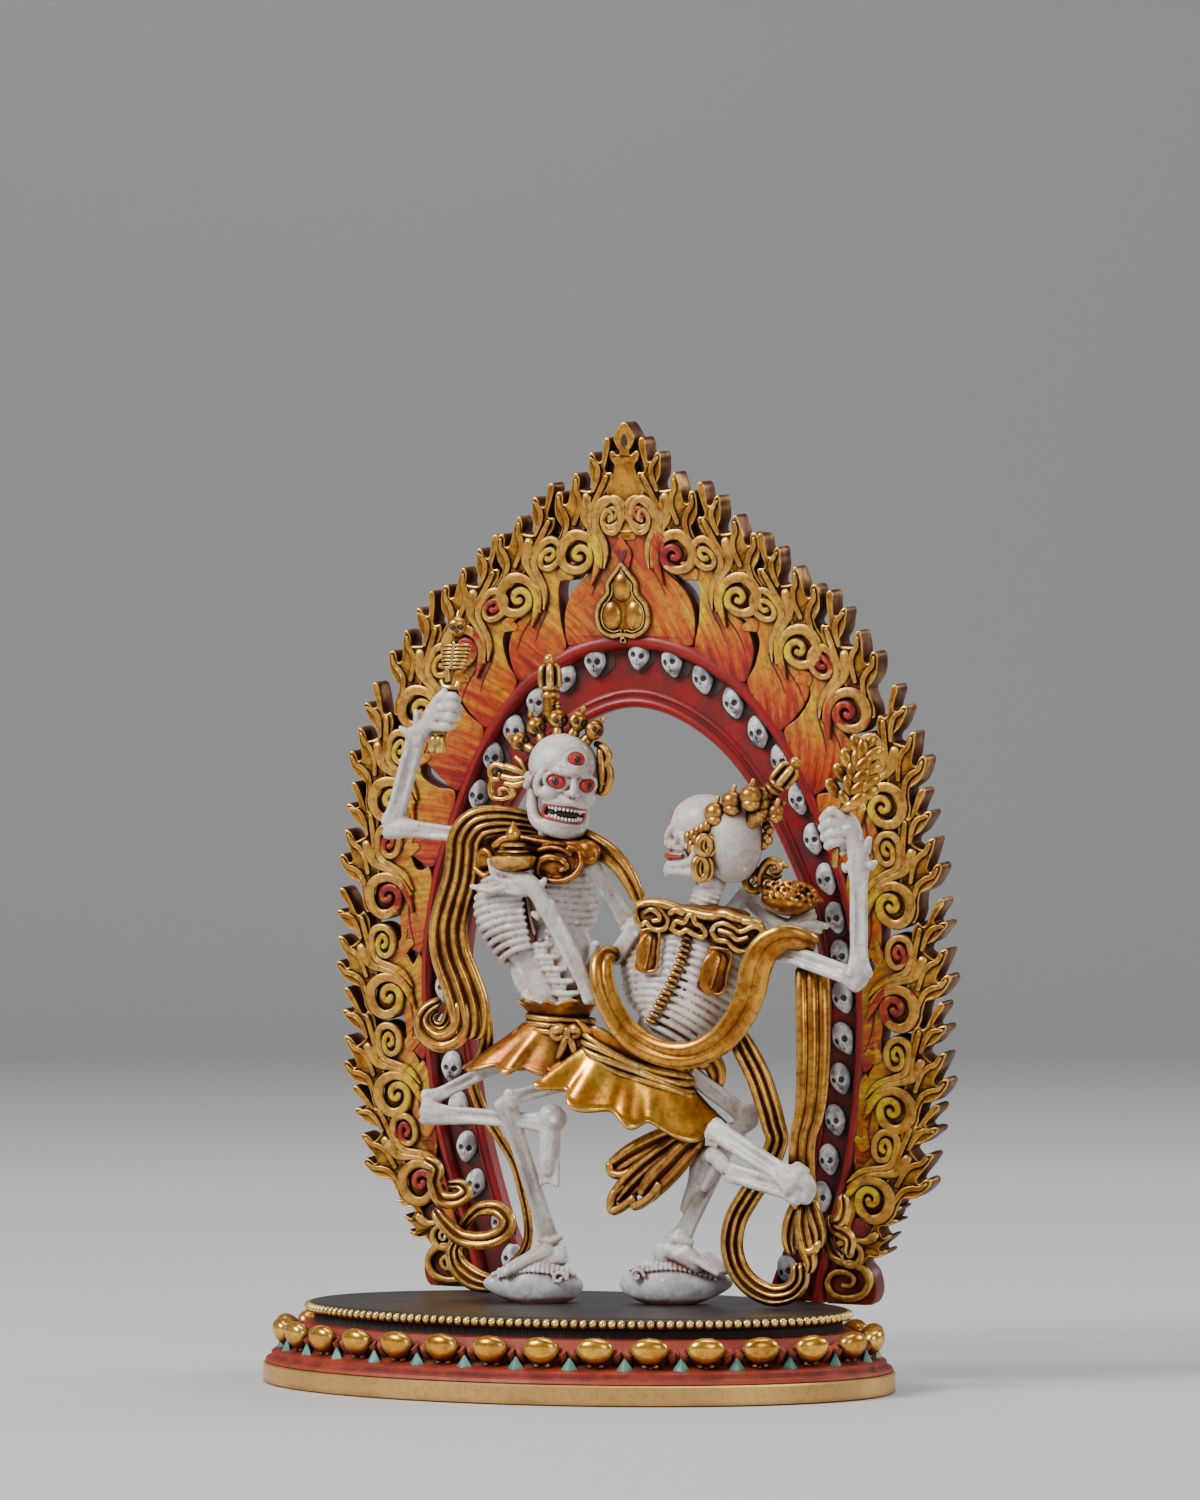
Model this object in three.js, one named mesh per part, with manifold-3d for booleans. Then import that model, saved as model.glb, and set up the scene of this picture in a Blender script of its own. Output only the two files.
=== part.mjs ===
// A chitipati statue: two dancing skeletons on an oval lotus plinth, under an openwork aureole of flames.
// Millimetres, +Z up. X runs to the right of a person who faces the statue, and -Y points at that person.
import * as THREE from "three";
import { mergeVertices } from "three/addons/utils/BufferGeometryUtils.js";
import Module from "manifold-3d";

const wasm = await Module();
wasm.setup();

// Driving sizes of the plinth. The oval of its bead row is the oval that every other level is offset from.
const RIM_HALF_LENGTH = 43.5;
const RIM_HALF_DEPTH = 27;
const PLINTH_HEIGHT = 12.4;
const FOOT_FLARE = 7;
const FOOT_BAND_HEIGHT = 3.1;
const PETALS = 30;

// Driving sizes of the aureole. Its own drawing is in its plane, with u across and w up from the ground.
const PLATE_THICKNESS = 4.5;
const PLATE_FRONT_Y = 20;
const PLATE_LEAN = THREE.MathUtils.degToRad(5);
const PLATE_TILT = THREE.MathUtils.degToRad(-0.8);
const PLATE_OFFSET_X = 2.9;
const BAND_DEPTH = 3.2;
const LARGE_SPIRAL = 3.6;
const SMALL_SPIRAL = 2.6;

// The glue line that keeps two castings apart, and how far a facet may stray from the joined form.
const GLUE = 0.3;
const FACET_TOLERANCE = 0.3;
const FLOOR = PLINTH_HEIGHT + GLUE;

const at = (x, y, z) => new THREE.Vector3(x, y, z);

// Turns a closed three.js geometry into a solid that can be cut and joined.
function solid(geometry) {
  const bare = geometry.clone();
  bare.deleteAttribute("normal");
  bare.deleteAttribute("uv");
  const merged = mergeVertices(bare, 1e-4);
  const made = new wasm.Manifold(
    new wasm.Mesh({
      numProp: 3,
      vertProperties: merged.attributes.position.array,
      triVerts: new Uint32Array(merged.index.array),
    }),
  );
  if (made.volume() <= 0) {
    throw new Error("a solid is empty or inside out");
  }
  return made;
}

function join(solids) {
  return wasm.Manifold.union(solids);
}

// A named mesh of a finished solid. Facets finer than the casting's own grain are merged first.
function meshOf(name, body, colour, roughness, metalness) {
  const { vertProperties, triVerts, numProp } = body.asOriginal().simplify(FACET_TOLERANCE).getMesh();
  const positions = new Float32Array((vertProperties.length / numProp) * 3);
  for (let i = 0; i < positions.length / 3; i++) {
    positions.set(vertProperties.subarray(i * numProp, i * numProp + 3), i * 3);
  }
  const geometry = new THREE.BufferGeometry()
    .setAttribute("position", new THREE.BufferAttribute(positions, 3))
    .setIndex(new THREE.BufferAttribute(triVerts, 1));
  geometry.computeVertexNormals();
  const material = new THREE.MeshStandardMaterial({ color: colour, roughness, metalness });
  const mesh = new THREE.Mesh(geometry, material);
  mesh.name = name;
  return mesh;
}

// A closed skin over rings of points. Each ring runs anticlockwise seen from the last ring.
function loft(rings) {
  const count = rings[0].length;
  const points = rings.flat();
  const faces = [];
  for (let r = 0; r + 1 < rings.length; r++) {
    for (let i = 0; i < count; i++) {
      const a = r * count + i;
      const b = r * count + ((i + 1) % count);
      faces.push(a, b, b + count, a, b + count, a + count);
    }
  }
  for (const [ring, first] of [[rings[0], 0], [rings.at(-1), (rings.length - 1) * count]]) {
    const middle = points.length;
    points.push(ring.reduce((sum, p) => sum.add(p), at(0, 0, 0)).divideScalar(count));
    for (let i = 0; i < count; i++) {
      const a = first + i;
      const b = first + ((i + 1) % count);
      faces.push(middle, ...(first === 0 ? [b, a] : [a, b]));
    }
  }
  return solid(new THREE.BufferGeometry().setFromPoints(points).setIndex(faces));
}

// A level ring of an upright form: half sizes across and deep, with folds that swell it by a share of its size.
function levelRing(centre, across, deep, sides, folds = 0, swell = 0) {
  return Array.from({ length: sides }, (_, i) => {
    const angle = (2 * Math.PI * i) / sides;
    const size = 1 + swell * Math.cos(folds * angle);
    return at(
      centre.x + across * size * Math.cos(angle),
      centre.y + deep * size * Math.sin(angle),
      centre.z,
    );
  });
}

// A ball squashed to three half sizes, turned about Z.
function ball(centre, half, columns = 6, rows = 4, turn = 0) {
  const geometry = new THREE.SphereGeometry(1, columns, rows)
    .rotateX(Math.PI / 2)
    .scale(half[0], half[1], half[2])
    .rotateZ(turn)
    .translate(centre.x, centre.y, centre.z);
  return solid(geometry);
}

// A turned form whose profile of [radius, share of the length] runs from one point to another.
function turned(from, to, profile, sides) {
  const length = from.distanceTo(to);
  const outline = profile.map(([radius, share]) => new THREE.Vector2(radius, share * length));
  const direction = to.clone().sub(from).normalize();
  const geometry = new THREE.LatheGeometry(outline, sides)
    .applyQuaternion(new THREE.Quaternion().setFromUnitVectors(at(0, 1, 0), direction))
    .translate(from.x, from.y, from.z);
  return solid(geometry);
}

// A long bone, with a knuckle at each end.
function bone(from, to, knuckle, shaft, farKnuckle = knuckle) {
  const length = from.distanceTo(to);
  const near = knuckle / length;
  const far = farKnuckle / length;
  const profile = [
    [0, -near],
    [knuckle, 0],
    [shaft, near * 1.6],
    [shaft, 1 - far * 1.6],
    [farKnuckle, 1],
    [0, 1 + far],
  ];
  return turned(from, to, profile, 5);
}

// A strip of cast cloth along a smooth path. Its flat side faces the given way, and flutes run along it.
function ribbon(points, width, thickness, facing, steps, taper = 1) {
  const path = new THREE.CatmullRomCurve3(points);
  const section = [
    [-0.5, 0.4],
    [-0.4, -0.5],
    [0, -0.15],
    [0.4, -0.5],
    [0.5, 0.4],
  ];
  const rings = Array.from({ length: steps + 1 }, (_, i) => {
    const share = i / steps;
    const middle = path.getPointAt(share);
    const tangent = path.getTangentAt(share);
    const side = tangent.clone().cross(facing).normalize();
    const front = side.clone().cross(tangent).normalize();
    const size = 1 + (taper - 1) * share;
    return section.map(([across, out]) =>
      middle
        .clone()
        .addScaledVector(side, across * width * size)
        .addScaledVector(front, -out * thickness),
    );
  });
  return loft(rings);
}

// The lotus plinth: a brass foot band, a red ledge, a row of petals and a fluted black waist under the top.
function makePlinth() {
  const sides = 36;
  const levels = [
    [FOOT_FLARE, 0],
    [FOOT_FLARE, FOOT_BAND_HEIGHT],
    [FOOT_FLARE - 0.6, FOOT_BAND_HEIGHT + 1.2],
    [FOOT_FLARE - 2.3, FOOT_BAND_HEIGHT + 1.8],
    [-1.1, PLINTH_HEIGHT - 3.8],
    [-1.1, PLINTH_HEIGHT - 1.9],
    [0, PLINTH_HEIGHT - 1.4],
    [0, PLINTH_HEIGHT - 0.5],
    [-0.8, PLINTH_HEIGHT],
  ];
  const body = loft(
    levels.map(([offset, z]) =>
      levelRing(at(0, 0, z), RIM_HALF_LENGTH + offset, RIM_HALF_DEPTH + offset, sides),
    ),
  );
  return join([body, ...petalRow()]);
}

// The petals are set at equal steps along their oval, each a lip with a bulb on it.
function petalRow() {
  const offset = 2.6;
  const oval = new THREE.EllipseCurve(0, 0, RIM_HALF_LENGTH + offset, RIM_HALF_DEPTH + offset);
  oval.arcLengthDivisions = 720;
  const pieces = [];
  for (let i = 0; i < PETALS; i++) {
    const share = i / PETALS;
    const place = oval.getPointAt(share);
    const tangent = oval.getTangentAt(share);
    const turn = Math.atan2(-tangent.x, tangent.y);
    const petal = new THREE.SphereGeometry(1, 5, 3)
      .rotateX(Math.PI / 2)
      .scale(3, 4.2, 3)
      .rotateY(0.6)
      .rotateZ(turn)
      .translate(place.x, place.y, 7.3);
    const bulb = new THREE.OctahedronGeometry(1)
      .scale(2.2, 2.6, 2.6)
      .rotateY(0.6)
      .rotateZ(turn)
      .translate(place.x + 0.9 * Math.cos(turn), place.y + 0.9 * Math.sin(turn), 8.6);
    pieces.push(solid(petal), solid(bulb));
  }
  return pieces;
}

// A flat piece of the aureole, from the plate's back to the given depth. Its outline is in u and w.
function plate(outline, depth = PLATE_THICKNESS) {
  const shape = new THREE.Shape(outline.map(([u, w]) => new THREE.Vector2(u, w)));
  return solid(new THREE.ExtrudeGeometry(shape, { depth, bevelEnabled: false, steps: 1 }));
}

function smooth(points, steps) {
  const curve = new THREE.CatmullRomCurve3(points.map(([u, w]) => at(u, w, 0)));
  return curve.getSpacedPoints(steps).map((p) => [p.x, p.y]);
}

const mirrored = (outline) => outline.map(([u, w]) => [-u, w]).reverse();

// Half of the horseshoe band, from the crown down to the foot: its inner and outer edges, and the skulls' line.
const BAND_INSIDE = [[0, 104], [13, 98.5], [23, 85], [29.6, 66], [28.6, 45], [24.8, 27], [19.5, FLOOR]];
const BAND_OUTSIDE = [[0, 115.5], [14, 110], [27.5, 97], [35, 80], [37.8, 62], [36.2, 40], [31.5, 22], [29.5, FLOOR]];
const SKULL_LINE = [[2.2, 112], [12, 108.8], [23, 98], [30.5, 82], [33.9, 64], [32.6, 46], [29.6, 30], [24.5, 20]];
const SKULLS_A_SIDE = 18;

function makeBand() {
  const inside = smooth(BAND_INSIDE, 10);
  const outside = smooth(BAND_OUTSIDE, 10);
  const wholeInside = [...mirrored(inside), ...inside.slice(1)];
  const wholeOutside = [...mirrored(outside), ...outside.slice(1)];
  const band = plate([...wholeInside, ...wholeOutside.reverse()], BAND_DEPTH);
  const skulls = [-1, 1].flatMap((side) =>
    smooth(SKULL_LINE, SKULLS_A_SIDE - 1).map(([u, w]) =>
      solid(new THREE.OctahedronGeometry(1).scale(2, 2.6, 2.2).translate(side * u, w, BAND_DEPTH)),
    ),
  );
  return [band, ...skulls];
}

// Edge mouldings of the band: a narrow raised strip along its outer side and a broad low one along its inner side.
function makeMouldings() {
  const strips = [];
  const edges = [
    [BAND_OUTSIDE, 1.3, BAND_DEPTH + 0.9],
    [BAND_INSIDE, -1.5, BAND_DEPTH + 0.6],
  ];
  for (const [edge, inset, depth] of edges) {
    const curve = new THREE.CatmullRomCurve3(edge.map(([u, w]) => at(u, w, 0)));
    const shares = Array.from({ length: 11 }, (_, i) => i / 10);
    const along = shares.map((share) => {
      const p = curve.getPointAt(share);
      return share === 0 ? [0, p.y] : [p.x, p.y];
    });
    const within = shares.map((share) => {
      const p = curve.getPointAt(share);
      const t = curve.getTangentAt(share);
      return share === 0 ? [0, p.y - inset] : [p.x + t.y * inset, p.y - t.x * inset];
    });
    const half = [...along, ...within.reverse()];
    strips.push(plate(half, depth), plate(mirrored(half), depth));
  }
  return strips;
}

// The large spirals' centres on one side, from the lowest unit to the crown, each with the turn of its unit:
// how far, in degrees, the unit leans outward from upright.
const UNITS = [
  [38.3, 29, 14], [42.1, 42.9, 4], [43, 58.4, 2], [42.7, 74.2, -6], [41.7, 89.3, -16],
  [36.2, 103.7, -31], [28.4, 113.3, -42], [18.7, 121.2, -42], [8.2, 127.8, -45],
];
const STEM_FOOT = [-5.2, -7];

// One scrolling unit of flame: a stem from the band, two flames of two tips each, and its two spirals.
// Its outlines are drawn outward and upward from the large spiral's centre.
const FLAMES = [
  [-3.4, 1.4], [3, 1.8], [5.2, 3], [7.4, 4.2], [8.9, 7], [7, 6.9], [8.1, 11], [6, 10], [4.8, 8.2],
  [4.6, 11], [5.8, 12.6], [7.2, 15.3], [5.2, 14.8], [5.9, 18.5], [3.7, 16.2], [3, 13.6], [-2, 6.6],
];

function makeUnits() {
  const pieces = [];
  for (const [centreU, centreW, lean] of UNITS) {
    const leaning = (share) => {
      const angle = THREE.MathUtils.degToRad(lean * share);
      return ([out, high]) => [
        centreU + out * Math.cos(angle) + high * Math.sin(angle),
        centreW - out * Math.sin(angle) + high * Math.cos(angle),
      ];
    };
    const place = leaning(1);
    const disc = ([out, high], radius, sides) => {
      const [u, w] = place([out, high]);
      const ring = Array.from({ length: sides }, (_, k) => {
        const angle = (2 * Math.PI * k) / sides;
        return [u + radius * Math.cos(angle), w + radius * Math.sin(angle)];
      });
      return [ring, PLATE_THICKNESS + 0.4];
    };
    const [footU, footW] = leaning(0.5)(STEM_FOOT);
    const broad = 2.2 - 0.04 * lean;
    const stem = [[footU - broad, footW], [footU + broad, footW - 1], place([-1, -2]), place([-3.4, 2])];
    const drawings = [
      [FLAMES.map(place), PLATE_THICKNESS],
      [stem, PLATE_THICKNESS - 0.8],
      disc([0, 0], LARGE_SPIRAL, 8),
      disc([0.2, 8.4], SMALL_SPIRAL, 7),
    ];
    for (const [outline, depth] of drawings) {
      pieces.push(plate(outline, depth), plate(mirrored(outline), depth));
    }
  }
  return pieces;
}

// The crown of the aureole: the field between the last spirals, the pierced finial and the trefoil of jewels.
function makeCrown() {
  const field = [
    [0, 114], [7, 114.5], [8.2, 122], [5.4, 128], [4.6, 133], [5.4, 139.5],
    [2.3, 139.6], [3.1, 142], [1.1, 143.4], [1.8, 145.4], [0, 148.2],
  ];
  const whole = [...field, ...mirrored(field).slice(1, -1)];
  const lobes = [[0, 123.2], [-2.2, 118.6], [2.2, 118.6]];
  const jewels = lobes.map(([u, w]) =>
    solid(new THREE.SphereGeometry(1, 7, 5).scale(2, 2.9, 1.7).translate(u, w, PLATE_THICKNESS + 0.4)),
  );
  const frame = [[0, 127.8], [2.2, 124.5], [4.2, 120], [4, 116.4], [1.6, 115.4], [0, 115.9]];
  return [plate(whole, PLATE_THICKNESS - 0.2), plate([...frame, ...mirrored(frame).slice(1, -1)], 5.1), ...jewels];
}

// The foot of the band at each side, with the volute that curls outward over the plinth.
function makeFeet() {
  const foot = [[18.6, FLOOR], [28, FLOOR], [31, 14.4], [36.4, 20], [38.6, 27], [33, 30], [25, 26], [20, 17]];
  const volute = Array.from({ length: 10 }, (_, k) => {
    const angle = (2 * Math.PI * k) / 10;
    return [33.2 + 3.3 * Math.cos(angle), 16.9 + 2.6 * Math.sin(angle)];
  });
  return [
    plate(foot, BAND_DEPTH),
    plate(mirrored(foot), BAND_DEPTH),
    plate(volute, PLATE_THICKNESS + 0.4),
    plate(mirrored(volute), PLATE_THICKNESS + 0.4),
  ];
}

function makeAureole() {
  const flat = join([...makeBand(), ...makeMouldings(), ...makeUnits(), ...makeCrown(), ...makeFeet()]);
  const stand = new THREE.Matrix4()
    .makeTranslation(PLATE_OFFSET_X, PLATE_FRONT_Y + PLATE_THICKNESS, 0)
    .multiply(new THREE.Matrix4().makeRotationX(Math.PI / 2 + PLATE_LEAN))
    .multiply(new THREE.Matrix4().makeRotationZ(PLATE_TILT));
  // The plate leans about the line where it meets the plinth, and is trimmed level there.
  const stood = flat.transform(stand.toArray());
  return stood.trimByPlane([0, 0, 1], FLOOR);
}

// The landmarks of the dancer who faces the viewer.
const HE = {
  skull: at(-1.8, -0.5, 93),
  chin: at(0.4, -2.5, 86),
  neck: at(-4.5, 0, 82),
  chest: at(-7.6, 1, 72),
  waist: at(-3.4, 2, 57.6),
  shoulders: [at(-18, 2.5, 82.3), at(2.4, 1, 79.1)],
  elbows: [at(-32, 2.5, 85.2), at(4.6, 2.4, 58.8)],
  wrists: [at(-25.2, 0, 100.6), at(-3.2, -5, 72)],
  hands: [at(-21.4, -1, 102.8), at(-9, -6, 76.6)],
  hipJoints: [at(-13, 1, 49.5), at(-4.6, 0.5, 48)],
  knees: [at(-21.6, -5, 42.6), at(-8, -8, 44)],
  ankles: [at(-1.8, -3, 40.2), at(-5.1, 0.5, 19.7)],
  toes: [at(-3.5, -3, 31), at(-9.6, -4, 17.6)],
};

// The landmarks of the dancer whose back is to the viewer.
const SHE = {
  skull: at(22.8, 0, 83),
  chin: at(17.2, 1, 77.5),
  neck: at(20.8, 1, 74.4),
  chest: at(18.3, 2, 65),
  waist: at(14.5, 2, 53.4),
  shoulders: [at(10.8, 1, 70.2), at(30, -0.5, 70.2)],
  elbows: [at(7.5, 8, 65.2), at(48, -3, 61.6)],
  wrists: [at(34, 7.5, 70.4), at(44.8, -1, 76.6)],
  hands: [at(36.6, 6.5, 71.4), at(43.5, -1, 83.2)],
  hipJoints: [at(15, 3, 45.4), at(26, -0.5, 43)],
  knees: [at(25, 6, 41), at(39.6, -5.5, 31)],
  ankles: [at(13.8, 4, 19.7), at(25.5, -3.5, 34.5)],
  toes: [at(22, 4.5, 17.6), at(23, -3, 26)],
};

// A skull with its brow, jaw, eye sockets and third eye. The face looks along the given direction.
function skullOf(centre, chin, face, size) {
  const across = face.clone().cross(at(0, 0, 1)).normalize();
  const spot = (side, out, up) =>
    centre.clone().addScaledVector(across, side * size).addScaledVector(face, out * size).add(at(0, 0, up * size));
  const cranium = ball(centre, [size, size, size * 0.95], 8, 5);
  const muzzle = turned(spot(0, 0.35, -0.1), chin, [[0, -0.1], [size * 0.62, 0.1], [size * 0.5, 0.9], [0, 1.1]], 6);
  const sockets = [[-0.42, 0.92, 0], [0.42, 0.92, 0]].map(([side, out, up]) =>
    ball(spot(side, out, up), Array(3).fill(size * 0.26), 4, 2),
  );
  return join([cranium, muzzle]).subtract(join(sockets));
}

// Five small skulls in a row round the brow, and the topknot behind them.
function crownOf(centre, face, size, knotTip) {
  const pieces = [];
  for (let i = -2; i <= 2; i++) {
    const way = face.clone().applyAxisAngle(at(0, 0, 1), i * 0.55);
    const place = centre.clone().addScaledVector(way, size * 0.74).add(at(0, 0, size * 0.66));
    pieces.push(ball(place, [1.2, 1.2, 2], 4, 2));
  }
  const top = centre.clone().add(at(0, 0, size * 0.6));
  pieces.push(turned(top, knotTip, [[0, 0], [1.3, 0.1], [1.1, 0.5], [1.9, 0.66], [1.5, 0.9], [0, 1]], 5));
  return pieces;
}

// A barrel of ribs on the spine, from the collar down to the waist.
function ribsOf(top, bottom, across, deep) {
  const ribs = 5;
  const rings = [];
  const last = 2 * ribs;
  for (let i = 0; i <= last; i++) {
    const share = i / last;
    const centre = bottom.clone().lerp(top, share);
    const bulge = 0.55 + 0.45 * Math.sin(Math.PI * (0.12 + 0.68 * share));
    const ridge = i % 2 ? 1 : 0.88;
    rings.push(levelRing(centre, across * bulge * ridge, deep * bulge * ridge, 7));
  }
  return loft(rings);
}

function skirtOf(waist, hem, waistHalf, hemHalf) {
  return loft([
    levelRing(hem, hemHalf[0], hemHalf[1], 14, 7, 0.07),
    levelRing(hem.clone().lerp(waist, 0.55), hemHalf[0] * 0.84, hemHalf[1] * 0.86, 14, 7, 0.05),
    levelRing(waist, waistHalf[0], waistHalf[1], 14),
  ]);
}

// A conch shell lying under a foot: a spindle with a drawn-out tip.
function conchOf(tip, back) {
  const profile = [[0, 0], [1.2, 0.12], [2.7, 0.32], [3.4, 0.56], [2.8, 0.76], [1.4, 0.94], [0, 1]];
  return turned(tip, back, profile, 7);
}

// A closed hand, widening from the wrist.
function handOf(wrist, hand, size) {
  return turned(wrist, hand, [[0, -0.2], [size * 0.8, 0], [size * 1.4, 0.8], [0, 1.5]], 5);
}

function footOf(ankle, toes) {
  const profile = [[0, -0.25], [1.6, -0.05], [1.3, 0.35], [1.9, 0.85], [0, 1.1]];
  return turned(ankle, toes, profile, 5);
}

// The bones and hands that both dancers have.
function skeletonOf(who) {
  const pieces = [];
  for (const side of [0, 1]) {
    pieces.push(
      bone(who.shoulders[side], who.elbows[side], 2.1, 1.25, 2.2),
      bone(who.elbows[side], who.wrists[side], 2.1, 1.15, 1.7),
      bone(who.hipJoints[side], who.knees[side], 2.5, 1.5, 2.6),
      bone(who.knees[side], who.ankles[side], 2.5, 1.4, 2),
      footOf(who.ankles[side], who.toes[side]),
      handOf(who.wrists[side], who.hands[side], 1.7),
    );
  }
  // only the bare stretch of the spine, between the skirt and the lowest rib
  pieces.push(turned(who.waist, who.waist.clone().lerp(who.chest, 0.5), [[0, 0], [1.7, 0], [1.7, 1], [0, 1]], 5));
  return pieces;
}

function makeHim() {
  const face = at(0.35, -1, 0).normalize();
  const club = [
    [0, 0], [1.1, 0.03], [0.9, 0.2], [2, 0.32], [1.5, 0.45],
    [2.2, 0.64], [1.2, 0.74], [1.9, 0.86], [0, 1],
  ];
  return join([
    ...skeletonOf(HE),
    turned(HE.neck, HE.skull, [[0, 0], [1.7, 0.1], [1.7, 0.9], [0, 1]], 5),
    skullOf(HE.skull, HE.chin, face, 6.1),
    ...crownOf(HE.skull, face, 6.1, at(-3.8, -0.5, 111)),
    ribsOf(at(-7.6, 1, 81.5), at(-5.6, 1.5, 62.5), 9.6, 5.2),
    loft([
      levelRing(at(-6, 0.6, 78.2), 9.6, 6.4, 10, 5, 0.12),
      levelRing(at(-6, 0.6, 80.2), 10.2, 6.6, 10, 5, 0.1),
      levelRing(at(-5.4, 0.6, 84.6), 4.4, 3.6, 10),
    ]),
    skirtOf(at(-2.6, 2, 58.5), at(-8.6, 0.5, 46.6), [5.4, 3.6], [8.8, 6]),
    turned(at(-22.8, -1, 97.6), at(-19.4, -1, 118.4), club, 6),
    // the lidded bowl on the raised palm, and the two bosses at the ears
    turned(at(-8, -6, 76.8), at(-7.6, -6, 84.6), [[0, 0], [2, 0.1], [3.1, 0.45], [0.8, 0.75], [0, 1]], 7),
    ball(at(-9, 0, 92), [2.8, 1.8, 3.4], 5, 3),
    ball(at(4.8, 1, 92), [2.2, 1.8, 3], 5, 3),
    conchOf(at(-15.7, 0.5, FLOOR + 2.2), at(0.9, 0.5, FLOOR + 3)).trimByPlane([0, 0, 1], FLOOR),
    ribbon(
      [at(-5, 4, 83.5), at(-13, 3.5, 85.6), at(-20.5, 2.5, 82), at(-21, 2, 70), at(-20, 1.5, 60), at(-17.5, 1, 54.6)],
      6.2, 2.2, at(0, -1, 0), 10,
    ),
    ribbon([at(-17, 1, 58), at(-18, 1, 52.6), at(-22.4, 0.5, 52.2), at(-24.4, 0.5, 56.6)], 3, 2.4, at(0, -1, 0.4), 5),
    ribbon([at(-18.5, 2.5, 54), at(-17, 5, 42), at(-12.6, 6, 31), at(-12.6, 5, 22), at(-17, 4, 16.6)], 5, 2.2, at(0, -1, 0), 8),
    ribbon([at(-14, 5.4, 30), at(-20, 4, 30.8), at(-24.6, 3, 29), at(-23.2, 3, 24.4), at(-15.5, 5, 24)], 3.2, 2.2, at(0, -1, 0), 7),
    ribbon([at(-1, 3.6, 83.4), at(3.4, 4.4, 80.6), at(7.4, 4.4, 76.6)], 3.8, 2, at(0, -1, 0), 3),
  ]);
}

function makeHer() {
  const face = at(-1, 0.12, 0).normalize();
  const brow = at(0.2, -1, 0).normalize();
  return join([
    ...skeletonOf(SHE),
    turned(SHE.neck, SHE.skull, [[0, 0], [2, 0.1], [1.8, 0.9], [0, 1]], 5),
    skullOf(SHE.skull, SHE.chin, face, 6.4),
    ...crownOf(SHE.skull, brow, 5.2, at(35.8, 2, 94.6)),
    ribsOf(at(18.8, 2, 71.8), at(16, 2, 55.6), 9.4, 5),
    loft([
      levelRing(at(20.4, 1.6, 67), 9.8, 6.4, 10, 5, 0.1),
      levelRing(at(20.6, 1.6, 69.4), 10.6, 6.6, 10, 5, 0.08),
      levelRing(at(20.8, 1.4, 74.6), 3.8, 3.2, 10),
    ]),
    skirtOf(at(14.4, 2, 54), at(12.6, 1, 40.6), [7.4, 4.8], [12.4, 7.6]),
    // the ear of grain in her raised fist, and the bowl that her other hand holds
    turned(at(43.8, -0.5, 79), at(45.6, 0, 98.6), [[0, 0], [0.9, 0.05], [0.9, 0.35], [3.6, 0.5], [3.2, 0.7], [0, 1]], 6),
    turned(at(33.4, 6.5, 71), at(33.4, 6.5, 79.6), [[0, 0], [2.4, 0.08], [4.1, 0.36], [3.2, 0.76], [0, 1]], 8),
    ball(at(19.6, -5.4, 83), [1.9, 1.4, 3.6], 5, 3),
    conchOf(at(23.6, 4.6, FLOOR + 2.2), at(5.6, 4.6, FLOOR + 3.1)).trimByPlane([0, 0, 1], FLOOR),
    ribbon(
      [
        at(9.6, -1.6, 66.4), at(9, -2.8, 59.4), at(13, -3.8, 53.2), at(20.6, -4.2, 51),
        at(26.6, -4, 55), at(30, -4, 62), at(34, -3.4, 70.4), at(38.4, -1.6, 69.4),
      ],
      4.2, 2.2, at(0, -1, 0), 12,
    ),
    ribbon(
      [at(38, -2, 69.4), at(40.6, -5, 63), at(40.8, -5.4, 50), at(40.6, -5, 38), at(43, -4.5, 29), at(40.8, -4, 18.6)],
      4, 2.2, at(0, -1, 0), 8,
    ),
    ribbon(
      [
        at(27, -3.4, 54), at(33.4, -5, 45), at(32.8, -5, 36), at(28.4, -4, 25.4),
        at(27.4, -3.4, 18.4), at(33, -3, 15), at(40, -3.6, 18),
      ],
      3.4, 2.2, at(0, -1, 0), 11,
    ),
    ribbon([at(22, -3.6, 39.4), at(16, -4, 36), at(9.6, -3.4, 32), at(9.4, -3.2, 27)], 6, 1.8, at(0, -1, 0), 5),
  ]);
}

const statue = new THREE.Group();
statue.add(
  meshOf("plinth", makePlinth(), 0x8a3a22, 0.45, 0.3),
  meshOf("aureole", makeAureole(), 0xa86a24, 0.45, 0.5),
  meshOf("male_dancer", makeHim(), 0xe6e0d6, 0.55, 0),
  meshOf("female_dancer", makeHer(), 0xe6e0d6, 0.55, 0),
);

// The origin is under the middle of the bounding box.
const middle = new THREE.Box3().setFromObject(statue).getCenter(at(0, 0, 0));
statue.position.set(-middle.x, -middle.y, 0);

export default statue;
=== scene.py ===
# A painted brass chitipati statue: two skeletons dance on a lotus plinth under an aureole of flames.
import math

import bpy
from mathutils import Matrix, Vector, noise
from mathutils.geometry import tessellate_polygon


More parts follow.
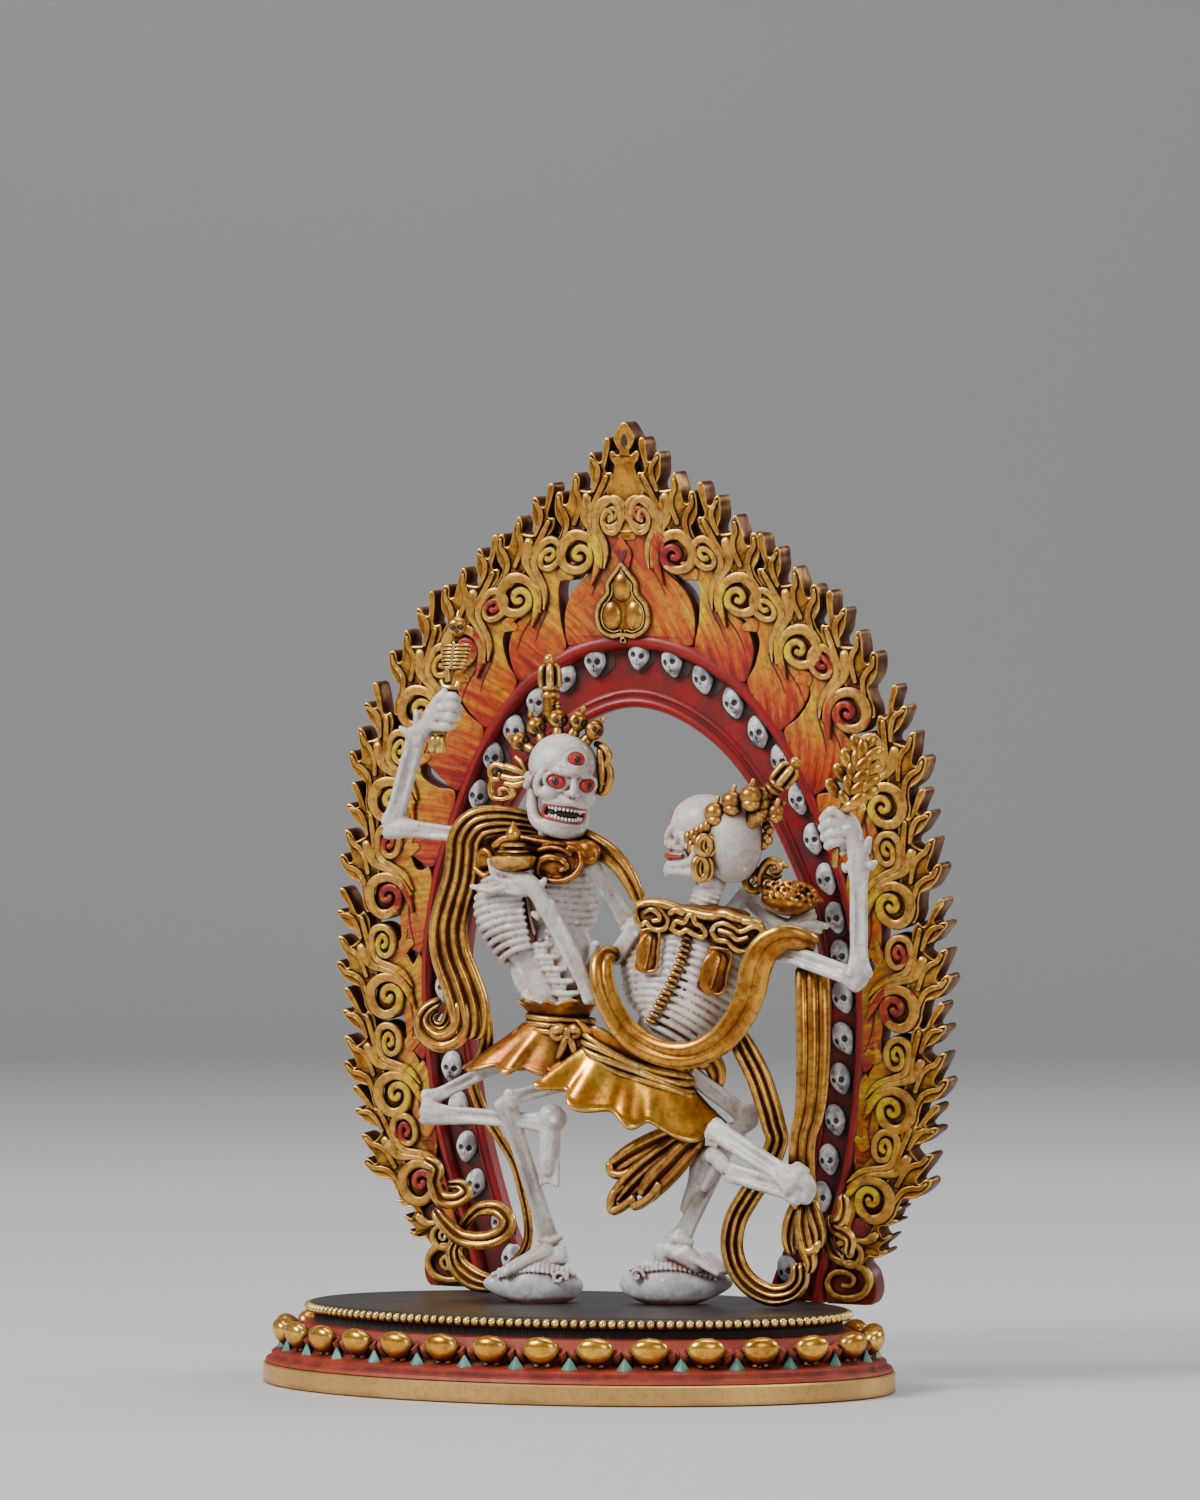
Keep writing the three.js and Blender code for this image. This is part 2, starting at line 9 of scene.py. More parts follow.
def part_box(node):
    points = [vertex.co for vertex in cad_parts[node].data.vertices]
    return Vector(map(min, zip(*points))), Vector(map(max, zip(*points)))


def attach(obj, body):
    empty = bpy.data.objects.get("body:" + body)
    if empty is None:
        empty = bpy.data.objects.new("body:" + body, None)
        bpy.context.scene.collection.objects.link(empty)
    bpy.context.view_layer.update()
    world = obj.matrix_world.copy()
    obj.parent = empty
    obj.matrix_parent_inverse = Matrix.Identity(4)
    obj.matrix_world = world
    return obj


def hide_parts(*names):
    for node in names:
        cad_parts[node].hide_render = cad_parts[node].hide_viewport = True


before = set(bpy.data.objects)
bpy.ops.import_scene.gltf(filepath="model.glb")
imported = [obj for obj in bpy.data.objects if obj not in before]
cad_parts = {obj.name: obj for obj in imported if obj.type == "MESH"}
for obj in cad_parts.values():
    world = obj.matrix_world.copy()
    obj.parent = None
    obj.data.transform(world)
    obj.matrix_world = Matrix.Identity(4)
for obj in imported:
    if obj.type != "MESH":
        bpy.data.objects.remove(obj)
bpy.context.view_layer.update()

# Every size below is in millimetres from the middle of the plinth's underside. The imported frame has
# its own middle a little to one side of that, so this is how far each piece is carried over.
plinth_low, plinth_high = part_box("plinth")
MIDDLE = Vector(((plinth_low.x + plinth_high.x) / 2, (plinth_low.y + plinth_high.y) / 2, 0))


def place(x, y, z):
    return MIDDLE + Vector((x, y, z)) / 1000


# The camera stands a metre off, a little to the statue's left, level with the dancers' ribs.
LENS = 196.8
SENSOR_WIDTH = 36
AZIMUTH, TILT_UP, ROLL = 24, 0.48, -0.14
bpy.ops.object.select_all(action="DESELECT")
bpy.ops.object.camera_add(location=place(410.3, -912.0, 88.4))
camera = bpy.context.object
camera.name = "camera"
camera.data.lens = LENS
camera.data.sensor_width = SENSOR_WIDTH
camera.data.sensor_fit = "HORIZONTAL"
camera.data.clip_start = 0.05
turn = (
    Matrix.Rotation(math.radians(AZIMUTH), 4, "Z")
    @ Matrix.Rotation(math.radians(90 + TILT_UP), 4, "X")
    @ Matrix.Rotation(math.radians(ROLL), 4, "Z")
)
camera.rotation_euler = turn.to_euler()
bpy.context.scene.camera = camera


# The studio: a pale table that sweeps up into a wall, soft lamps at both sides and one overhead.
# The wall stands far behind, so that it falls off to a middle grey.
SWEEP_START, SWEEP_RADIUS, WALL_HEIGHT = 1.35, 0.5, 1.6
bpy.ops.mesh.primitive_plane_add(size=1)
studio = bpy.context.object
studio.name = "studio_sweep"
floor_points = [(-1.8, 0), (SWEEP_START, 0)]
for step in range(1, 13):
    angle = math.radians(90 * step / 12)
    floor_points.append(
        (SWEEP_START + SWEEP_RADIUS * math.sin(angle), SWEEP_RADIUS * (1 - math.cos(angle)))
    )
floor_points.append((SWEEP_START + SWEEP_RADIUS, WALL_HEIGHT))
away = Vector((-math.sin(math.radians(AZIMUTH)), math.cos(math.radians(AZIMUTH)), 0))
across = Vector((away.y, -away.x, 0))
sweep = [
    away * distance + across * side + Vector((0, 0, height))
    for distance, height in floor_points
    for side in (-2.2, 2.2)
]
studio.data.clear_geometry()
studio.data.from_pydata(
    sweep, [], [(2 * i, 2 * i + 1, 2 * i + 3, 2 * i + 2) for i in range(len(floor_points) - 1)]
)
bpy.ops.object.shade_smooth()
studio_paper = bpy.data.materials.new("studio_paper")
studio_paper.use_nodes = True
paper_shader = studio_paper.node_tree.nodes["Principled BSDF"]
paper_shader.inputs["Base Color"].default_value = (0.52, 0.515, 0.51, 1)
paper_shader.inputs["Roughness"].default_value = 0.5
studio.data.materials.append(studio_paper)

for name, spot, size, power in (
    ("key_lamp", (-0.55, -0.75, 0.85), 0.5, 19),
    ("fill_lamp", (0.95, -0.7, 0.45), 0.6, 3.6),
    ("top_lamp", (0.1, 0.25, 1.1), 0.8, 9),
    ("rim_lamp", (0.75, 0.7, 0.5), 0.4, 4),
):
    bpy.ops.object.light_add(type="AREA", location=spot)
    lamp = bpy.context.object
    lamp.name = name
    lamp.data.shape = "DISK"
    lamp.data.size = size
    lamp.data.energy = power
    aim = Vector((0, 0, 0.07)) - Vector(spot)
    lamp.rotation_euler = aim.to_track_quat("-Z", "Y").to_euler()
world = bpy.data.worlds.new("studio_air")
bpy.context.scene.world = world
world.use_nodes = True
world.node_tree.nodes["Background"].inputs["Color"].default_value = (0.9, 0.93, 1, 1)
world.node_tree.nodes["Background"].inputs["Strength"].default_value = 0.17


# Everything is painted by hand over cast brass. One effect serves all the paints: a mottled coat, a wash
# in the recesses which also paints the shade there, and a painted highlight on the edges.
hand_paint = bpy.data.node_groups.new("hand_paint", "ShaderNodeTree")
for name, kind, start in (
    ("Coat", "NodeSocketColor", (1, 1, 1, 1)),
    ("Second Coat", "NodeSocketColor", (1, 1, 1, 1)),
    ("Wash", "NodeSocketColor", (0, 0, 0, 1)),
    ("Edge", "NodeSocketColor", (1, 1, 1, 1)),
    ("Patch Size", "NodeSocketFloat", 250.0),
    ("Recess Reach", "NodeSocketFloat", 0.0012),
    ("Wash Strength", "NodeSocketFloat", 1.0),
    ("Edge Strength", "NodeSocketFloat", 1.0),
    ("Grain", "NodeSocketFloat", 0.3),
    ("Mottle", "NodeSocketFloat", 0.25),
):
    socket = hand_paint.interface.new_socket(name, in_out="INPUT", socket_type=kind)
    socket.default_value = start
hand_paint.interface.new_socket("Color", in_out="OUTPUT", socket_type="NodeSocketColor")
hand_paint.interface.new_socket("Recess", in_out="OUTPUT", socket_type="NodeSocketFloat")
hand_paint.interface.new_socket("Patch", in_out="OUTPUT", socket_type="NodeSocketFloat")
hand_paint.interface.new_socket("Height", in_out="OUTPUT", socket_type="NodeSocketFloat")


def node(tree, kind, links=(), **settings):
    """Adds a node, sets its properties and plain inputs, and joins (input, source socket) pairs."""
    made = tree.nodes.new(kind)
    for key, value in settings.items():
        setattr(made, key, value)
    for target, source in links:
        if isinstance(source, bpy.types.NodeSocket):
            tree.links.new(source, made.inputs[target])
        else:
            made.inputs[target].default_value = source
    return made


def blend_colours(tree, share, first, second, mode="MIX"):
    made = node(tree, "ShaderNodeMix", data_type="RGBA", blend_type=mode)
    for index, source in ((0, share), (6, first), (7, second)):
        if isinstance(source, bpy.types.NodeSocket):
            tree.links.new(source, made.inputs[index])
        else:
            made.inputs[index].default_value = source
    return made.outputs[2]


def between(tree, value, low, high):
    """0 below low, 1 above high, smooth in between."""
    made = node(tree, "ShaderNodeMapRange", interpolation_type="SMOOTHSTEP")
    made.inputs["From Min"].default_value = low
    made.inputs["From Max"].default_value = high
    tree.links.new(value, made.inputs["Value"])
    return made.outputs["Result"]


def product(tree, first, second):
    return node(tree, "ShaderNodeMath", ((0, first), (1, second)), operation="MULTIPLY").outputs[0]


tree = hand_paint
given = tree.nodes.new("NodeGroupInput").outputs
spot = node(tree, "ShaderNodeTexCoord").outputs["Object"]
patches = node(
    tree, "ShaderNodeTexNoise", (("Vector", spot), ("Scale", given["Patch Size"]), ("Detail", 4.0))
).outputs["Fac"]
fine = node(
    tree, "ShaderNodeTexNoise", (("Vector", spot), ("Scale", 2600.0), ("Detail", 3.0))
).outputs["Fac"]
# Painted shade, partly a real wash: the wash colour is laid where ambient occlusion and inward bends find the surface
# sheltered.
shelter = node(
    tree,
    "ShaderNodeAmbientOcclusion",
    (("Distance", given["Recess Reach"]),),
    samples=6,
).outputs["AO"]
hollow = node(tree, "ShaderNodeMath", ((0, 1.0), (1, shelter)), operation="SUBTRACT").outputs[0]
uneven = node(tree, "ShaderNodeMath", ((0, patches), (1, 0.5)), operation="SUBTRACT").outputs[0]
uneven = node(tree, "ShaderNodeMath", ((0, uneven), (1, 0.7), (2, hollow)), operation="MULTIPLY_ADD")
bend = node(tree, "ShaderNodeNewGeometry").outputs["Pointiness"]
crease = product(tree, between(tree, bend, 0.49, 0.43), 0.5)
uneven = node(tree, "ShaderNodeMath", ((0, uneven.outputs[0]), (1, crease)), operation="ADD")
hollow = product(tree, between(tree, uneven.outputs[0], 0.06, 0.48), given["Wash Strength"])
# Painted highlight: outward bends, the edges, take the edge colour.
edge_highlight = product(tree, between(tree, bend, 0.515, 0.60), given["Edge Strength"])
coat = blend_colours(
    tree, between(tree, patches, 0.38, 0.62), given["Coat"], given["Second Coat"]
)
speckle = node(
    tree, "ShaderNodeTexNoise", (("Vector", spot), ("Scale", 1050.0), ("Detail", 5.0), ("Roughness", 0.65))
).outputs["Fac"]
coat = blend_colours(tree, edge_highlight, coat, given["Edge"])
coat = blend_colours(tree, product(tree, between(tree, speckle, 0.48, 0.62), given["Mottle"]), coat, given["Wash"])
coat = blend_colours(tree, hollow, coat, given["Wash"])
relief = node(tree, "ShaderNodeMath", ((0, speckle), (1, 0.55), (2, product(tree, fine, given["Grain"]))), operation="MULTIPLY_ADD")
given_out = node(
    tree,
    "NodeGroupOutput",
    (("Color", coat), ("Recess", hollow), ("Patch", patches), ("Height", relief.outputs[0])),
)


def finish_paint(material, colour, group, metal, smooth, rough, bump=0.00004):
    """The shader of a paint, with its gloss broken by the patches and dulled in the recesses."""
    tree = material.node_tree
    shader = tree.nodes["Principled BSDF"]
    tree.links.new(colour, shader.inputs["Base Color"])
    shader.inputs["Metallic"].default_value = metal
    dull = node(
        tree,
        "ShaderNodeMapRange",
        (("Value", group.outputs["Patch"]), ("To Min", smooth), ("To Max", rough)),
    ).outputs[0]
    dull = node(
        tree,
        "ShaderNodeMath",
        ((0, group.outputs["Recess"]), (1, 0.25), (2, dull)),
        operation="MULTIPLY_ADD",
    ).outputs[0]
    tree.links.new(dull, shader.inputs["Roughness"])
    raised = node(
        tree,
        "ShaderNodeBump",
        (("Height", group.outputs["Height"]), ("Distance", bump), ("Strength", 0.6)),
    )
    tree.links.new(raised.outputs["Normal"], shader.inputs["Normal"])
    return shader


def paint(name, coat, second, wash, edge, metal=0.0, smooth=0.35, rough=0.55, **amounts):
    """A material that is one hand painted finish."""
    material = bpy.data.materials.new(name)
    material.use_nodes = True
    tree = material.node_tree
    group = node(tree, "ShaderNodeGroup", node_tree=hand_paint)
    for key, colour in (("Coat", coat), ("Second Coat", second), ("Wash", wash), ("Edge", edge)):
        group.inputs[key].default_value = (*colour, 1)
    for key, value in amounts.items():
        group.inputs[key.replace("_", " ").title()].default_value = value
    finish_paint(material, group.outputs["Color"], group, metal, smooth, rough)
    return material


gold_paint = paint(
    "gold_paint", (0.72, 0.33, 0.04), (0.42, 0.14, 0.014), (0.045, 0.010, 0.002), (1.0, 0.68, 0.19),
    metal=0.8, smooth=0.2, rough=0.36, recess_reach=0.0024, edge_strength=1.0, wash_strength=1.15, mottle=0.45,
)


bright_gold = paint(
    "bright_gold", (0.92, 0.48, 0.05), (0.66, 0.25, 0.02), (0.11, 0.022, 0.003), (1.0, 0.82, 0.28),
    metal=0.82, smooth=0.16, rough=0.32, recess_reach=0.0026, patch_size=220, mottle=0.35,
)


# Hands on every piece: it is named, smoothed, painted, and made to ride on the statue.
def finish_piece(piece, name, material, nodes, angle=40):
    bpy.ops.object.select_all(action="DESELECT")
    piece.name = name
    piece.data.name = name
    piece.select_set(True)
    bpy.context.view_layer.objects.active = piece
    bpy.ops.object.transform_apply(location=True, rotation=True, scale=True)
    if angle:
        bpy.ops.object.shade_smooth_by_angle(angle=math.radians(angle))
    else:
        bpy.ops.object.shade_smooth()
    if material:
        piece.data.materials.clear()
        piece.data.materials.append(material)
    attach(piece, "root")
    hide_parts(*nodes)
    return piece


def new_piece(points, faces):
    """A mesh object from points in metres, facing outwards."""
    mesh = bpy.data.meshes.new("piece")
    mesh.from_pydata(points, [], faces)
    made = bpy.data.objects.new("piece", mesh)
    bpy.context.scene.collection.objects.link(made)
    bpy.ops.object.select_all(action="DESELECT")
    made.select_set(True)
    bpy.context.view_layer.objects.active = made
    bpy.ops.object.mode_set(mode="EDIT")
    bpy.ops.mesh.select_all(action="SELECT")
    bpy.ops.mesh.normals_make_consistent(inside=False)
    bpy.ops.object.mode_set(mode="OBJECT")
    return made


# The plinth's body is a hollow casting turned out of an oval. Its foot is bare brass, the two steps above
# it are vermilion, and the waist with its fine flutes and the top plate are black.
RIM_HALF_LENGTH, RIM_HALF_DEPTH = 43.5, 27.0
PLINTH_TOP = 12.4
FOOT_FLARE = 7.0


def oval_turning(levels, sides):
    """A turned oval: each level is an offset from the rim's oval and a height, bottom first."""
    offset, height = levels[0]
    bpy.ops.mesh.primitive_circle_add(
        vertices=sides, radius=1, fill_type="NGON", location=place(0, 0, height)
    )
    made = bpy.context.object
    made.scale = ((RIM_HALF_LENGTH + offset) / 1000, (RIM_HALF_DEPTH + offset) / 1000, 1)
    bpy.ops.object.transform_apply(location=True, rotation=True, scale=True)
    bpy.ops.object.mode_set(mode="EDIT")
    bpy.ops.mesh.select_all(action="SELECT")
    for next_offset, next_height in levels[1:]:
        bpy.ops.mesh.extrude_region_move(
            TRANSFORM_OT_translate={"value": (0, 0, (next_height - height) / 1000)}
        )
        bpy.ops.transform.resize(
            value=(
                (RIM_HALF_LENGTH + next_offset) / (RIM_HALF_LENGTH + offset),
                (RIM_HALF_DEPTH + next_offset) / (RIM_HALF_DEPTH + offset),
                1,
            ),
            center_override=place(0, 0, next_height),
        )
        offset, height = next_offset, next_height
    bpy.ops.mesh.select_all(action="SELECT")
    bpy.ops.mesh.normals_make_consistent(inside=False)
    bpy.ops.object.mode_set(mode="OBJECT")
    return made


foot_brass = paint(
    "foot_brass", (0.50, 0.21, 0.026), (0.36, 0.125, 0.013), (0.22, 0.08, 0.012), (0.85, 0.55, 0.20),
    metal=0.7, smooth=0.3, rough=0.44, patch_size=110, wash_strength=0.6, edge_strength=0.9, mottle=0.2,
)
vermilion = paint(
    "vermilion", (0.29, 0.026, 0.005), (0.21, 0.012, 0.003), (0.035, 0.004, 0.002), (0.38, 0.06, 0.010),
    smooth=0.48, rough=0.68, recess_reach=0.001, edge_strength=0.7,
)
black_paint = paint(
    "black_paint", (0.018, 0.016, 0.015), (0.028, 0.022, 0.018), (0.006, 0.005, 0.005),
    (0.10, 0.05, 0.025), smooth=0.34, rough=0.5, edge_strength=0.5,
)
foot = oval_turning(
    [(6.6, 0), (FOOT_FLARE, 0.25), (FOOT_FLARE, 2.85), (6.75, 3.1), (5.0, 3.15)], 300
)
finish_piece(foot, "plinth_foot_band", foot_brass, ["plinth"])
steps = oval_turning(
    [(5, 2.9), (6.55, 3.0), (6.7, 3.3), (6.5, 3.75), (5.9, 3.95), (5.75, 4.1), (5.7, 4.7),
     (5.3, 5.0), (4.2, 5.15), (3.2, 5.6), (0.4, 9.2), (-1, 9.4)],
    300,
)
finish_piece(steps, "plinth_red_steps", vermilion, ["plinth"])
FLUTES = 480
waist = oval_turning(
    [(-2, 8.3), (-0.75, 8.4), (-0.95, 9.2), (-0.95, 10.5), (-0.6, 10.85), (-0.35, 10.9),
     (-0.1, 11.1), (-0.1, 12.05), (-0.45, 12.3), (-0.9, PLINTH_TOP), (-3, PLINTH_TOP)],
    2 * FLUTES,
)
for vertex in waist.data.vertices:
    height = vertex.co.z * 1000
    if vertex.index % 2 and 9 < height < 10.7:
        inward = Vector((vertex.co.x - MIDDLE.x, vertex.co.y, 0)).normalized()
        vertex.co -= inward * 0.00016
finish_piece(waist, "plinth_waist_and_top", black_paint, ["plinth"], angle=25)


# The bead row is a gilded string of beads cast round the rim, half sunk in its moulding.
BEADS = 156


def oval_places(offset, count, height, lead=0.0):
    """Points at equal steps along the rim's oval, each with the angle that faces outwards there."""
    long_half, short_half = RIM_HALF_LENGTH + offset, RIM_HALF_DEPTH + offset
    fine_steps = 2880
    ring = [
        (long_half * math.cos(2 * math.pi * k / fine_steps), short_half * math.sin(2 * math.pi * k / fine_steps))
        for k in range(fine_steps + 1)
    ]
    lengths = [0.0]
    for first, second in zip(ring, ring[1:]):
        lengths.append(lengths[-1] + math.dist(first, second))
    found = []
    k = 0
    for i in range(count):
        target = lengths[-1] * (((i + lead) / count) % 1)
        while lengths[k + 1] < target:
            k += 1
        while lengths[k] > target:
            k -= 1
        x, y = ring[k]
        facing = math.atan2(y / short_half**2, x / long_half**2)
        found.append((Vector((x, y, height)), facing))
    return found


def repeated(model, turns):
    """One piece made of copies of a model mesh, each moved by its own matrix."""
    points, faces = [], []
    for matrix in turns:
        first = len(points)
        points += [matrix @ vertex.co for vertex in model.data.vertices]
        faces += [[first + i for i in polygon.vertices] for polygon in model.data.polygons]
    bpy.data.objects.remove(model)
    return new_piece(points, faces)


def oval_turns(offset, count, height, lead=0.0):
    return [
        Matrix.Translation(place(*spot)) @ Matrix.Rotation(facing, 4, "Z")
        for spot, facing in oval_places(offset, count, height, lead)
    ]


bpy.ops.mesh.primitive_uv_sphere_add(segments=10, ring_count=7, radius=0.00068)
bead = bpy.context.object
bead_row = repeated(bead, oval_turns(-0.05, BEADS, 11.55))
finish_piece(bead_row, "plinth_bead_row", bright_gold, ["plinth"], angle=0)


# Thirty lotus petals: a thick vermilion lip with a fine gilded line inside it, and on it a gilded bulb with
# three drops at its lower end. A green dart fills the space between two lips.
PETALS = 30
PETAL_SLOPE = math.radians(38)


def petal_turns(out=0.0, height=7.4, lead=0.5):
    return [
        turn @ Matrix.Rotation(PETAL_SLOPE, 4, "Y") for turn in oval_turns(2.5 + out, PETALS, height, lead)
    ]


def dome(half_sizes, centre=(0, 0, 0), segments=20, rings=12):
    """A ball squashed to half sizes in millimetres. X points out of the plinth and Z up the petal."""
    bpy.ops.mesh.primitive_uv_sphere_add(
        segments=segments, ring_count=rings, radius=1, location=[value / 1000 for value in centre]
    )
    made = bpy.context.object
    made.scale = [value / 1000 for value in half_sizes]
    bpy.ops.object.transform_apply(location=True, rotation=True, scale=True)
    return made


def joined(pieces):
    bpy.ops.object.select_all(action="DESELECT")
    for piece in pieces:
        piece.select_set(True)
    bpy.context.view_layer.objects.active = pieces[0]
    bpy.ops.object.join()
    return bpy.context.object


def path_through(points, steps):
    """A smooth path through points with any number of values each, with steps stretches between two."""
    count = len(points)
    before = [[2 * a - b for a, b in zip(points[0], points[1])]]
    after = [[2 * a - b for a, b in zip(points[-1], points[-2])]]
    padded = before + [list(p) for p in points] + after
    found = []
    for i in range(count - 1):
        a, b, c, d = padded[i : i + 4]
        for step in range(steps):
            t = step / steps
            found.append([
                0.5 * (2 * q + (r - p) * t + (2 * p - 5 * q + 4 * r - s) * t**2 + (3 * q - p - 3 * r + s) * t**3)
                for p, q, r, s in zip(a, b, c, d)
            ])
    found.append(list(points[-1]))
    return found


def rods(paths, sides=10, steps=5):
    """One mesh of round rods. Each path is a list of (x, y, z, radius) in millimetres, smoothed."""
    curve = bpy.data.curves.new("rods", "CURVE")
    curve.dimensions = "3D"
    curve.bevel_depth = 0.001
    curve.bevel_resolution = max(0, sides // 2 - 2)
    curve.use_fill_caps = True
    for path in paths:
        stations = path_through(path, steps)
        spline = curve.splines.new("POLY")
        spline.points.add(len(stations) - 1)
        for point, (x, y, z, radius) in zip(spline.points, stations):
            point.co = (x / 1000, y / 1000, z / 1000, 1)
            point.radius = max(radius, 0.02)
    made = bpy.data.objects.new("rods", curve)
    bpy.context.scene.collection.objects.link(made)
    bpy.ops.object.select_all(action="DESELECT")
    made.select_set(True)
    bpy.context.view_layer.objects.active = made
    bpy.ops.object.convert(target="MESH")
    return bpy.context.object


def arch(half_width, half_height, out, radius, start=-200, end=20, count=14, raise_by=0.0):
    """Points of a rounded U round the petal's lower end, as (x, y, z, radius)."""
    points = []
    for step in range(count + 1):
        angle = math.radians(start + (end - start) * step / count)
        points.append((out, half_width * math.cos(angle), raise_by + half_height * math.sin(angle), radius))
    return points


lip = joined([
    dome((1.4, 3.7, 2.7), (0, 0, -0.9)),
    rods([arch(3.3, 3.0, 0.7, 0.75)], sides=10, steps=2),
])
bulb_body = dome((1.75, 2.75, 2.45), (0.7, 0, 0.95), 24, 16)
for vertex in bulb_body.data.vertices:
    height = vertex.co.z * 1000 - 0.95
    vertex.co.y *= 1 + 0.09 * height
bulb = joined([
    bulb_body,
    *(dome((0.58, 0.6, 0.6), (1.75, side, low), 10, 8) for side, low in ((-0.82, -0.85), (0, -1.3), (0.82, -0.85))),
    rods([arch(2.75, 2.5, 1.25, 0.16, start=-190, end=10)], sides=6, steps=2),
])
finish_piece(repeated(lip, petal_turns()), "plinth_petal_lips", vermilion, ["plinth"], angle=0)
finish_piece(repeated(bulb, petal_turns()), "plinth_petal_bulbs", bright_gold, ["plinth"], angle=0)
dart_green = paint(
    "dart_green", (0.006, 0.055, 0.045), (0.004, 0.035, 0.03), (0.004, 0.015, 0.012), (0.10, 0.26, 0.20),
    smooth=0.4, rough=0.6, patch_size=900, edge_strength=1.0,
)
bpy.ops.mesh.primitive_cone_add(vertices=4, radius1=0.0018, radius2=0.0002, depth=0.0024)
dart = bpy.context.object
dart.scale = (0.75, 1, 1)
bpy.ops.object.transform_apply(location=True, rotation=True, scale=True)
bpy.ops.object.modifier_add(type="BEVEL")
dart.modifiers[-1].width = 0.00018
bpy.ops.object.modifier_apply(modifier=dart.modifiers[-1].name)
darts = repeated(dart, oval_turns(4.0, PETALS, 5.75, 0.0))
finish_piece(darts, "plinth_green_darts", dart_green, ["plinth"])


# The aureole is an openwork brass plate, cast in one and leaning a little towards the viewer. On it U runs
# to the viewer's right, W runs up along the plate from the floor, and depth runs to the front.
PLATE_DEPTH = 4.5
AUREOLE_MIDDLE, AUREOLE_BACK = 2.9, 24.5
LEAN_FORWARD, LEAN_ASIDE = 5, -0.8
FLOOR = 12.75
plate = (
    Matrix.Translation(place(AUREOLE_MIDDLE, AUREOLE_BACK, 0))
    @ Matrix.Rotation(math.radians(90 + LEAN_FORWARD), 4, "X")
    @ Matrix.Rotation(math.radians(LEAN_ASIDE), 4, "Z")
)

# Its paint goes from red at the band through orange to yellow at the scrolls, and the flames are left gilt.
# Each point of the casting says how gilt it is, how far from red to yellow, and how much brown wash and painted shade
# it has.
aureole_paint = bpy.data.materials.new("aureole_paint")
aureole_paint.use_nodes = True
tree = aureole_paint.node_tree
told = node(tree, "ShaderNodeAttribute", attribute_name="paint", attribute_type="GEOMETRY")
told = node(tree, "ShaderNodeSeparateXYZ", (("Vector", told.outputs["Vector"]),)).outputs
spot = node(tree, "ShaderNodeTexCoord").outputs["Object"]
heart = place(AUREOLE_MIDDLE, 20, 62)
off = node(tree, "ShaderNodeVectorMath", ((0, spot), (1, heart)), operation="SUBTRACT").outputs[0]
apart = node(tree, "ShaderNodeSeparateXYZ", (("Vector", off),)).outputs
way = node(tree, "ShaderNodeMath", ((0, apart[0]), (1, apart[2])), operation="ARCTAN2").outputs[0]
far = node(tree, "ShaderNodeVectorMath", ((0, off),), operation="LENGTH").outputs["Value"]
bent = node(tree, "ShaderNodeMath", ((0, far), (1, 14.0), (2, way)), operation="MULTIPLY_ADD").outputs[0]
fan = node(
    tree, "ShaderNodeCombineXYZ",
    (("X", product(tree, bent, 46.0)), ("Y", product(tree, far, 130.0))),
).outputs[0]
strokes = node(
    tree, "ShaderNodeTexNoise", (("Vector", fan), ("Scale", 1.0), ("Detail", 4.0), ("Roughness", 0.6)),
).outputs["Fac"]
blots = node(
    tree, "ShaderNodeTexNoise", (("Vector", spot), ("Scale", 330.0), ("Detail", 3.0))
).outputs["Fac"]
centred = node(tree, "ShaderNodeMath", ((0, strokes), (1, 0.5)), operation="SUBTRACT").outputs[0]
heat = node(tree, "ShaderNodeMath", ((0, centred), (1, 1.4), (2, told[1])), operation="MULTIPLY_ADD").outputs[0]
flame_ramp = node(tree, "ShaderNodeValToRGB", (("Fac", heat),))
ramp = flame_ramp.color_ramp
ramp.elements[0].position, ramp.elements[0].color = 0.12, (0.17, 0.001, 0.001, 1)
ramp.elements[1].position, ramp.elements[1].color = 1.0, (0.66, 0.48, 0.0, 1)
for position, colour in ((0.3, (0.30, 0.006, 0.001, 1)), (0.46, (0.42, 0.045, 0.001, 1)), (0.64, (0.50, 0.13, 0.0, 1)), (0.82, (0.55, 0.25, 0.0, 1))):
    step = ramp.elements.new(position)
    step.color = colour
centred = node(tree, "ShaderNodeMath", ((0, blots), (1, 0.5)), operation="SUBTRACT").outputs[0]
gilt = node(tree, "ShaderNodeMath", ((0, centred), (1, 1.6), (2, told[0])), operation="MULTIPLY_ADD").outputs[0]
gilt = between(tree, gilt, 0.35, 0.65)
gold_coat = blend_colours(tree, between(tree, blots, 0.4, 0.65), (0.62, 0.29, 0.036, 1), (0.40, 0.14, 0.014, 1))
coat = blend_colours(tree, gilt, flame_ramp.outputs["Color"], gold_coat)
# Painted shade, partly a real wash: the recesses take dark red on paint and dark brown on gilt. Gilt edges take bright
# gold, a painted highlight.
wash = blend_colours(tree, gilt, (0.07, 0.004, 0.002, 1), (0.035, 0.010, 0.002, 1))
group = node(
    tree, "ShaderNodeGroup",
    (("Coat", coat), ("Second Coat", coat), ("Wash", wash), ("Mottle", 0.42), ("Edge", blend_colours(tree, gilt, coat, (1.0, 0.64, 0.17, 1)))),
    node_tree=hand_paint,
)
group.inputs["Recess Reach"].default_value = 0.0026
group.inputs["Wash Strength"].default_value = 1.2
# Points marked brown, the side walls, the ground behind the scrolls and the groove lines, go dark brown: partly brown
# wash, partly painted shade.
brown = between(
    tree,
    node(tree, "ShaderNodeMath", ((0, centred), (1, 0.9), (2, told[2])), operation="MULTIPLY_ADD").outputs[0],
    0.2, 0.9,
)
shown = blend_colours(tree, brown, group.outputs["Color"], (0.10, 0.026, 0.006, 1))
shader = finish_paint(aureole_paint, shown, group, 0.0, 0.3, 0.52)
tree.links.new(product(tree, gilt, 0.8), shader.inputs["Metallic"])


